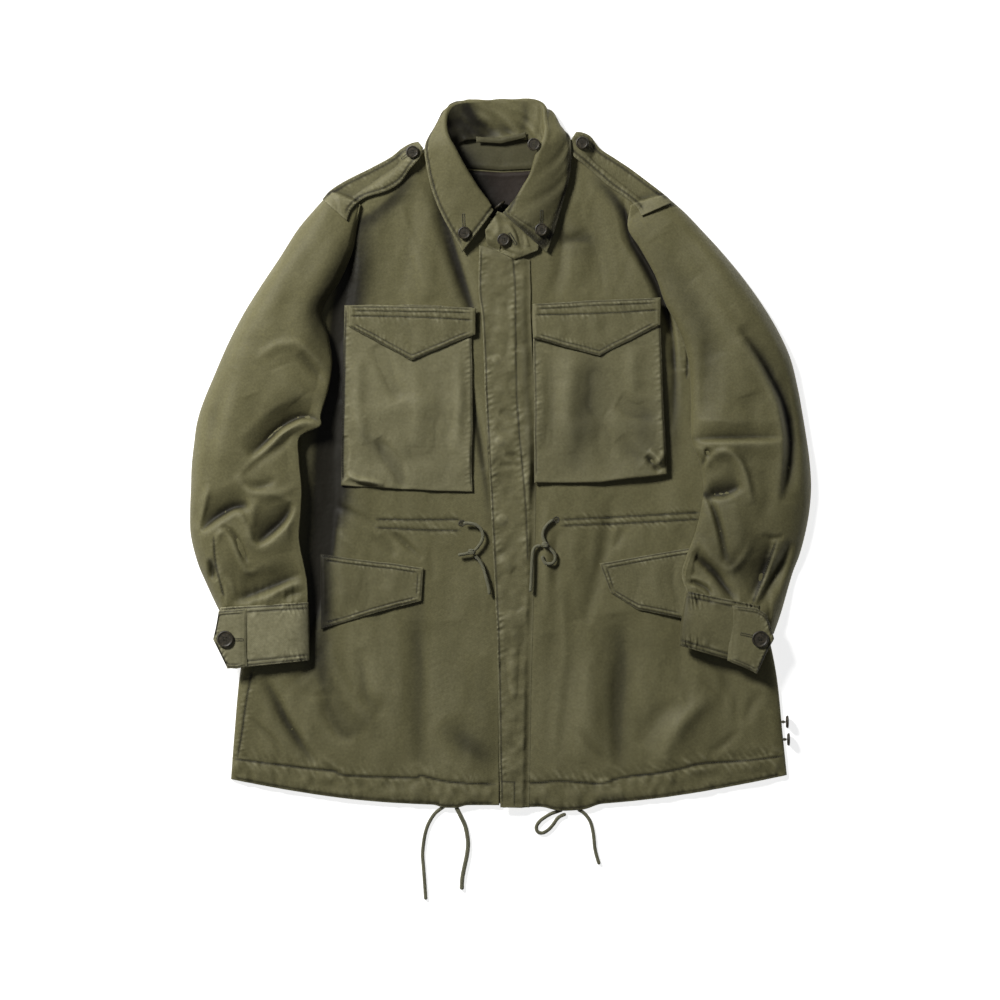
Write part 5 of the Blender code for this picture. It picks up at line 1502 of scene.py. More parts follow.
SHEEN_TINT = (1.0, 0.95, 0.82, 1)
HORN_SWIRL = Grain(320.0, 4.0)
SWIRL_RANGE = (0.42, 0.68)
HORN_GLOSS = Grain(900.0, 3.0, 0.3, -0.15)
CORD_SOIL = Grain(60.0, 4.0, 0.7, 0.6)
STRAND_SHADE = (0.45, 0.72)
PAPER = Grain(3.0, 2.0, 0.01, 0.995)


@dataclass
class Wiring:
    """Short hand for filling a node tree."""

    tree: bpy.types.NodeTree

    def feed(self, node: bpy.types.Node, links: dict[Any, Any]) -> None:
        """Fill a node's inputs.

        Args:
            node: The node.
            links: For each input, a value or a socket that feeds it.
        """
        for key, value in links.items():
            if isinstance(value, bpy.types.NodeSocket):
                self.tree.links.new(value, node.inputs[key])
            else:
                node.inputs[key].default_value = value

    def add(self, kind: str, links: dict[Any, Any], **settings: Any) -> bpy.types.Node:
        """Add a node.

        Args:
            kind: Its Blender type.
            links: For each input, a value or a socket that feeds it.
            settings: Its properties.

        Returns:
            The new node.
        """
        node = self.tree.nodes.new(kind)
        for key, value in settings.items():
            setattr(node, key, value)
        self.feed(node, links)
        return node

    def group(self, build: Any, links: dict[str, Any]) -> bpy.types.Node:
        """A node for the group that a function builds, which is made only once.

        Args:
            build: The function.
            links: For each input, a value or a socket that feeds it.

        Returns:
            The new node.
        """
        name = build.__doc__.split(",")[0].split(".")[0]
        made = [tree for tree in bpy.data.node_groups if tree.get("made_by") == name]
        tree = made[0] if made else build()
        tree["made_by"] = name
        return self.add("ShaderNodeGroup", links, node_tree=tree)

    def place(self, kind: str = "Object") -> bpy.types.NodeSocket:
        """Coordinates of the point that is shaded."""
        return self.tree.nodes.new("ShaderNodeTexCoord").outputs[kind]

    def maths(self, operation: str, *values: Any) -> bpy.types.NodeSocket:
        """A maths node's result."""
        return self.add("ShaderNodeMath", dict(enumerate(values)), operation=operation).outputs[0]

    def times(self, first: Any, second: Any) -> bpy.types.NodeSocket:
        """The product of two values."""
        return self.maths("MULTIPLY", first, second)

    def fitted(self, value: Any, gain: Any, base: Any) -> bpy.types.NodeSocket:
        """A value times a gain, plus a base."""
        return self.maths("MULTIPLY_ADD", value, gain, base)

    def noise(self, place: bpy.types.NodeSocket, grain: Grain) -> bpy.types.NodeSocket:
        """A grain's noise, from 0 to 1."""
        links = {"Vector": place, "Scale": grain.scale, "Detail": grain.detail}
        return self.add("ShaderNodeTexNoise", links).outputs["Fac"]

    def grain(self, place: bpy.types.NodeSocket, grain: Grain) -> bpy.types.NodeSocket:
        """A grain's noise as a factor."""
        return self.fitted(self.noise(place, grain), grain.gain, grain.base)

    def ramp(self, value: Any, limits: tuple[float, float]) -> bpy.types.NodeSocket:
        """0 below one limit and 1 above the other."""
        links = {0: value, 1: limits[0], 2: limits[1]}
        return self.add("ShaderNodeMapRange", links, interpolation_type="SMOOTHSTEP").outputs[0]

    def scaled(self, colour: Any, factor: Any) -> bpy.types.NodeSocket:
        """A colour times a value."""
        links = {0: colour, "Scale": factor}
        return self.add("ShaderNodeVectorMath", links, operation="SCALE").outputs[0]

    def mixed(self, factor: Any, first: Any, second: Any) -> bpy.types.NodeSocket:
        """A blend of two colours."""
        links = {0: factor, 6: first, 7: second}
        return self.add("ShaderNodeMix", links, data_type="RGBA").outputs[2]

    def bump(self, height: bpy.types.NodeSocket, depth: float) -> bpy.types.NodeSocket:
        """The normal of a surface that a height in 0 to 1 raises by a depth in metres."""
        links = {"Height": height, "Strength": 1.0, "Distance": depth}
        return self.add("ShaderNodeBump", links).outputs["Normal"]


def node_group(name: str, inputs: dict[str, str], outputs: dict[str, str]) -> tuple[Any, Any, Any]:
    """A new shader node group.

    Args:
        name: Name of the group.
        inputs: Socket kinds by name.
        outputs: The same for its results.

    Returns:
        Its wiring, its input node and its output node.
    """
    tree = bpy.data.node_groups.new(name, "ShaderNodeTree")
    for way, sockets in (("INPUT", inputs), ("OUTPUT", outputs)):
        for key, kind in sockets.items():
            tree.interface.new_socket(name=key, in_out=way, socket_type="NodeSocket" + kind)
    return Wiring(tree), tree.nodes.new("NodeGroupInput"), tree.nodes.new("NodeGroupOutput")


def tone_group() -> bpy.types.NodeTree:
    """Uneven dye, mottled at three sizes, with pale rubbed patches.

    Returns:
        The node group.
    """
    wire, given, made = node_group(
        "Cloth tone", {"Colour": "Color", "Contrast": "Float"}, {"Colour": "Color", "Rubbed": "Float"}
    )
    place = wire.place()
    broad, mottle, fleck = (wire.grain(place, g) for g in (BROAD_DYE, MOTTLED_DYE, FLECKED_DYE))
    tone = wire.maths("SUBTRACT", wire.times(wire.times(broad, mottle), fleck), 1.0)
    uneven = wire.fitted(tone, given.outputs["Contrast"], 1.0)
    rubbed = wire.times(
        wire.ramp(wire.noise(place, RUBBED_PATCH), PATCH_RANGE),
        wire.ramp(wire.noise(place, RUBBED_AREA), AREA_RANGE),
    )
    shade = wire.fitted(rubbed, RUBBED_PALER, uneven)
    wire.feed(made, {"Colour": wire.scaled(given.outputs["Colour"], shade), "Rubbed": rubbed})
    return wire.tree


def wear_and_shade_group() -> bpy.types.NodeTree:
    """Pale crests and dark grooves, from the masks that the cloth carries.

    Returns:
        The node group.
    """
    wire, given, made = node_group(
        "Seam wear", {"Colour": "Color", "Pale": "Color"}, {"Colour": "Color"}
    )
    patchy = wire.grain(wire.place(), PATCHY_WEAR_AND_SHADE)
    wear_and_painted_light, painted_shade = (
        wire.add("ShaderNodeAttribute", {}, attribute_name=key).outputs["Fac"] for key in ("wear_and_painted_light", "painted_shade")
    )
    worn_and_painted = wire.times(wire.times(wear_and_painted_light, patchy), WORN_SHARE)
    pale = wire.mixed(worn_and_painted, given.outputs["Colour"], given.outputs["Pale"])
    # painted shade: the shade mask darkens the colour, patchily, and turns it towards deep brown
    darkening = wire.fitted(wire.times(painted_shade, wire.fitted(patchy, *PAINTED_SHADE_SPREAD)), PAINTED_SHADE_DARKENS, 1.0)
    shaded_colour = wire.scaled(pale, wire.maths("MAXIMUM", darkening, LEAST_SHADE))
    wire.feed(made, {"Colour": wire.mixed(wire.fitted(painted_shade, *DEEP_RANGE), shaded_colour, PAINTED_SHADE_BROWN)})
    return wire.tree


def twill_group() -> bpy.types.NodeTree:
    """Fine diagonal ribs that follow the cloth, and its crumpled hand.

    Returns:
        The node group.
    """
    wire, given, made = node_group(
        "Twill", {"Ribs": "Float", "Crumple": "Float"}, {"Height": "Float", "Shade": "Float"}
    )
    coordinates = wire.tree.nodes.new("ShaderNodeTexCoord")
    place, cloth = coordinates.outputs["Object"], coordinates.outputs["UV"]
    ribs = wire.add(
        "ShaderNodeTexWave",
        {"Vector": cloth, "Scale": given.outputs["Ribs"], "Distortion": 0.6, "Detail": 2.0},
        wave_type="BANDS", bands_direction="DIAGONAL",
    ).outputs["Fac"]
    fine = wire.times(wire.noise(place, CRUMPLE_FINE), CRUMPLE_FINE.gain)
    crumple = wire.fitted(wire.noise(place, CRUMPLE_WIDE), CRUMPLE_WIDE.gain, fine)
    wire.feed(made, {
        "Height": wire.fitted(ribs, RIB_HEIGHT, wire.times(crumple, given.outputs["Crumple"])),
        "Shade": wire.fitted(ribs, RIB_SHADE, wire.grain(place, SLUBS)),
    })
    return wire.tree


def principled(name: str, settings: dict[str, Any]) -> tuple[bpy.types.Material, Wiring, bpy.types.Node]:
    """A new material with its constants set on the shader.

    Args:
        name: Name of the material.
        settings: The shader's constants by socket.

    Returns:
        The material, its wiring and its shader.
    """
    made = bpy.data.materials.new(name)
    made.use_nodes = True
    wire, shader = Wiring(made.node_tree), made.node_tree.nodes["Principled BSDF"]
    wire.feed(shader, settings)
    return made, wire, shader


@dataclass(frozen=True)
class Cotton:
    """Washed cotton sateen: its colour, the colour of its worn crests and its hand."""

    name: str
    colour: tuple[float, float, float]
    pale: tuple[float, float, float]
    contrast: float = 0.9
    ribs: float = 285.0
    crumple: float = 1.0
    roughness: float = 0.6
    sheen: float = 0.06

    def build(self) -> bpy.types.Material:
        """Make the material.

        Returns:
            The material.
        """
        made, wire, shader = principled(self.name, {
            "Sheen Weight": self.sheen, "Sheen Roughness": 0.45, "Sheen Tint": SHEEN_TINT,
            "Specular IOR Level": 0.3,
        })
        tone = wire.group(tone_group, {"Colour": (*self.colour, 1), "Contrast": self.contrast})
        worn_and_painted = wire.group(wear_and_shade_group, {"Colour": tone.outputs["Colour"], "Pale": (*self.pale, 1)})
        weave = wire.group(twill_group, {"Ribs": self.ribs, "Crumple": self.crumple})
        wire.feed(shader, {
            "Base Color": wire.scaled(worn_and_painted.outputs["Colour"], weave.outputs["Shade"]),
            "Roughness": wire.fitted(tone.outputs["Rubbed"], RUBBED_ROUGHER, self.roughness),
            "Normal": wire.bump(weave.outputs["Height"], TWILL_DEPTH),
        })
        return made


@dataclass(frozen=True)
class Horn:
    """The dull brown of the buttons."""

    name: str
    colour: tuple[float, float, float]
    pale: tuple[float, float, float]
    roughness: float = 0.38

    def build(self) -> bpy.types.Material:
        """Make the material.

        Returns:
            The material.
        """
        made, wire, shader = principled(self.name, {"Specular IOR Level": 0.6})
        place = wire.place()
        swirl = wire.ramp(wire.noise(place, HORN_SWIRL), SWIRL_RANGE)
        gloss = self.roughness + HORN_GLOSS.base
        wire.feed(shader, {
            "Base Color": wire.mixed(swirl, (*self.colour, 1), (*self.pale, 1)),
            "Roughness": wire.fitted(wire.noise(place, HORN_GLOSS), HORN_GLOSS.gain, gloss),
        })
        return made


@dataclass(frozen=True)
class Braid:
    """Plaited cotton of the cords, or twisted thread."""

    name: str
    colour: tuple[float, float, float]
    pitch: float
    depth: float = 0.0004

    def build(self) -> bpy.types.Material:
        """Make the material.

        Returns:
            The material.
        """
        made, wire, shader = principled(self.name, {"Roughness": 0.85, "Sheen Weight": 0.2})
        coordinates = wire.tree.nodes.new("ShaderNodeTexCoord")
        links = {"Vector": coordinates.outputs["UV"], "Scale": self.pitch, "Distortion": 0.4}
        strands = wire.add("ShaderNodeTexWave", links, bands_direction="DIAGONAL").outputs["Fac"]
        soil = wire.grain(coordinates.outputs["Object"], CORD_SOIL)
        tone = wire.times(wire.fitted(strands, *STRAND_SHADE), soil)
        wire.feed(shader, {
            "Base Color": wire.scaled(self.colour, tone), "Normal": wire.bump(strands, self.depth),
        })
        return made


@dataclass(frozen=True)
class PaleFloor:
    """A plain white floor that is also a little bright by itself."""

    name: str
    colour: tuple[float, float, float]
    glow: float

    def build(self) -> bpy.types.Material:
        """Make the material.

        Returns:
            The material.
        """
        made, wire, shader = principled(self.name, {"Roughness": 0.9, "Emission Strength": self.glow})
        tinted = wire.scaled(self.colour, wire.grain(wire.place(), PAPER))
        wire.feed(shader, {"Base Color": tinted, "Emission Color": tinted})
        return made


class Look(Enum):
    """The jacket's materials."""

    SHELL = Cotton("washed_cotton", (0.150, 0.138, 0.064), (0.34, 0.32, 0.19))
    TRIM = Cotton("trim_cotton", (0.156, 0.144, 0.070), (0.36, 0.34, 0.21), crumple=1.1)
    # the shell's olive made darker as painted shade, for the cloth inside the neck
    INSIDE = Cotton("facing_cotton_painted_shade", (0.080, 0.074, 0.036), (0.2, 0.185, 0.11), sheen=0.03)
    # the lining's own dark brown, made darker still as painted shade inside the neck
    LINING = Cotton("lining_cotton", (0.028, 0.020, 0.015), (0.06, 0.05, 0.042), ribs=420.0, sheen=0.03)
    THREAD = Braid("olive_thread", (0.115, 0.105, 0.058), 900.0)
    CORD = Braid("plaited_cord", (0.20, 0.195, 0.12), 330.0)
    BUTTON = Horn("brown_button", (0.024, 0.020, 0.011), (0.060, 0.048, 0.028), roughness=0.5)
    FLOOR = PaleFloor("pale_floor", (0.9, 0.9, 0.9), 0.86)


# ---------------------------------------------------------------- thread
@dataclass
class Stitches:
    """All the thread that shows, as short spindles joined in one mesh for each part."""

    length: float = 2.3
    width: float = 0.62
    height: float = 0.42
    arched: float = 0.1
    starts: list[Array] = field(default_factory=list)
    ends: list[Array] = field(default_factory=list)
    scales: list[Array] = field(default_factory=list)

    def bar(self, starts: Array, ends: Array, scale: float = 1.0) -> None:
        """Add one stitch from each start to its end.

        Args:
            starts: Where each stitch begins.
            ends: Where it ends.
            scale: Its thickness against a plain one's.
        """
        self.starts.append(np.asarray(starts, float).reshape(-1, 3))
        self.ends.append(np.asarray(ends, float).reshape(-1, 3))
        self.scales.append(np.full(len(self.starts[-1]), scale))

    def row(self, line: Array, pitch: float, scale: float = 1.0) -> None:
        """Add a row of running stitches along a line in space.

        Args:
            line: Points of the line.
            pitch: Distance from one stitch to the next.
            scale: Size of the stitches.
        """
        run = run_along(line[None], 1)[0]
        count = int(run[-1] / pitch)
        if count < 1:
            return
        marks = (np.arange(count) + 0.5) * run[-1] / count
        half = self.length * scale / 2
        places = [
            np.stack([np.interp(marks + shift, run, line[:, k]) for k in range(3)], axis=1)
            for shift in (-half, half)
        ]
        self.bar(*places, scale)

    def along(self, path: Array, pile: Pile, pitch: float, scale: float = 1.0) -> None:
        """Add a row of stitches that follows a path in plan over the pile.

        Args:
            path: Points seen from above.
            pile: What lies there already.
            pitch: Distance from one stitch to the next.
            scale: Their thickness against a plain one's.
        """
        length = np.hypot(*np.diff(path, axis=0).T).sum()
        places = bent(path, np.linspace(0, 1, max(3, int(length))))
        self.row(np.column_stack([places, pile.height(places)]), pitch, scale)

    def buttonhole(self, middle: tuple[float, float], heading: float, length: float, pile: Pile) -> None:
        """Add a worked buttonhole: two close bars of thread and a tack at each end.

        Args:
            middle: Its place in plan.
            heading: Direction of the slit, in degrees from +X.
            length: Length of the slit.
            pile: What it is worked in.
        """
        turn = math.radians(heading)
        ahead = np.array((math.cos(turn), math.sin(turn)))
        aside = np.array((-ahead[1], ahead[0]))
        runs = np.arange(-length / 2, length / 2 + 0.1, HOLE_PITCH)
        for side in (-1, 1):
            inner = np.array(middle) + runs[:, None] * ahead + side * HOLE_OPEN * aside
            outer = inner + side * HOLE_BAR * aside
            self.bar(*(np.column_stack([p, pile.height(p) + HOLE_LIFT]) for p in (inner, outer)), 1.0)
        past, wide, lift, thick = HOLE_TACK
        for end in (-1, 1):
            spots = np.array(middle) + end * (length / 2 + past) * ahead
            pair = [spots - wide * aside, spots + wide * aside]
            self.bar(*(np.array([(*p, pile.height(p) + lift)]) for p in pair), thick)

    def eyelet(self, middle: tuple[float, float], pile: Pile, reach: float = 4.6) -> None:
        """Add a ring of close stitches round a hole.

        Args:
            middle: Where it is.
            pile: What lies there already.
            reach: Its radius.
        """
        count, lift, thick = EYELET_RING
        turns = np.linspace(0, 2 * math.pi, count, endpoint=False)
        ways = np.stack([np.cos(turns), np.sin(turns)], axis=1)
        inner, outer = (np.array(middle) + ways * radius for radius in (EYELET_HOLE, reach))
        self.bar(*(np.column_stack([p, pile.height(p) + lift]) for p in (inner, outer)), thick)

    def build(self, name: str) -> bpy.types.Object:
        """Make the mesh of all stitches: four-sided spindles, seen as small grains.

        Args:
            name: Name of the piece.

        Returns:
            The made object.
        """
        starts, ends = np.concatenate(self.starts), np.concatenate(self.ends)
        shown = np.minimum(starts[:, 2], ends[:, 2]) > self.height
        starts, ends = starts[shown], ends[shown]
        scale = np.concatenate(self.scales)[shown, None]
        ahead = unit(ends - starts)
        aside = unit(np.cross(ahead, (0.0, 0.0, 1.0)))
        up = unit(np.cross(aside, ahead))
        middle = (starts + ends) / 2 + up * self.arched
        wide, tall = self.width / 2 * scale, self.height / 2 * scale
        across, rise = aside * wide, up * tall
        corners = [starts, middle + across, middle + rise, middle - across, middle - rise, ends]
        points = np.stack(corners, axis=1).reshape(-1, 3)
        around = ((1, 2), (2, 3), (3, 4), (4, 1))
        pattern = np.array([(0, a, b) for a, b in around] + [(5, b, a) for a, b in around])
        faces = (pattern[None] + len(corners) * np.arange(len(starts))[:, None, None]).reshape(-1, 3)
        mesh = bpy.data.meshes.new(name)
        mesh.from_pydata((points * MM).tolist(), [], faces.tolist())
        if signed_volume(mesh) < 0:
            mesh.flip_normals()
        layer = mesh.uv_layers.new(name="thread")
        layer.uv.foreach_set("vector", np.tile(SPINDLE_UV, len(faces)).astype(np.float32))
        LOG.info("%s: %d stitches", name, len(starts))
        return show(name, mesh, material_of(Look.THREAD))


def material_of(look: Look) -> bpy.types.Material:
    """The material of a look, made at its first use."""
    return bpy.data.materials.get(look.value.name) or look.value.build()


@dataclass
class Shop:
    """What every part needs while the jacket is laid down."""

    pile: Pile
    stitches: Stitches

    def finish(self, cloth: Sheet, look: Look, stride: int = UNDER_STRIDE) -> None:
        """Build a piece of cloth and lay it on the pile."""
        cloth.build(material_of(look), stride)
        self.pile.lay(cloth.surface())

    def stitch_seams(self, seams: Iterable[Seam]) -> None:
        """Put the thread of some seams on the pile.

        Args:
            seams: Seams sewn into what lies on top.
        """
        for seam in seams:
            if seam.thread:
                self.stitches.along(seam.path(), self.pile, seam.thread)

    def topstitch(self, cloth: Sheet, sides: Iterable[str], insets: Iterable[float]) -> None:
        """Put rows of thread inside some edges of a piece.

        Args:
            cloth: The piece.
            sides: Its stitched sides.
            insets: Distances of the rows from them.
        """
        for side in sides:
            for inset in insets:
                self.stitches.row(side_line(cloth.surface(), side, inset), STITCH_PITCH)


def points_of(line: Array) -> Places:
    """The points of a line as a table."""
    return tuple(map(tuple, line))


def level_grid(plan: Array) -> Array:
    """A grid in plan, given height 0."""
    return np.dstack([plan, plan[..., 0] * 0])


def edge_seams(surface: Array, sides: Iterable[str], inset: float, **settings: Any) -> list[Seam]:
    """Seams without thread that dent a piece along its edges.

    Args:
        surface: The piece's grid.
        sides: Its stitched sides.
        inset: Distance of the seams from them.
        settings: Other fields of the seams.

    Returns:
        A seam for each side that is long enough.
    """
    lines = [side_line(surface, side, inset)[::4, :2] for side in sides]
    return [Seam(points_of(line), curved=False, thread=0.0, **settings) for line in lines if len(line) > 2]


FLY_SEAMS = (
    Seam(((12, 251), (17, 197), (19, 65), (29, -55), (32, -127)), groove=0.4, groove_width=1.2,
         pucker=0.9, pitch=8.0),
    Seam(((-1, -392), (16, -393), (16, -423)), groove=0.5, groove_width=1.1, curved=False),
)


# ---------------------------------------------------------------- the jacket's parts
def laid_out(rows: Iterable, step: float, second: int = 2) -> Array:
    """Table rows at an even step of cloth.

    Args:
        rows: The table; a first edge starts in column 0 and the other in column second.
        step: Spacing of the rows, crowded to rings at both ends.
        second: Column of the other edge.

    Returns:
        The rows.
    """
    count = len(rows)
    dense = even(rows, 50 * count)
    middle = (dense[:, :2] + dense[:, second:second + 2]) / 2
    run = run_along(middle[None], 1)[0]
    places = np.interp(stepped(run[-1], step) * run[-1], run, np.linspace(0, count - 1, len(dense)))
    return through(rows, places)


def arched_shares(width: float, step: float) -> Array:
    """Places from 0 to 1 that crowd together at both ends."""
    count = round(width / step)
    return (1 - np.cos(np.linspace(0, math.pi, count))) / 2


def distance_to(plan: Array, line: Array, reach: float) -> Array:
    """Distance of each place from a line, no further than reach.

    Args:
        plan: Grid of places.
        line: Points of the line.
        reach: How far off is far enough.

    Returns:
        Distances, at most that reach.
    """
    near = beside(plan, line, reach)
    away = np.full(plan[..., 0].size, float(reach))
    away[near.picked] = np.minimum(near.away, reach)
    return away.reshape(plan.shape[:2])


@dataclass
class Back:
    """The lined back panel, drawn in from the folded edges of the fronts."""

    step: float = 5.0
    width: float = 450.0
    places: int = 130
    unevenness: float = 0.25
    seed: int = 3

    def side(self, rows: Iterable, mirror: int) -> Array:
        """One side edge of the panel, from the shoulder to the hem.

        Args:
            rows: Table of the front on that side.
            mirror: 1 on the right side and -1 on the left.

        Returns:
            Points along it.
        """
        edges = laid_out(rows, self.step)
        inner, outer = edges[:, :2], edges[:, 2:4]
        side = outer + unit(inner - outer) * BACK_INSET
        side[0] += (SHOULDER_INSET[0] * mirror, SHOULDER_INSET[1])
        side[-1, 1] += HEM_INSET
        return bent(side, np.linspace(0, 1, self.places))

    def build(self, shop: Shop) -> None:
        """Fill the four edges with one sheet.

        Args:
            shop: The workshop the piece is made in.
        """
        right, left = self.side(FRONT_RIGHT_ROWS, 1), self.side(FRONT_LEFT_ROWS, -1)
        share = stepped(self.width, self.step)
        neck = bent([right[0], *BACK_NECK[::-1], left[0]], share)
        hem = right[-1] * (1 - share[:, None]) + left[-1] * share[:, None]
        hem[:, 1] -= HEM_DEPTH * np.sin(np.pi * share) ** HEM_FLATNESS
        down = np.linspace(0, 1, self.places)[:, None, None]
        plan = ruled(right, left, share) + neck * (1 - down) + hem * down
        corners = ruled(right[[0, -1]], left[[0, -1]], share)
        plan = plan - corners[0] * (1 - down) - corners[1] * down
        top = np.full(plan.shape[:2], BACK_WALL) + self.unevenness * abs(slack(plan, self.seed))
        shop.finish(Sheet("back", plan, top, BACK_WALL, Dressing.plain(plan)), Look.SHELL)


@dataclass
class Front:
    """One front panel, from its shoulder seam to its hem, folded down at the side."""

    side: str
    rows: Places
    seed: int
    casing: float = 1.3
    casing_depth: float = 29.0
    casing_fullness: float = 0.7
    crowding: float = 1.12

    def seams(self) -> list[Seam]:
        """The panel's stitched lines.

        Returns:
            The seams of this side.
        """
        waist = [Seam(line, groove=0.8, pucker=0.9, pitch=7.5, lean=0.9) for line in WAIST_SEAMS[self.side]]
        hem = Seam(HEM_SEAMS[self.side], groove=1.0, pucker=1.0, reach=11.0, pitch=9.5, lean=0.7)
        if self.side == "right":
            return [*waist, hem, Seam(SIDE_SEAM, groove=0.7, pucker=0.6, pitch=6.0)]
        return [*waist, hem, Seam(ARMHOLE_SEAM, groove=0.8, pucker=0.5)]

    def build(self, shop: Shop) -> None:
        """Shape, dress and lay the panel.

        Args:
            shop: The workshop the piece is made in.
        """
        edges = laid_out(self.rows, PANEL_STEP)
        inner, outer = edges[:, :2], edges[:, 2:4]
        across = stepped(float(np.hypot(*(outer - inner).T).mean()) + 20, PANEL_STEP)
        across = 1 - (1 - across) ** self.crowding
        plan = ruled(inner, outer, across)
        plan[..., 1] -= edges[:, 4:5] * np.sin(math.pi * across)[None, :]
        low = 1 - distance_to(plan, plan[-1], CORD_MOUTH_DEPTH) / CORD_MOUTH_DEPTH
        middle, reach, drop = CORD_MOUTHS[self.side]
        plan[..., 1] -= drop * low * np.exp(-(((plan[..., 0] - middle) / reach) ** 4))
        side = turned_down(distance_to(plan, plan[:, -1], 2 * SIDE_ROUNDING), SIDE_ROUNDING)
        shoulder = turned_down(distance_to(plan, plan[0], 2 * SHOULDER_ROUNDING), SHOULDER_ROUNDING)
        clear_of_hem = distance_to(plan, plan[-1], HEM_FADE) / HEM_FADE
        folds = folded(plan, BODY_FOLDS) + folded(plan, FINE_BODY_FOLDS)
        folds += slack(plan, self.seed, 1.3, 2.6)
        deep = eased(folded(plan, BODY_CREASES, crisp=True), 2)
        folds = (folds + deep) * (HEM_FOLD_SHARE + (1 - HEM_FOLD_SHARE) * clear_of_hem)
        dressing = Dressing.plain(plan)
        # painted shade in the deepest creases
        dressing.deepen(deep, *BODY_DEEP)
        dressing.sew_all(plan, self.seams(), self.seed)
        hem_edge = edge_seams(level_grid(plan), ("end",), 3.0, pucker=0.4, reach=5.0)
        dressing.sew_all(plan, hem_edge, self.seed + 20)
        from_hem = distance_to(plan, plan[-1], self.casing_depth)
        in_casing = from_hem < self.casing_depth
        crushed = 1 + wrinkled(plan, CASING_CRUSH, self.seed) * in_casing
        tunnel = self.casing * crushed * np.sin(np.pi * from_hem / self.casing_depth) ** self.casing_fullness
        tunnel += wrinkled(plan, CASING_WRINKLES, self.seed + 2) * in_casing
        height = BODY_HEIGHT - HEM_THINNING * (1 - clear_of_hem) + folds + tunnel + dressing.relief
        above = (height - LEAST_BODY_HEIGHT) / LEAST_SOFTNESS
        height = LEAST_BODY_HEIGHT + np.logaddexp(0, above) * LEAST_SOFTNESS
        # pale wear on crests and painted shade in dips, then the table's painted shade
        dressing.fade(height, PANEL_STEP)
        dressing.tone(plan, BODY_PAINTED_SHADE)
        # painted shade: the eyelets' holes painted dark
        for x, y in EYELETS[self.side]:
            dressing.painted_shade += TONE_LIMIT * (np.hypot(plan[..., 0] - x, plan[..., 1] - y) < EYELET_HOLE)
        top = FOLD_EDGE_HEIGHT + (height - FOLD_EDGE_HEIGHT) * np.minimum(side, shoulder)
        rests_on = ("back_cloth", "floor")
        shop.finish(Sheet("front_" + self.side, plan, top, PANEL_WALL, dressing, rests_on), Look.SHELL)
        shop.stitch_seams(self.seams())
        for x, y in EYELETS[self.side]:
            shop.stitches.eyelet((x, y), shop.pile)


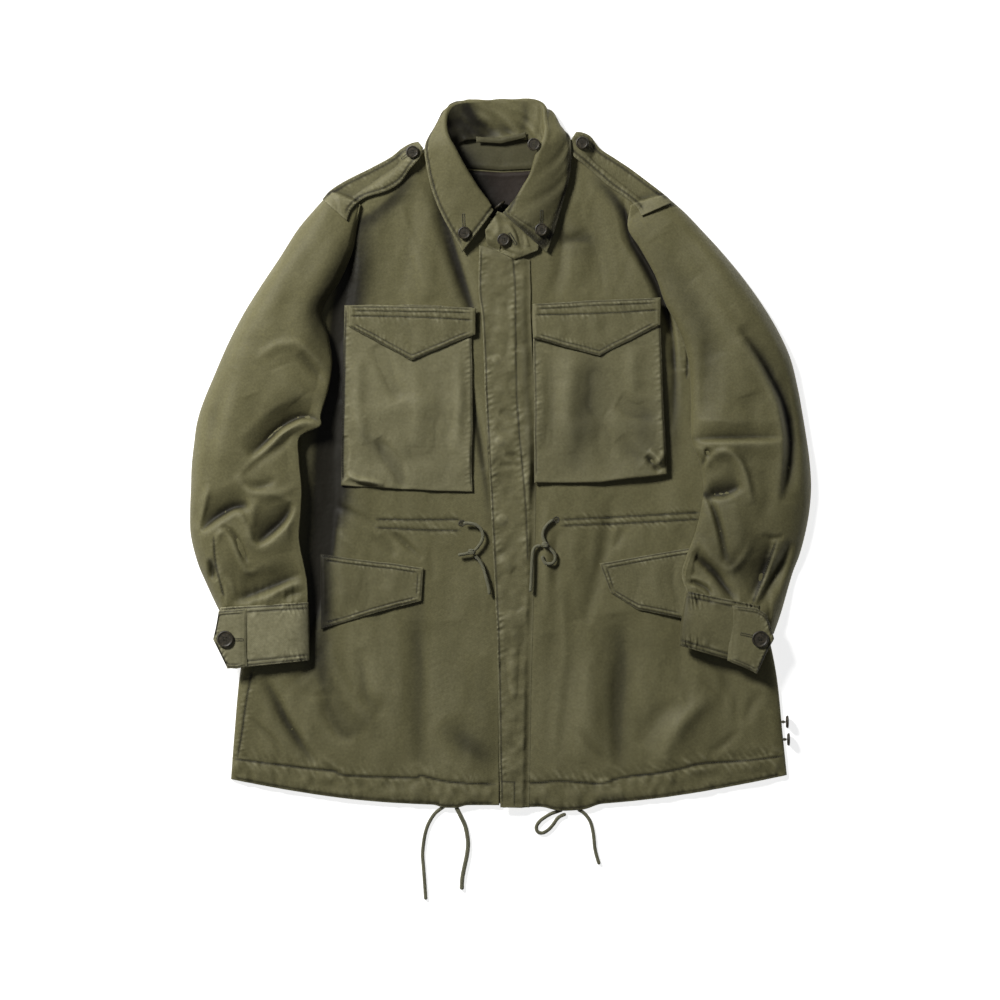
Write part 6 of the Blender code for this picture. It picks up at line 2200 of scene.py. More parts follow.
@dataclass
class Trim:
    """A trim piece ruled between two bent edges, lying soft on what is beneath it.

    step is its grid, crown its fullness, and level marks a stiff piece that bridges what is
    beneath it.  stitched are the sides that are topstitched, at the distances in insets,
    sunk is how far its first end dips, and flush are the folds along which it lies close
    to the cloth beneath.
    """

    node: str
    edges: Places
    look: Look = Look.TRIM
    wall: float = TRIM_WALL
    crown: float = 0.8
    step: float = TRIM_STEP
    folds: Places = ()
    stitched: tuple[str, ...] = ()
    insets: tuple[float, ...] = (1.8, 7.5)
    seams: tuple[Seam, ...] = ()
    bosses: Places = ()
    sunk: float = 0.0
    # rows of painted shade
    painted_shades: Places = ()
    flush: Places = ()
    reach: float = 4.5
    seed: int = 1
    level: bool = False
    waver: float = 0.7
    # painted light: how much paler the piece is painted where more light falls on it
    painted_light: float = 0.0
    rounds: int = 50
    unevenness: float = 0.7
    pucker: float = 0.3
    rests_on: tuple[str, ...] = ("floor",)

    def plan(self) -> Array:
        """The piece's grid in plan.

        Returns:
            Places seen from above.
        """
        upper, lower = (np.asarray(edge, float) for edge in self.edges)
        along = stepped(float(np.hypot(*np.diff(upper, axis=0).T).sum()), self.step)
        ends = np.hypot(*(upper[[0, -1]] - lower[[0, -1]]).T)
        wide = max(float(ends.max()), float(np.hypot(*(upper.mean(axis=0) - lower.mean(axis=0)))))
        return self.wavered(ruled(bent(upper, along), bent(lower, along), stepped(wide, self.step)))

    def wavered(self, plan: Array) -> Array:
        """The plan with slightly uneven edges, as sewn by hand and washed.

        Args:
            plan: Places seen from above.

        Returns:
            The same with an uneven rim.
        """
        x, y = plan[..., 0] / WAVER_SIZE, plan[..., 1] / WAVER_SIZE
        shift = np.dstack([noise(x, y, self.seed + 90 + turn) for turn in (0, 1)])
        return plan + self.waver * shift

    def build(self, shop: Shop) -> None:
        """Shape, dress and lay the piece.

        Args:
            shop: The workshop the piece is made in.
        """
        plan = self.plan()
        bare = np.maximum(shop.pile.height(plan), 0) + GAP
        ground = bare + self.wall
        if self.level:
            ground = np.full(ground.shape, ground.max())
        else:
            ground = draped(ground, SAG_PER_ROUND, self.rounds)
        away = rim_distance(level_grid(plan))
        puff = self.crown * turned_down(away, PUFF_EDGE)
        dressing = Dressing.plain(plan)
        flat = np.dstack([plan, ground])
        dressing.sew_all(plan, self.seams, self.seed)
        for boss in self.bosses:
            dressing.press(plan, *boss)
        for inset in self.insets:
            lines = edge_seams(flat, self.stitched, inset, groove=0.5, groove_width=1.0, pucker=self.pucker,
                               reach=self.reach, pitch=1.2 * self.reach)
            dressing.sew_all(plan, lines, self.seed + 10)
        if len(self.insets) > 1:
            band = (self.insets[0] + self.insets[-1]) / 2
            dressing.relief += BAND_HEIGHT * bell(away - band, BAND_WIDTH * band)
        loose = folded(plan, self.folds) + slack(plan, self.seed, self.unevenness)
        loose *= turned_down(away, LOOSE_EDGE)
        top = ground + puff + np.maximum(dressing.relief + loose, -puff - DEEPEST)
        top -= self.sunk * bell(run_along(flat[..., :2], 0), SUNK_REACH)
        top = self.settled(plan, bare, top)
        share = FLUSH_SHARE * np.clip(folded(plan, self.flush), 0, 1)
        top = top * (1 - share) + (bare - GAP + FLY_LEAST_WALL) * share
        # pale wear on crests, painted shade in dips and along the table
        dressing.fade(top, self.step)
        dressing.tone(plan, self.painted_shades)
        # painted light: the whole piece painted paler
        dressing.wear_and_painted_light += self.painted_light
        piece = Sheet(self.node, plan, top, self.wall, dressing, self.rests_on)
        shop.finish(piece, self.look)
        shop.topstitch(piece, self.stitched, self.insets)
        shop.stitch_seams(self.seams)

    def settled(self, plan: Array, bare: Array, top: Array) -> Array:
        """The heights of the piece over what is beneath it, for kinds of trim that change them."""
        return top


@dataclass
class Fly(Trim):
    """The long strip over the front opening, puckered along its edges."""

    def settled(self, plan: Array, bare: Array, top: Array) -> Array:
        """Wrinkle it, and let the lower half of the far edge run out into its panel.

        Args:
            plan: Places seen from above.
            bare: Heights of what is beneath.
            top: Heights of the piece.

        Returns:
            Heights of the piece as it lies.
        """
        across = run_along(plan, 1)
        flush = FLY_CLOSED + (1 - FLY_CLOSED) * np.clip((FLY_FLUSH - plan[..., 1]) / HEM_FADE, 0, 1)
        share = flush * np.exp(-(((across[:, -1:] - across) / FLY_FLUSH_REACH) ** 4))
        loose = np.maximum(top + FLY_WRINKLE * wrinkled(plan, FLY_WRINKLES, 51), bare + self.wall)
        return loose * (1 - share) + (bare - GAP + FLY_LEAST_WALL) * share

    def plan(self) -> Array:
        """The strip's grid, ruled between its two edges."""
        edges = laid_out(FLY_ROWS, self.step)
        return self.wavered(ruled(edges[:, :2], edges[:, 2:4], stepped(50, self.step)))


@dataclass
class ChestPocket(Trim):
    """A bellows bag that stands up from the front, with a slack face.

    puff is its depth, fullness that of its folds, and shoulder and slack_edge are how far
    from the rim its depth and its folds are complete.
    """

    puff: float = POCKET_PUFF
    step: float = 1.3
    insets: tuple[float, ...] = (2.2,)
    fullness: float = 1.3
    unevenness: float = 1.4
    shoulder: float = 3.4
    slack_edge: float = 6.0

    def build(self, shop: Shop) -> None:
        """Shape, dress and lay the bag.

        Args:
            shop: The workshop the piece is made in.
        """
        plan = self.plan()
        ground = draped(shop.pile.height(plan) + GAP + self.wall, *POCKET_SAG)
        away = rim_distance(level_grid(plan))
        dressing = Dressing.plain(plan)
        lines = edge_seams(np.dstack([plan, ground]), self.stitched, self.insets[0], groove=0.5,
                           groove_width=1.1, pucker=0.6, reach=6.0, pitch=6.4)
        dressing.sew_all(plan, lines, self.seed)
        loose = self.fullness * folded(plan, self.folds) + slack(plan, self.seed, self.unevenness)
        top = ground + self.puff * turned_down(away, self.shoulder)
        top = np.maximum(top + (dressing.relief + loose) * turned_down(away, self.slack_edge), ground)
        # pale wear on crests, painted shade in dips and along the table
        dressing.fade(top, self.step)
        dressing.tone(plan, self.painted_shades)
        # painted light: the whole bag painted paler
        dressing.wear_and_painted_light += self.painted_light
        piece = Sheet(self.node, plan, top, self.wall, dressing, self.rests_on)
        shop.finish(piece, self.look)
        shop.topstitch(piece, self.stitched, self.insets)


@dataclass
class Sleeve:
    """A sleeve: its under half, its arched upper half and its cuff's slit."""

    side: str
    rows: Places
    creases: Places
    swells: Places
    seed: int
    gathers: float = 1.8
    gathered: Places = ((1.0, 9.0, 40), (0.6, 4.05, 25))
    gather_reach: float = 24.0
    width: float = 190.0
    under_width: float = 130.0
    under_inset: tuple[float, float] = (0.9, 0.03)

    def under(self, shop: Shop) -> None:
        """The lower half, on the floor and on the body's side.

        Args:
            shop: The workshop the piece is made in.
        """
        edges = laid_out(self.rows, PLAIN_STEP)
        share, start = self.under_inset
        across = stepped(self.under_width, PLAIN_STEP) * share + start
        plan = ruled(edges[:, 2:4], edges[:, :2], across)
        ground = shop.pile.height(plan)
        rest = np.where(ground < 0, 0.0, ground + GAP) + SLEEVE_WALL
        lap_width, lap_clearance = SLEEVE_LAP
        lifted = edges[:, 5:6] - SLEEVE_WALL - lap_clearance
        rise = np.clip(1 - (across[None, :] - across[0]) / lap_width, 0, 1) ** 1.5
        top = rest + np.maximum(lifted - rest, 0) * rise
        node = f"sleeve_{self.side}_under"
        shop.finish(Sheet(node, plan, top, SLEEVE_WALL, Dressing.plain(plan)), Look.SHELL)

    def upper(self, shop: Shop, end: Places) -> None:
        """The upper half, an arch from fold to fold with the elbow's creases.

        Args:
            shop: The workshop.
            end: Table rows of the gathered end that goes into the cuff.
        """
        edges = laid_out(self.rows[:-1] + end, SLEEVE_STEP)
        across = arched_shares(self.width, SLEEVE_STEP)
        plan = ruled(edges[:, 2:4], edges[:, :2], across)
        share = across[None, :]
        chord = edges[:, 5:6] * (1 - share) + FOLD_EDGE_HEIGHT * share
        shoulders, crown = SLEEVE_ARCH
        arch = (1 - abs(2 * share - 1) ** shoulders) ** crown
        fade = np.clip(np.minimum(share, 1 - share) / SLEEVE_FOLD_MARGIN, 0, 1)
        dressing = Dressing.plain(plan)
        slit = Seam(SLIT_SEAMS[self.side], groove=0.8, pucker=0.5, reach=5.0, pitch=6.0)
        dressing.sew(plan, slit, self.seed)
        from_end = distance_to(plan, plan[-1], 4 * self.gather_reach)
        run = run_along(plan, 1)
        gather = wrinkled(np.dstack([run, from_end]), self.gathered, self.seed)
        past = np.maximum(from_end - GATHER_FULL, 0) / self.gather_reach
        gather *= self.gathers * np.exp(-(past**GATHER_FADE))
        gather *= np.clip(from_end / GATHER_FULL, GATHER_LEAST, 1)
        clear_of_end = np.clip(from_end / GATHER_CLEAR, 0, 1)
        deep = eased(folded(plan, self.creases, crisp=True), 2)
        # painted shade in the elbow's creases and along the table
        dressing.deepen(deep, *ELBOW_DEEP)
        dressing.tone(plan, SLEEVE_PAINTED_SHADE[self.side])
        loose = (deep + folded(plan, self.swells) + slack(plan, self.seed, 1.5)) * clear_of_end
        loose += dressing.relief + gather
        # pale wear on crests and painted shade in dips
        dressing.fade(loose, SLEEVE_STEP)
        top = chord + (edges[:, 4:5] - chord) * arch + loose * fade
        ground = shop.pile.height(plan)
        top = np.maximum(top, np.where(ground < 0, SLEEVE_WALL, ground + GAP + SLEEVE_WALL))
        node = f"sleeve_{self.side}_top"
        rests = (f"sleeve_{self.side}_under_cloth", "floor")
        shop.finish(Sheet(node, plan, top, SLEEVE_WALL, dressing, rests), Look.SHELL)
        shop.stitch_seams((slit,))


@dataclass
class Cuff:
    """A stitched band, flattened to a low oval ring round the sleeve's end.

    face tells how high up the ring, as shares of its half height, the cloth is dressed,
    sewn and at its full relief.
    """

    side: str
    rows: Places
    seed: int
    # painted light: how much paler the band is painted where more light falls on it, darker below 0
    painted_light: float = 0.0
    edge_wear: float = 0.4
    columns: int = 190
    base: float = 0.0
    stitched_rows: tuple[int, int] = (3, -4)
    band: float = 5.0
    face: tuple[float, float, float] = (0.2, 0.3, 0.5)

    def rest(self, shop: Shop) -> None:
        """Find how high the band lies, before its sleeve is there.

        Args:
            shop: The workshop the piece is made in.
        """
        edges = even(self.rows, 40)
        plan = ruled(edges[:, :2], edges[:, 2:4], np.linspace(0.04, 0.96, 30))
        self.base = float(shop.pile.height(plan).max()) + GAP

    def sleeve_end(self) -> Places:
        """Two more table rows for the sleeve, whose gathered end goes into the band."""
        ends = SLEEVE_ENDS[self.side]
        return tuple((*row[:4], row[4] + self.base, row[5] + self.base) for row in ends)

    def stitch_paths(self, line: Array, row: int) -> list[Array]:
        """The two lines of stitches beside an end of the band, one of them its own width inside."""
        inwards = self.band if row < 0 else -self.band
        return [line + (0, shift) for shift in (0.0, inwards)]

    def build(self, shop: Shop) -> None:
        """Make the ring as one closed wall and lay it.

        Args:
            shop: The workshop the piece is made in.
        """
        edges = laid_out(self.rows, CUFF_STEP)
        outer, inner = edges[:, :2], edges[:, 2:4]
        base = self.base
        angles = np.linspace(0, 2 * math.pi, self.columns, endpoint=False)
        flat = np.sign(np.cos(angles)) * abs(np.cos(angles)) ** CUFF_OVAL[0]
        tall = np.sign(np.sin(angles)) * abs(np.sin(angles)) ** CUFF_OVAL[1]
        half = (inner - outer)[:, None, :] / 2
        reach = np.linalg.norm(half, axis=-1, keepdims=True)
        middle = (outer + inner)[:, None, :] / 2
        plan = middle + half * flat[None, :, None]
        run = run_along(middle, 0)
        edge = np.minimum(run, run[-1] - run)
        dressing = Dressing.plain(plan)
        dressed, sewn, full = self.face
        upper = tall[None, :] > dressed
        for row in self.stitched_rows:
            for turn, path in enumerate(self.stitch_paths(plan[row][upper[0]], row)):
                seam = Seam(points_of(path[::3]), groove=0.6, groove_width=1.3, pucker=1.5, reach=8.5,
                            pitch=4.8, curved=False)
                dressing.sew(plan, seam, self.seed + turn + row)
        relief = (dressing.relief + slack(plan, self.seed, 1.6)) * np.clip(tall[None, :] / full, 0, 1)
        # pale wear on crests and painted shade in dips
        dressing.fade(relief, CUFF_STEP)
        # painted light: the whole band painted paler or darker
        dressing.wear_and_painted_light += self.painted_light
        from_inner = np.linalg.norm(plan - inner[:, None], axis=-1)
        # painted shade along the inner fold of the band
        dressing.painted_shade += INNER_FOLD_SHADE * bell(from_inner, INNER_FOLD_WIDTH)
        level = base + CUFF_HEIGHT / 2
        shells = []
        for shrink in (0.0, CUFF_WALL):
            place = middle + half * flat[None, :, None] * (1 - shrink / reach)
            height = level + tall[None, :] * (CUFF_HEIGHT / 2 - shrink) + relief
            shells.append(np.dstack([place, np.broadcast_to(height, place.shape[:2])]))
        outside, inside = shells
        centre = (outside + inside) / 2
        round_off = turned_down(edge, RIM_ROUNDING * CUFF_WALL)[..., None]
        outside = centre + (outside - centre) * round_off
        inside = centre - (centre - inside) * round_off
        loop = np.concatenate([outside, inside[-2:0:-1]])
        count, columns = loop.shape[:2]
        index = np.arange(count * columns).reshape(count, columns)
        after = np.roll(index, -1, axis=0)
        faces = np.stack([index, np.roll(index, -1, 1), np.roll(after, -1, 1), after], axis=-1)
        across = run_along(centre, 1)
        laid = np.stack([across, np.broadcast_to(run, across.shape)], axis=-1)
        laid = np.concatenate([laid, laid[-2:0:-1]]).reshape(-1, 2)
        node = "cuff_" + self.side
        mesh = closed_mesh(node + "_cloth", loop, faces.reshape(-1, 4).tolist(), laid)
        paint(mesh, "wear_and_painted_light", np.where(upper, dressing.wear_and_painted_light, 0) + self.edge_wear * bell(edge, EDGE_BAND))
        paint(mesh, "painted_shade", np.where(upper, dressing.painted_shade, 0))
        made = show(node + "_cloth", mesh, material_of(Look.TRIM), node)
        closed = np.concatenate([centre, centre[:, :1]], axis=1)
        declare_cloth(made, closed)
        shop.pile.lay(outside[:, tall >= 0])
        for row in self.stitched_rows:
            for path in self.stitch_paths(plan[row][tall > sewn], row):
                shop.stitches.along(path, shop.pile, STITCH_PITCH)


@dataclass
class Strap:
    """A shoulder strap from the sleeve head to its button at the collar."""

    side: str
    rows: Places
    seed: int
    width: float = 40.0
    crown: float = 1.5
    insets: tuple[float, ...] = (1.6, 5.0)

    def build(self, shop: Shop) -> None:
        """Shape, dress and lay the strap.

        Args:
            shop: The workshop the piece is made in.
        """
        edges = laid_out(self.rows, TRIM_STEP, 3)
        share = stepped(self.width, TRIM_STEP)
        plan = ruled(edges[:, :2], edges[:, 3:5], share)
        crown = self.crown * np.sin(math.pi * share)[None, :]
        top = edges[:, 2:3] * (1 - share) + edges[:, 5:6] * share + crown
        ground = shop.pile.height(plan) + GAP + STRAP_WALL
        along = run_along(plan, 0)
        laid = STRAP_LAID * (1 - np.exp(-(((along[-1:] - along) / STRAP_HELD) ** 4)))
        top += laid * (np.minimum(draped(ground, *STRAP_SAG) + crown, top) - top)
        dressing = Dressing.plain(plan)
        flat = np.dstack([plan, top])
        sides = ("low", "high", "end")
        lines = edge_seams(flat, sides, self.insets[-1], groove=0.35, pucker=0.35, reach=5.0, pitch=5.5)
        dressing.sew_all(plan, lines, self.seed)
        top = top + dressing.relief + slack(plan, self.seed, 1.2)
        top = np.maximum(top, draped(ground, *STRAP_LIFT))
        # pale wear on crests and painted shade in dips
        dressing.fade(top, TRIM_STEP)
        piece = Sheet("shoulder_strap_" + self.side, plan, top, STRAP_WALL, dressing,
                      ("front_" + self.side + "_cloth",))
        shop.finish(piece, Look.TRIM)
        shop.topstitch(piece, sides, self.insets)


@dataclass
class Collar:
    """Stand and fall in one rolled piece round the neck, with pointed leaves."""

    rows: int = 300
    hover: float = 0.8
    edge_wear: float = 0.8
    stand_shares: Array = field(default_factory=lambda: np.r_[0, 0.012, 0.03, np.linspace(0.07, 1, 17)])
    fall_shares: Array = field(
        default_factory=lambda: np.r_[np.linspace(0, 0.93, 32)[1:], 0.955, 0.975, 0.99, 1]
    )
    roll_turns: int = 9
    stitched: tuple[str, ...] = ("low", "start", "end")
    insets: tuple[float, ...] = (1.8, 5.2)
    easing: int = 6
    seam_inset: float = 4.8
    seed: int = 40

    def centre(self, pile: Pile) -> Array:
        """Grid of points through the middle of the cloth, stations by profile.

        Args:
            pile: What lies there already.

        Returns:
            Places of the middle of the cloth, from the stand to the leaf's edge.
        """
        dense = even(COLLAR_STATIONS, 60 * len(COLLAR_STATIONS))
        run = run_along(dense[None, :, 6:9], 1)[0] + run_along(dense[None, :, 3:6], 1)[0]
        places = np.interp(stepped(run[-1], run[-1] / self.rows) * run[-1], run,
                           np.linspace(0, len(COLLAR_STATIONS) - 1, len(dense)))
        stations = through(COLLAR_STATIONS, places)
        seam, roll, edge = stations[:, None, :3], stations[:, None, 3:6], stations[:, None, 6:9]
        forward = unit(np.gradient(stations[:, 3:6], axis=0) / np.gradient(places)[:, None])[:, None]
        to_seam, to_edge = unit(seam - roll), unit(edge - roll)
        inwards = unit(to_seam + to_edge)
        stand_side = to_seam - to_edge
        for axis in (forward, inwards):
            stand_side = stand_side - axis * (stand_side * axis).sum(axis=-1, keepdims=True)
        stand_side = unit(stand_side)
        hub = roll + inwards * COLLAR_ROLL
        stand_top, fall_top = hub + stand_side * COLLAR_ROLL, hub - stand_side * COLLAR_ROLL
        share = self.stand_shares[None, :, None]
        stand = seam * (1 - share) + stand_top * share
        turn = np.linspace(0, math.pi, self.roll_turns + 2)[None, 1:-1, None]
        fold = hub + (stand_side * np.cos(turn) - inwards * np.sin(turn)) * COLLAR_ROLL
        share = self.fall_shares[None, :, None]
        belly = stand_side * COLLAR_BELLY * np.sin(math.pi * share)
        fall = fall_top * (1 - share) + edge * share - belly
        centre = np.concatenate([stand, fold, fall_top, fall], axis=1)
        ground = pile.height(centre[..., :2])
        clear = ground + GAP + COLLAR_WALL / 2 + self.hover
        needed = np.where(ground < 0, COLLAR_WALL / 2 + 0.1, clear)
        centre[..., 2] = np.maximum(centre[..., 2], needed)
        return centre

    def build(self, shop: Shop) -> None:
        """Wrap, dress and lay the collar.

        Args:
            shop: The workshop the piece is made in.
        """
        centre = self.centre(shop.pile)
        smooth = centre.copy()
        for _ in range(self.easing):
            inside, around = smooth[1:-1, 1:-1], smooth[:-2, 1:-1] + smooth[2:, 1:-1]
            smooth[1:-1, 1:-1] = (inside * 4 + around + smooth[1:-1, :-2] + smooth[1:-1, 2:]) / 8
        flat = np.stack([run_along(centre, 0), run_along(centre, 1)], axis=-1)
        normal = unit(np.cross(np.gradient(smooth, axis=0), np.gradient(smooth, axis=1)))
        if normal[LEAF_SPOT][2] < 0:
            normal = -normal
        dressing = Dressing.plain(flat)
        lines = edge_seams(level_grid(flat), self.stitched, self.seam_inset, groove=0.8, pucker=0.7,
                           reach=5.0, pitch=6.0)
        dressing.sew_all(flat, lines, self.seed)
        in_stand = np.clip(1 - np.arange(flat.shape[1]) / len(self.stand_shares), 0, 1) ** 0.5
        folds_across = wrinkled(flat, COLLAR_WRINKLES, 5) + in_stand * wrinkled(flat, STAND_WRINKLES, 7)
        away = rim_distance(smooth)
        relief = (dressing.relief + folds_across + slack(flat, 9, 0.8)) * turned_down(away, 3.0)
        # pale wear on crests and painted shade in dips, then painted shade on the stand and the leaves
        dressing.fade(relief, CUFF_STEP)
        for painted_shades, where in ((COLLAR_PAINTED_SHADE, in_stand > 0), (LEAF_PAINTED_SHADE, in_stand == 0)):
            dressing.painted_shade += np.clip(folded(smooth[..., :2], painted_shades), 0, TONE_LIMIT) * where
        thick = COLLAR_WALL / 2 * turned_down(away, RIM_ROUNDING * COLLAR_WALL)
        lifted = smooth + normal * relief[..., None]
        outer, inner = lifted + normal * thick[..., None], lifted - normal * thick[..., None]
        for face in (outer, inner):
            face[..., 2] = np.maximum(face[..., 2], 0.0)
        mesh = wall_mesh("collar_cloth", outer, inner)
        paint(mesh, "wear_and_painted_light", dressing.wear_and_painted_light + self.edge_wear * bell(away, EDGE_BAND))
        paint(mesh, "painted_shade", dressing.painted_shade)
        made = show("collar_cloth", mesh, material_of(Look.SHELL), "collar")
        declare_cloth(made, smooth)
        shop.pile.lay(outer)
        for inset in self.insets:
            for side in self.stitched:
                shop.stitches.row(side_line(outer, side, inset), STITCH_PITCH)


# Growth and rise, step by step, of a button's side, rim and dish.
BUTTON_PROFILE = (
    (0.16, 1.0), (0.03, 0.5), (-0.02, 0.9), (-0.06, 0.45),
    (-0.10, 0.12), (-0.08, -0.5), (-0.08, -0.35), (-0.05, 0.0),
)
BUTTON_FOOT = 0.86        # radius of its foot, of its holes and of the ring they are on, in radii
HOLE_RADIUS = 0.095
HOLE_PLACE = 0.2
CROSS_HEIGHT = 1.55       # height of the crossed threads over a button's foot
CROSS_THREAD = 1.5
THREAD_APART = 0.35 * 0.7
SHANK_APART = 0.8         # spacing, thickness and length of the threads of a standing button
SHANK_THREAD = 3.4
SHANK_REACH = 1.3
GAP_UNDER_RIM = 0.1


@dataclass
class Buttons:
    """The four-hole buttons, modelled once and copied with their own meshes."""

    master: Any = None
    rings: tuple[float, ...] = (0.02, 0.5, 0.95)

    def model(self) -> bpy.types.Object:
        """Model a button of radius 1 mm and true height: rim, dish and four holes.

        Returns:
            The modelled button, with its holes.
        """
        bpy.ops.object.select_all(action="DESELECT")
        bpy.ops.mesh.primitive_circle_add(vertices=40, radius=BUTTON_FOOT * MM, fill_type="NGON")
        made = bpy.context.active_object
        bpy.ops.object.mode_set(mode="EDIT")
        bpy.ops.mesh.select_all(action="SELECT")
        for grow, rise in BUTTON_PROFILE:
            bpy.ops.mesh.extrude_region_move(TRANSFORM_OT_translate={"value": (0, 0, rise * MM)})
            factor = 1 + grow
            bpy.ops.transform.resize(value=(factor, factor, 1), center_override=(0, 0, 0))
        bpy.ops.mesh.select_all(action="SELECT")
        bpy.ops.mesh.normals_make_consistent(inside=False)
        bpy.ops.object.mode_set(mode="OBJECT")
        for angle in map(math.radians, (45, 135, 225, 315)):
            bpy.ops.object.select_all(action="DESELECT")
            bpy.ops.mesh.primitive_cylinder_add(
                vertices=12, radius=HOLE_RADIUS * MM, depth=9 * MM,
                location=(HOLE_PLACE * MM * math.cos(angle), HOLE_PLACE * MM * math.sin(angle), 1.5 * MM),
            )
            drill = bpy.context.active_object
            bpy.ops.object.select_all(action="DESELECT")
            bpy.context.view_layer.objects.active = made
            made.select_set(True)
            cut = made.modifiers.new("hole", "BOOLEAN")
            cut.operation, cut.object = "DIFFERENCE", drill
            bpy.ops.object.modifier_apply(modifier=cut.name)
            bpy.data.objects.remove(drill, do_unlink=True)
        return made

    def place(self, name: str, points: Array) -> bpy.types.Object:
        """A copy of the button with its points moved to their places in mm.

        Args:
            name: Name of the button.
            points: Where the model's points go.

        Returns:
            The made object.
        """
        mesh = self.master.data.copy()
        mesh.name = name
        mesh.vertices.foreach_set("co", (points * MM).ravel())
        mesh.update()
        mesh.shade_smooth()
        mesh.set_sharp_from_angle(angle=math.radians(SHADE_ANGLE))
        return show(name + "_horn", mesh, material_of(Look.BUTTON), name)

    def build(self, shop: Shop) -> None:
        """Set all buttons on the cloth and sew them on.

        Args:
            shop: The workshop the piece is made in.
        """
        self.master = self.model()
        base = np.empty(len(self.master.data.vertices) * 3)
        self.master.data.vertices.foreach_get("co", base)
        base = base.reshape(-1, 3) / MM
        for name, x, y, diameter in BUTTONS:
            radius = diameter / 2
            turns = np.linspace(0, 2 * math.pi, 24, endpoint=False)
            rim = radius * np.stack([np.cos(turns), np.sin(turns)], axis=1)
            spots = np.array([(x, y) + share * rim for share in self.rings])
            ground = shop.pile.height(spots).max() + GAP
            points = base * (radius, radius, 1.0) + (x, y, ground)
            self.place(name, points)
            place = np.array((x, y, ground + CROSS_HEIGHT))
            for a, b in ((1, 1), (1, -1)):
                reach = np.array((a, b, 0)) * HOLE_PLACE * radius
                for shift in (-THREAD_APART, THREAD_APART):
                    middle = place + np.array((-b, a, 0)) * shift
                    shop.stitches.bar(middle - reach, middle + reach, CROSS_THREAD)
        for name, x, y, ground, heading, shank in BUTTONS_ON_EDGE:
            radius = SMALL_BUTTON / 2
            turn = math.radians(heading)
            ahead = base[:, 2]
            aside, upright = base[:, 0] * radius, base[:, 1] * radius
            points = np.stack([
                x + ahead * math.cos(turn) - aside * math.sin(turn),
                y + ahead * math.sin(turn) + aside * math.cos(turn),
                ground + radius + GAP_UNDER_RIM + upright,
            ], axis=1)
            self.place(name, points)
            back = np.array((math.cos(turn), math.sin(turn), 0)) * -shank
            foot = np.array((x, y, ground + radius))
            for shift in (-SHANK_APART, 0.0, SHANK_APART):
                for sink in (-SHANK_APART, SHANK_APART):
                    start = foot + (0, shift, sink)
                    shop.stitches.bar(start, start + back * SHANK_REACH, SHANK_THREAD)
        bpy.data.objects.remove(self.master, do_unlink=True)


ROUTE_POINTS = 40         # points to each handle of a cord's route
ROUTE_STRIDE = 8
BRAID = (4, 0.9, 0.055)   # strands each way, how fast they turn and how deep they lie
CUT_END = 0.25
END_ROUNDING = 0.9        # rounding of a cut end against the cord's radius
ABOVE_FLOOR = 0.02
KNOT_TURNS = 2.6
KNOT_POINTS = 90
KNOT_REACH = 0.78         # the knot's reach, half length and strand against the cord's diameter
KNOT_LENGTH = 0.62
KNOT_STRAND = 0.42
KNOT_ROUND = (0.95, 0.8)  # how wide and how tall its turns are
KNOT_SWAY = (1.0, 0.4, 0.5)
KNOT_LIFT = 0.6


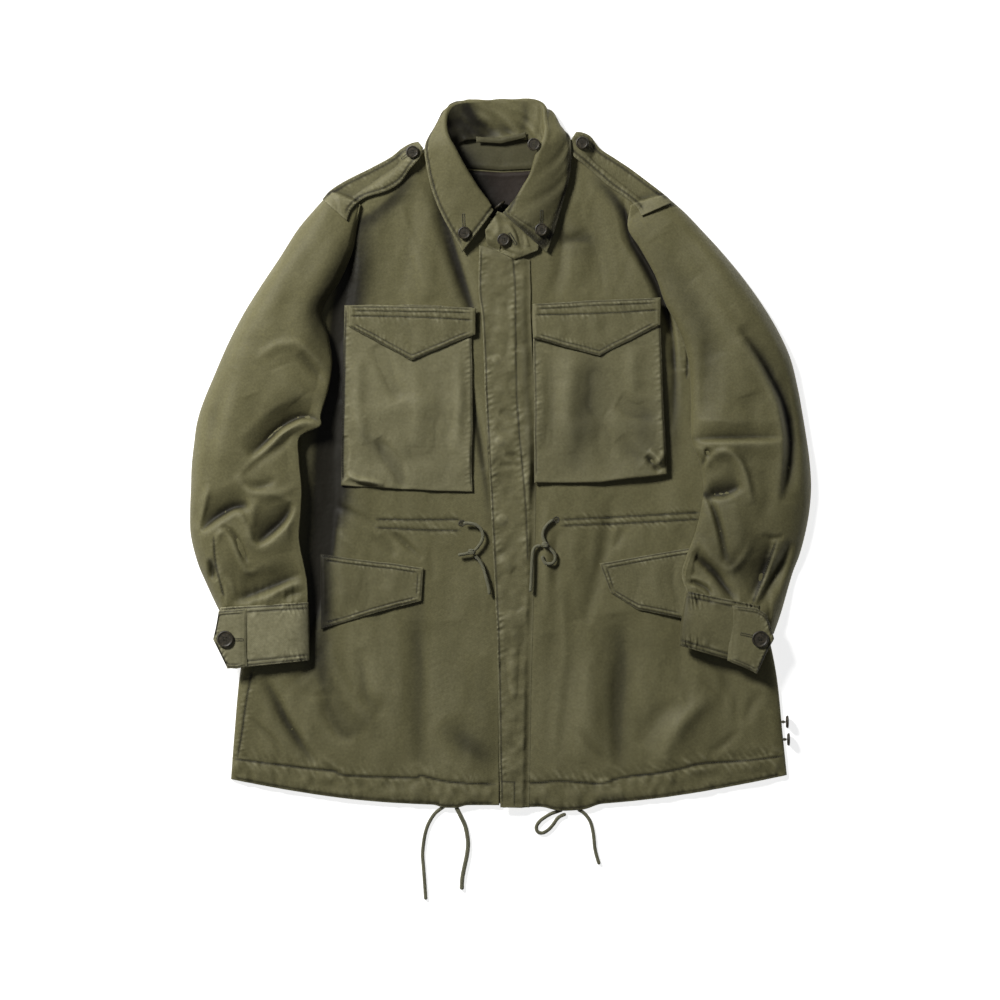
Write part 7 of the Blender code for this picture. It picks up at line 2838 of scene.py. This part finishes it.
@dataclass
class Cord:
    """A limp plaited cord with a free cut end and, where it has one, a knot."""

    node: str
    route: Places
    diameter: float
    knot: tuple[float, float, float] | None = None
    sides: int = 14
    spacing: float = 1.1

    def centres(self) -> Array:
        """Points of its middle line at an even spacing.

        Returns:
            Points along the cord.
        """
        dense = even(self.route, ROUTE_POINTS * len(self.route))
        length = run_along(dense[None], 1)[0][-1]
        return bent(dense[::ROUTE_STRIDE], np.linspace(0, 1, round(length / self.spacing)))

    def tube(self, name: str, centres: Array, radius: float) -> bpy.types.Mesh:
        """A plaited tube with rounded ends round a middle line.

        Args:
            name: Name of the piece.
            centres: Points along its middle.
            radius: Its radius.

        Returns:
            A closed mesh with caps.
        """
        run = run_along(centres[None], 1)[0]
        ahead = unit(np.gradient(centres, axis=0))
        aside = unit(np.cross(ahead, (0.0, 0.0, 1.0)))
        up = np.cross(aside, ahead)
        angles = np.linspace(0, 2 * math.pi, self.sides, endpoint=False)
        strands, twist, depth = BRAID
        turned = run[:, None] * twist / radius
        left, right = (np.sin(strands * angles[None] + way * turned) for way in (1, -1))
        braid = 1 + depth * np.maximum(left, right)
        ends = turned_down(np.minimum(run, run[-1] - run) + CUT_END, END_ROUNDING * radius)[:, None]
        size = radius * braid * np.maximum(ends, CUT_END)
        rings = (
            centres[:, None] + aside[:, None] * (np.cos(angles) * size)[..., None]
            + up[:, None] * (np.sin(angles) * size)[..., None]
        )
        rings[..., 2] = np.maximum(rings[..., 2], ABOVE_FLOOR)
        count = len(rings)
        index = np.arange(count * self.sides).reshape(count, self.sides)
        around = np.roll(index, -1, axis=1)
        sides = np.stack([index[:-1], around[:-1], around[1:], index[1:]], axis=-1)
        faces = [*sides.reshape(-1, 4).tolist(), index[0][::-1].tolist(), index[-1].tolist()]
        flat = np.dstack(np.broadcast_arrays(angles * radius, run[:, None])).reshape(-1, 2)
        return closed_mesh(name, rings, faces, flat)

    def wrap(self) -> bpy.types.Object:
        """The knot: three turns of the cord drawn tight round it.

        Returns:
            The made object.
        """
        x, y, z = self.knot
        turns = np.linspace(0, 2 * math.pi * KNOT_TURNS, KNOT_POINTS)
        reach = KNOT_REACH * self.diameter
        wide, tall = KNOT_ROUND
        sway, sway_pace, slant = KNOT_SWAY
        line = np.stack([
            x + reach * np.cos(turns) * wide + sway * np.sin(turns * sway_pace),
            y + np.linspace(-1, 1, KNOT_POINTS) * KNOT_LENGTH * self.diameter + slant * np.sin(turns),
            z + reach * tall * np.sin(turns) + KNOT_LIFT,
        ], axis=1)
        mesh = self.tube(self.node + "_knot", line, KNOT_STRAND * self.diameter)
        return show(self.node + "_knot", mesh, material_of(Look.CORD))

    def build(self) -> None:
        """Make the cord and declare its motion."""
        centres = self.centres()
        mesh = self.tube(self.node + "_cord", centres, self.diameter / 2)
        made = show(self.node + "_cord", mesh, material_of(Look.CORD), self.node)
        pieces = [self.wrap()] if self.knot else []


# ---------------------------------------------------------------- stage and assembly
@dataclass
class Studio:
    """Camera straight above, pale floor and soft light from the upper left."""

    height: float = 5.0
    lens: float = 150.0
    aim: tuple[float, float] = (-0.0012, -0.0552)
    floor_reach: float = 6.0

    def camera(self) -> None:
        """Set the camera that looks straight down, with the collar at the top."""
        data = bpy.data.cameras.new("overhead")
        data.lens = self.lens
        data.sensor_width = 36.0
        data.clip_end = 50.0
        made = bpy.data.objects.new("overhead", data)
        made.location = (*self.aim, self.height)
        bpy.context.scene.collection.objects.link(made)
        bpy.context.scene.camera = made

    def lamp(self, name: str, place: Any, size: float, power: float, colour: Any) -> None:
        """An area light that points at the middle of the jacket.

        Args:
            name: Its name.
            place: Where it hangs, in metres.
            size: Its diameter.
            power: Its power in watts.
            colour: Its colour.
        """
        data = bpy.data.lights.new(name, "AREA")
        data.shape = "DISK"
        data.size, data.energy, data.color = size, power, colour
        made = bpy.data.objects.new(name, data)
        made.location = place
        target = Vector((*self.aim, 0.0)) - Vector(place)
        made.rotation_euler = target.to_track_quat("-Z", "Y").to_euler()
        bpy.context.scene.collection.objects.link(made)

    def build(self) -> None:
        """Set up the camera, the floor and the lights."""
        self.camera()
        mesh = bpy.data.meshes.new("floor")
        reach = self.floor_reach
        corners = [(-reach, -reach, 0), (reach, -reach, 0), (reach, reach, 0), (-reach, reach, 0)]
        mesh.from_pydata(corners, [], [(0, 1, 2, 3)])
        floor = bpy.data.objects.new("floor", mesh)
        floor.data.materials.append(material_of(Look.FLOOR))
        bpy.context.scene.collection.objects.link(floor)
        self.lamp("key", (-1.75, 1.75, 2.0), 0.8, 104.0, (1.0, 0.99, 0.96))
        self.lamp("fill", (0.3, -0.5, 2.6), 2.4, 2.6, (0.97, 0.98, 1.0))
        world = bpy.data.worlds.new("studio")
        world.use_nodes = True
        world.node_tree.nodes["Background"].inputs["Color"].default_value = (0.9, 0.94, 1.0, 1.0)
        world.node_tree.nodes["Background"].inputs["Strength"].default_value = 0.05
        bpy.context.scene.world = world
        bpy.context.scene.view_settings.view_transform = "Standard"


def cords() -> list[Cord]:
    """The drawcords of the waist and the hem."""
    return [
        Cord("waist_cord_right", WAIST_CORD_RIGHT, CORD_DIAMETER, knot=(-35, -117.5, 15.2)),
        Cord("waist_tail_right", WAIST_TAIL_RIGHT, CORD_DIAMETER),
        Cord("waist_cord_left", WAIST_CORD_LEFT, CORD_DIAMETER, knot=(53, -109, 15.6)),
        Cord("waist_tail_left", WAIST_TAIL_LEFT, CORD_DIAMETER),
        Cord("hem_cord_right_long", HEM_CORD_RIGHT_LONG, HEM_CORD_DIAMETER),
        Cord("hem_cord_right_short", HEM_CORD_RIGHT_SHORT, THICK_CORD_DIAMETER),
        Cord("hem_cord_left_loop", HEM_CORD_LEFT_LOOP, HEM_CORD_DIAMETER),
        Cord("hem_cord_left_tail", HEM_CORD_LEFT_TAIL, HEM_CORD_DIAMETER),
    ]


def main() -> None:
    """Build the whole jacket, from the floor up."""
    logging.basicConfig(level=logging.INFO)
    Studio().build()
    shop = Shop(Pile(), Stitches())
    for cord in cords():
        cord.build()

    Back().build(shop)
    Trim("neck_facing", NECK_FACING_EDGES, Look.INSIDE, NECK_WALL, crown=0.3, step=2.0, unevenness=1.2,
         painted_shades=LINING_PAINTED_SHADE).build(shop)
    Trim("neck_lining", NECK_LINING_EDGES, Look.LINING, NECK_WALL, crown=0.6, step=2.0, unevenness=2.4,
         painted_shades=LINING_PAINTED_SHADE).build(shop)
    Front("right", FRONT_RIGHT_ROWS, 11).build(shop)
    Front("left", FRONT_LEFT_ROWS, 23).build(shop)
    Fly("fly", (), step=1.25, folds=FLY_FOLDS, stitched=("high",), insets=(2.6,), seed=31, pucker=1.5,
        waver=0.3, unevenness=2.4, reach=6.0, painted_shades=PLACKET_PAINTED_SHADE, seams=FLY_SEAMS, bosses=SNAPS, wall=1.1,
        rests_on=("front_right_cloth", "front_left_cloth")).build(shop)
    Trim("throat_tab", THROAT_TAB_EDGES, folds=THROAT_FOLDS, stitched=("end",), insets=(1.8,), seed=37,
         waver=1.6, unevenness=2.6, pucker=0.7, crown=0.4, wall=1.2, flush=THROAT_FLUSH,
         rests_on=("fly_cloth",)).build(shop)
    # the last number is painted light: each pocket painted paler, the one nearer the light more
    for side, edges, folds, seed, painted_light in (
        ("right", POCKET_RIGHT_EDGES, POCKET_RIGHT_FOLDS, 41, 0.25),
        ("left", POCKET_LEFT_EDGES, POCKET_LEFT_FOLDS, 43, 0.12),
    ):
        ChestPocket("chest_pocket_" + side, edges, folds=folds, seed=seed, stitched=("start", "end", "high"),
                    painted_shades=POCKET_PAINTED_SHADE[side], painted_light=painted_light, rests_on=(f"front_{side}_cloth",)).build(shop)
    for side, chest, lower, far_end in (
        ("right", CHEST_FLAP_RIGHT_EDGES, LOWER_FLAP_RIGHT_EDGES, "end"),
        ("left", CHEST_FLAP_LEFT_EDGES, LOWER_FLAP_LEFT_EDGES, "start"),
    ):
        welt = Seam(WELT_SEAMS[side], groove=0.9, groove_width=1.2, pucker=0.5)
        Trim("chest_flap_" + side, chest, folds=CHEST_FLAP_FOLDS, seed=47, stitched=("low", "high"),
             insets=FLAP_INSETS, seams=(welt,), unevenness=1.2,
             rests_on=(f"chest_pocket_{side}_cloth",)).build(shop)
        Trim("lower_flap_" + side, lower, folds=LOWER_FLAP_FOLDS, seed=53, stitched=("low", "high", far_end),
             insets=FLAP_INSETS, unevenness=1.2, painted_shades=LOWER_FLAP_PAINTED_SHADE,
             rests_on=(f"front_{side}_cloth",)).build(shop)
    sleeves = (
        Sleeve("right", SLEEVE_RIGHT_ROWS, RIGHT_SLEEVE_CREASES, RIGHT_SLEEVE_SWELLS, 61),
        Sleeve("left", SLEEVE_LEFT_ROWS, LEFT_SLEEVE_CREASES, LEFT_SLEEVE_SWELLS, 67),
    )
    # the last number is painted light: the cuff nearer the light painted paler, the other darker
    cuffs = Cuff("right", CUFF_RIGHT_ROWS, 71, 0.7), Cuff("left", CUFF_LEFT_ROWS, 73, -0.3)
    for sleeve, cuff in zip(sleeves, cuffs):
        sleeve.under(shop)
        cuff.rest(shop)
        sleeve.upper(shop, cuff.sleeve_end())
        cuff.build(shop)
    # the right tab is painted paler as painted light, like its cuff
    for side, edges in (("right", TAB_RIGHT_EDGES), ("left", TAB_LEFT_EDGES)):
        Trim("cuff_tab_" + side, edges, stitched=("low", "high", "end"), insets=(1.8, 5.0), seed=79,
             level=True, wall=0.9, crown=0.5, pucker=0.6, unevenness=1.2, sunk=2.0,
             painted_light=0.6 * (side == "right"), rests_on=(f"cuff_{side}_cloth",)).build(shop)
    Strap("right", STRAP_RIGHT_ROWS, 83).build(shop)
    Strap("left", STRAP_LEFT_ROWS, 89).build(shop)
    Collar().build(shop)
    Trim("hanger_loop", HANGER_LOOP_EDGES, Look.INSIDE, NECK_WALL, crown=0.4, step=1.2,
         rests_on=("collar_cloth",)).build(shop)
    Buttons().build(shop)
    for x, y, heading, length in BUTTONHOLES:
        shop.stitches.buttonhole((x, y), heading, length, shop.pile)
    shop.stitches.build("jacket_thread")


if __name__ == "__main__":
    main()
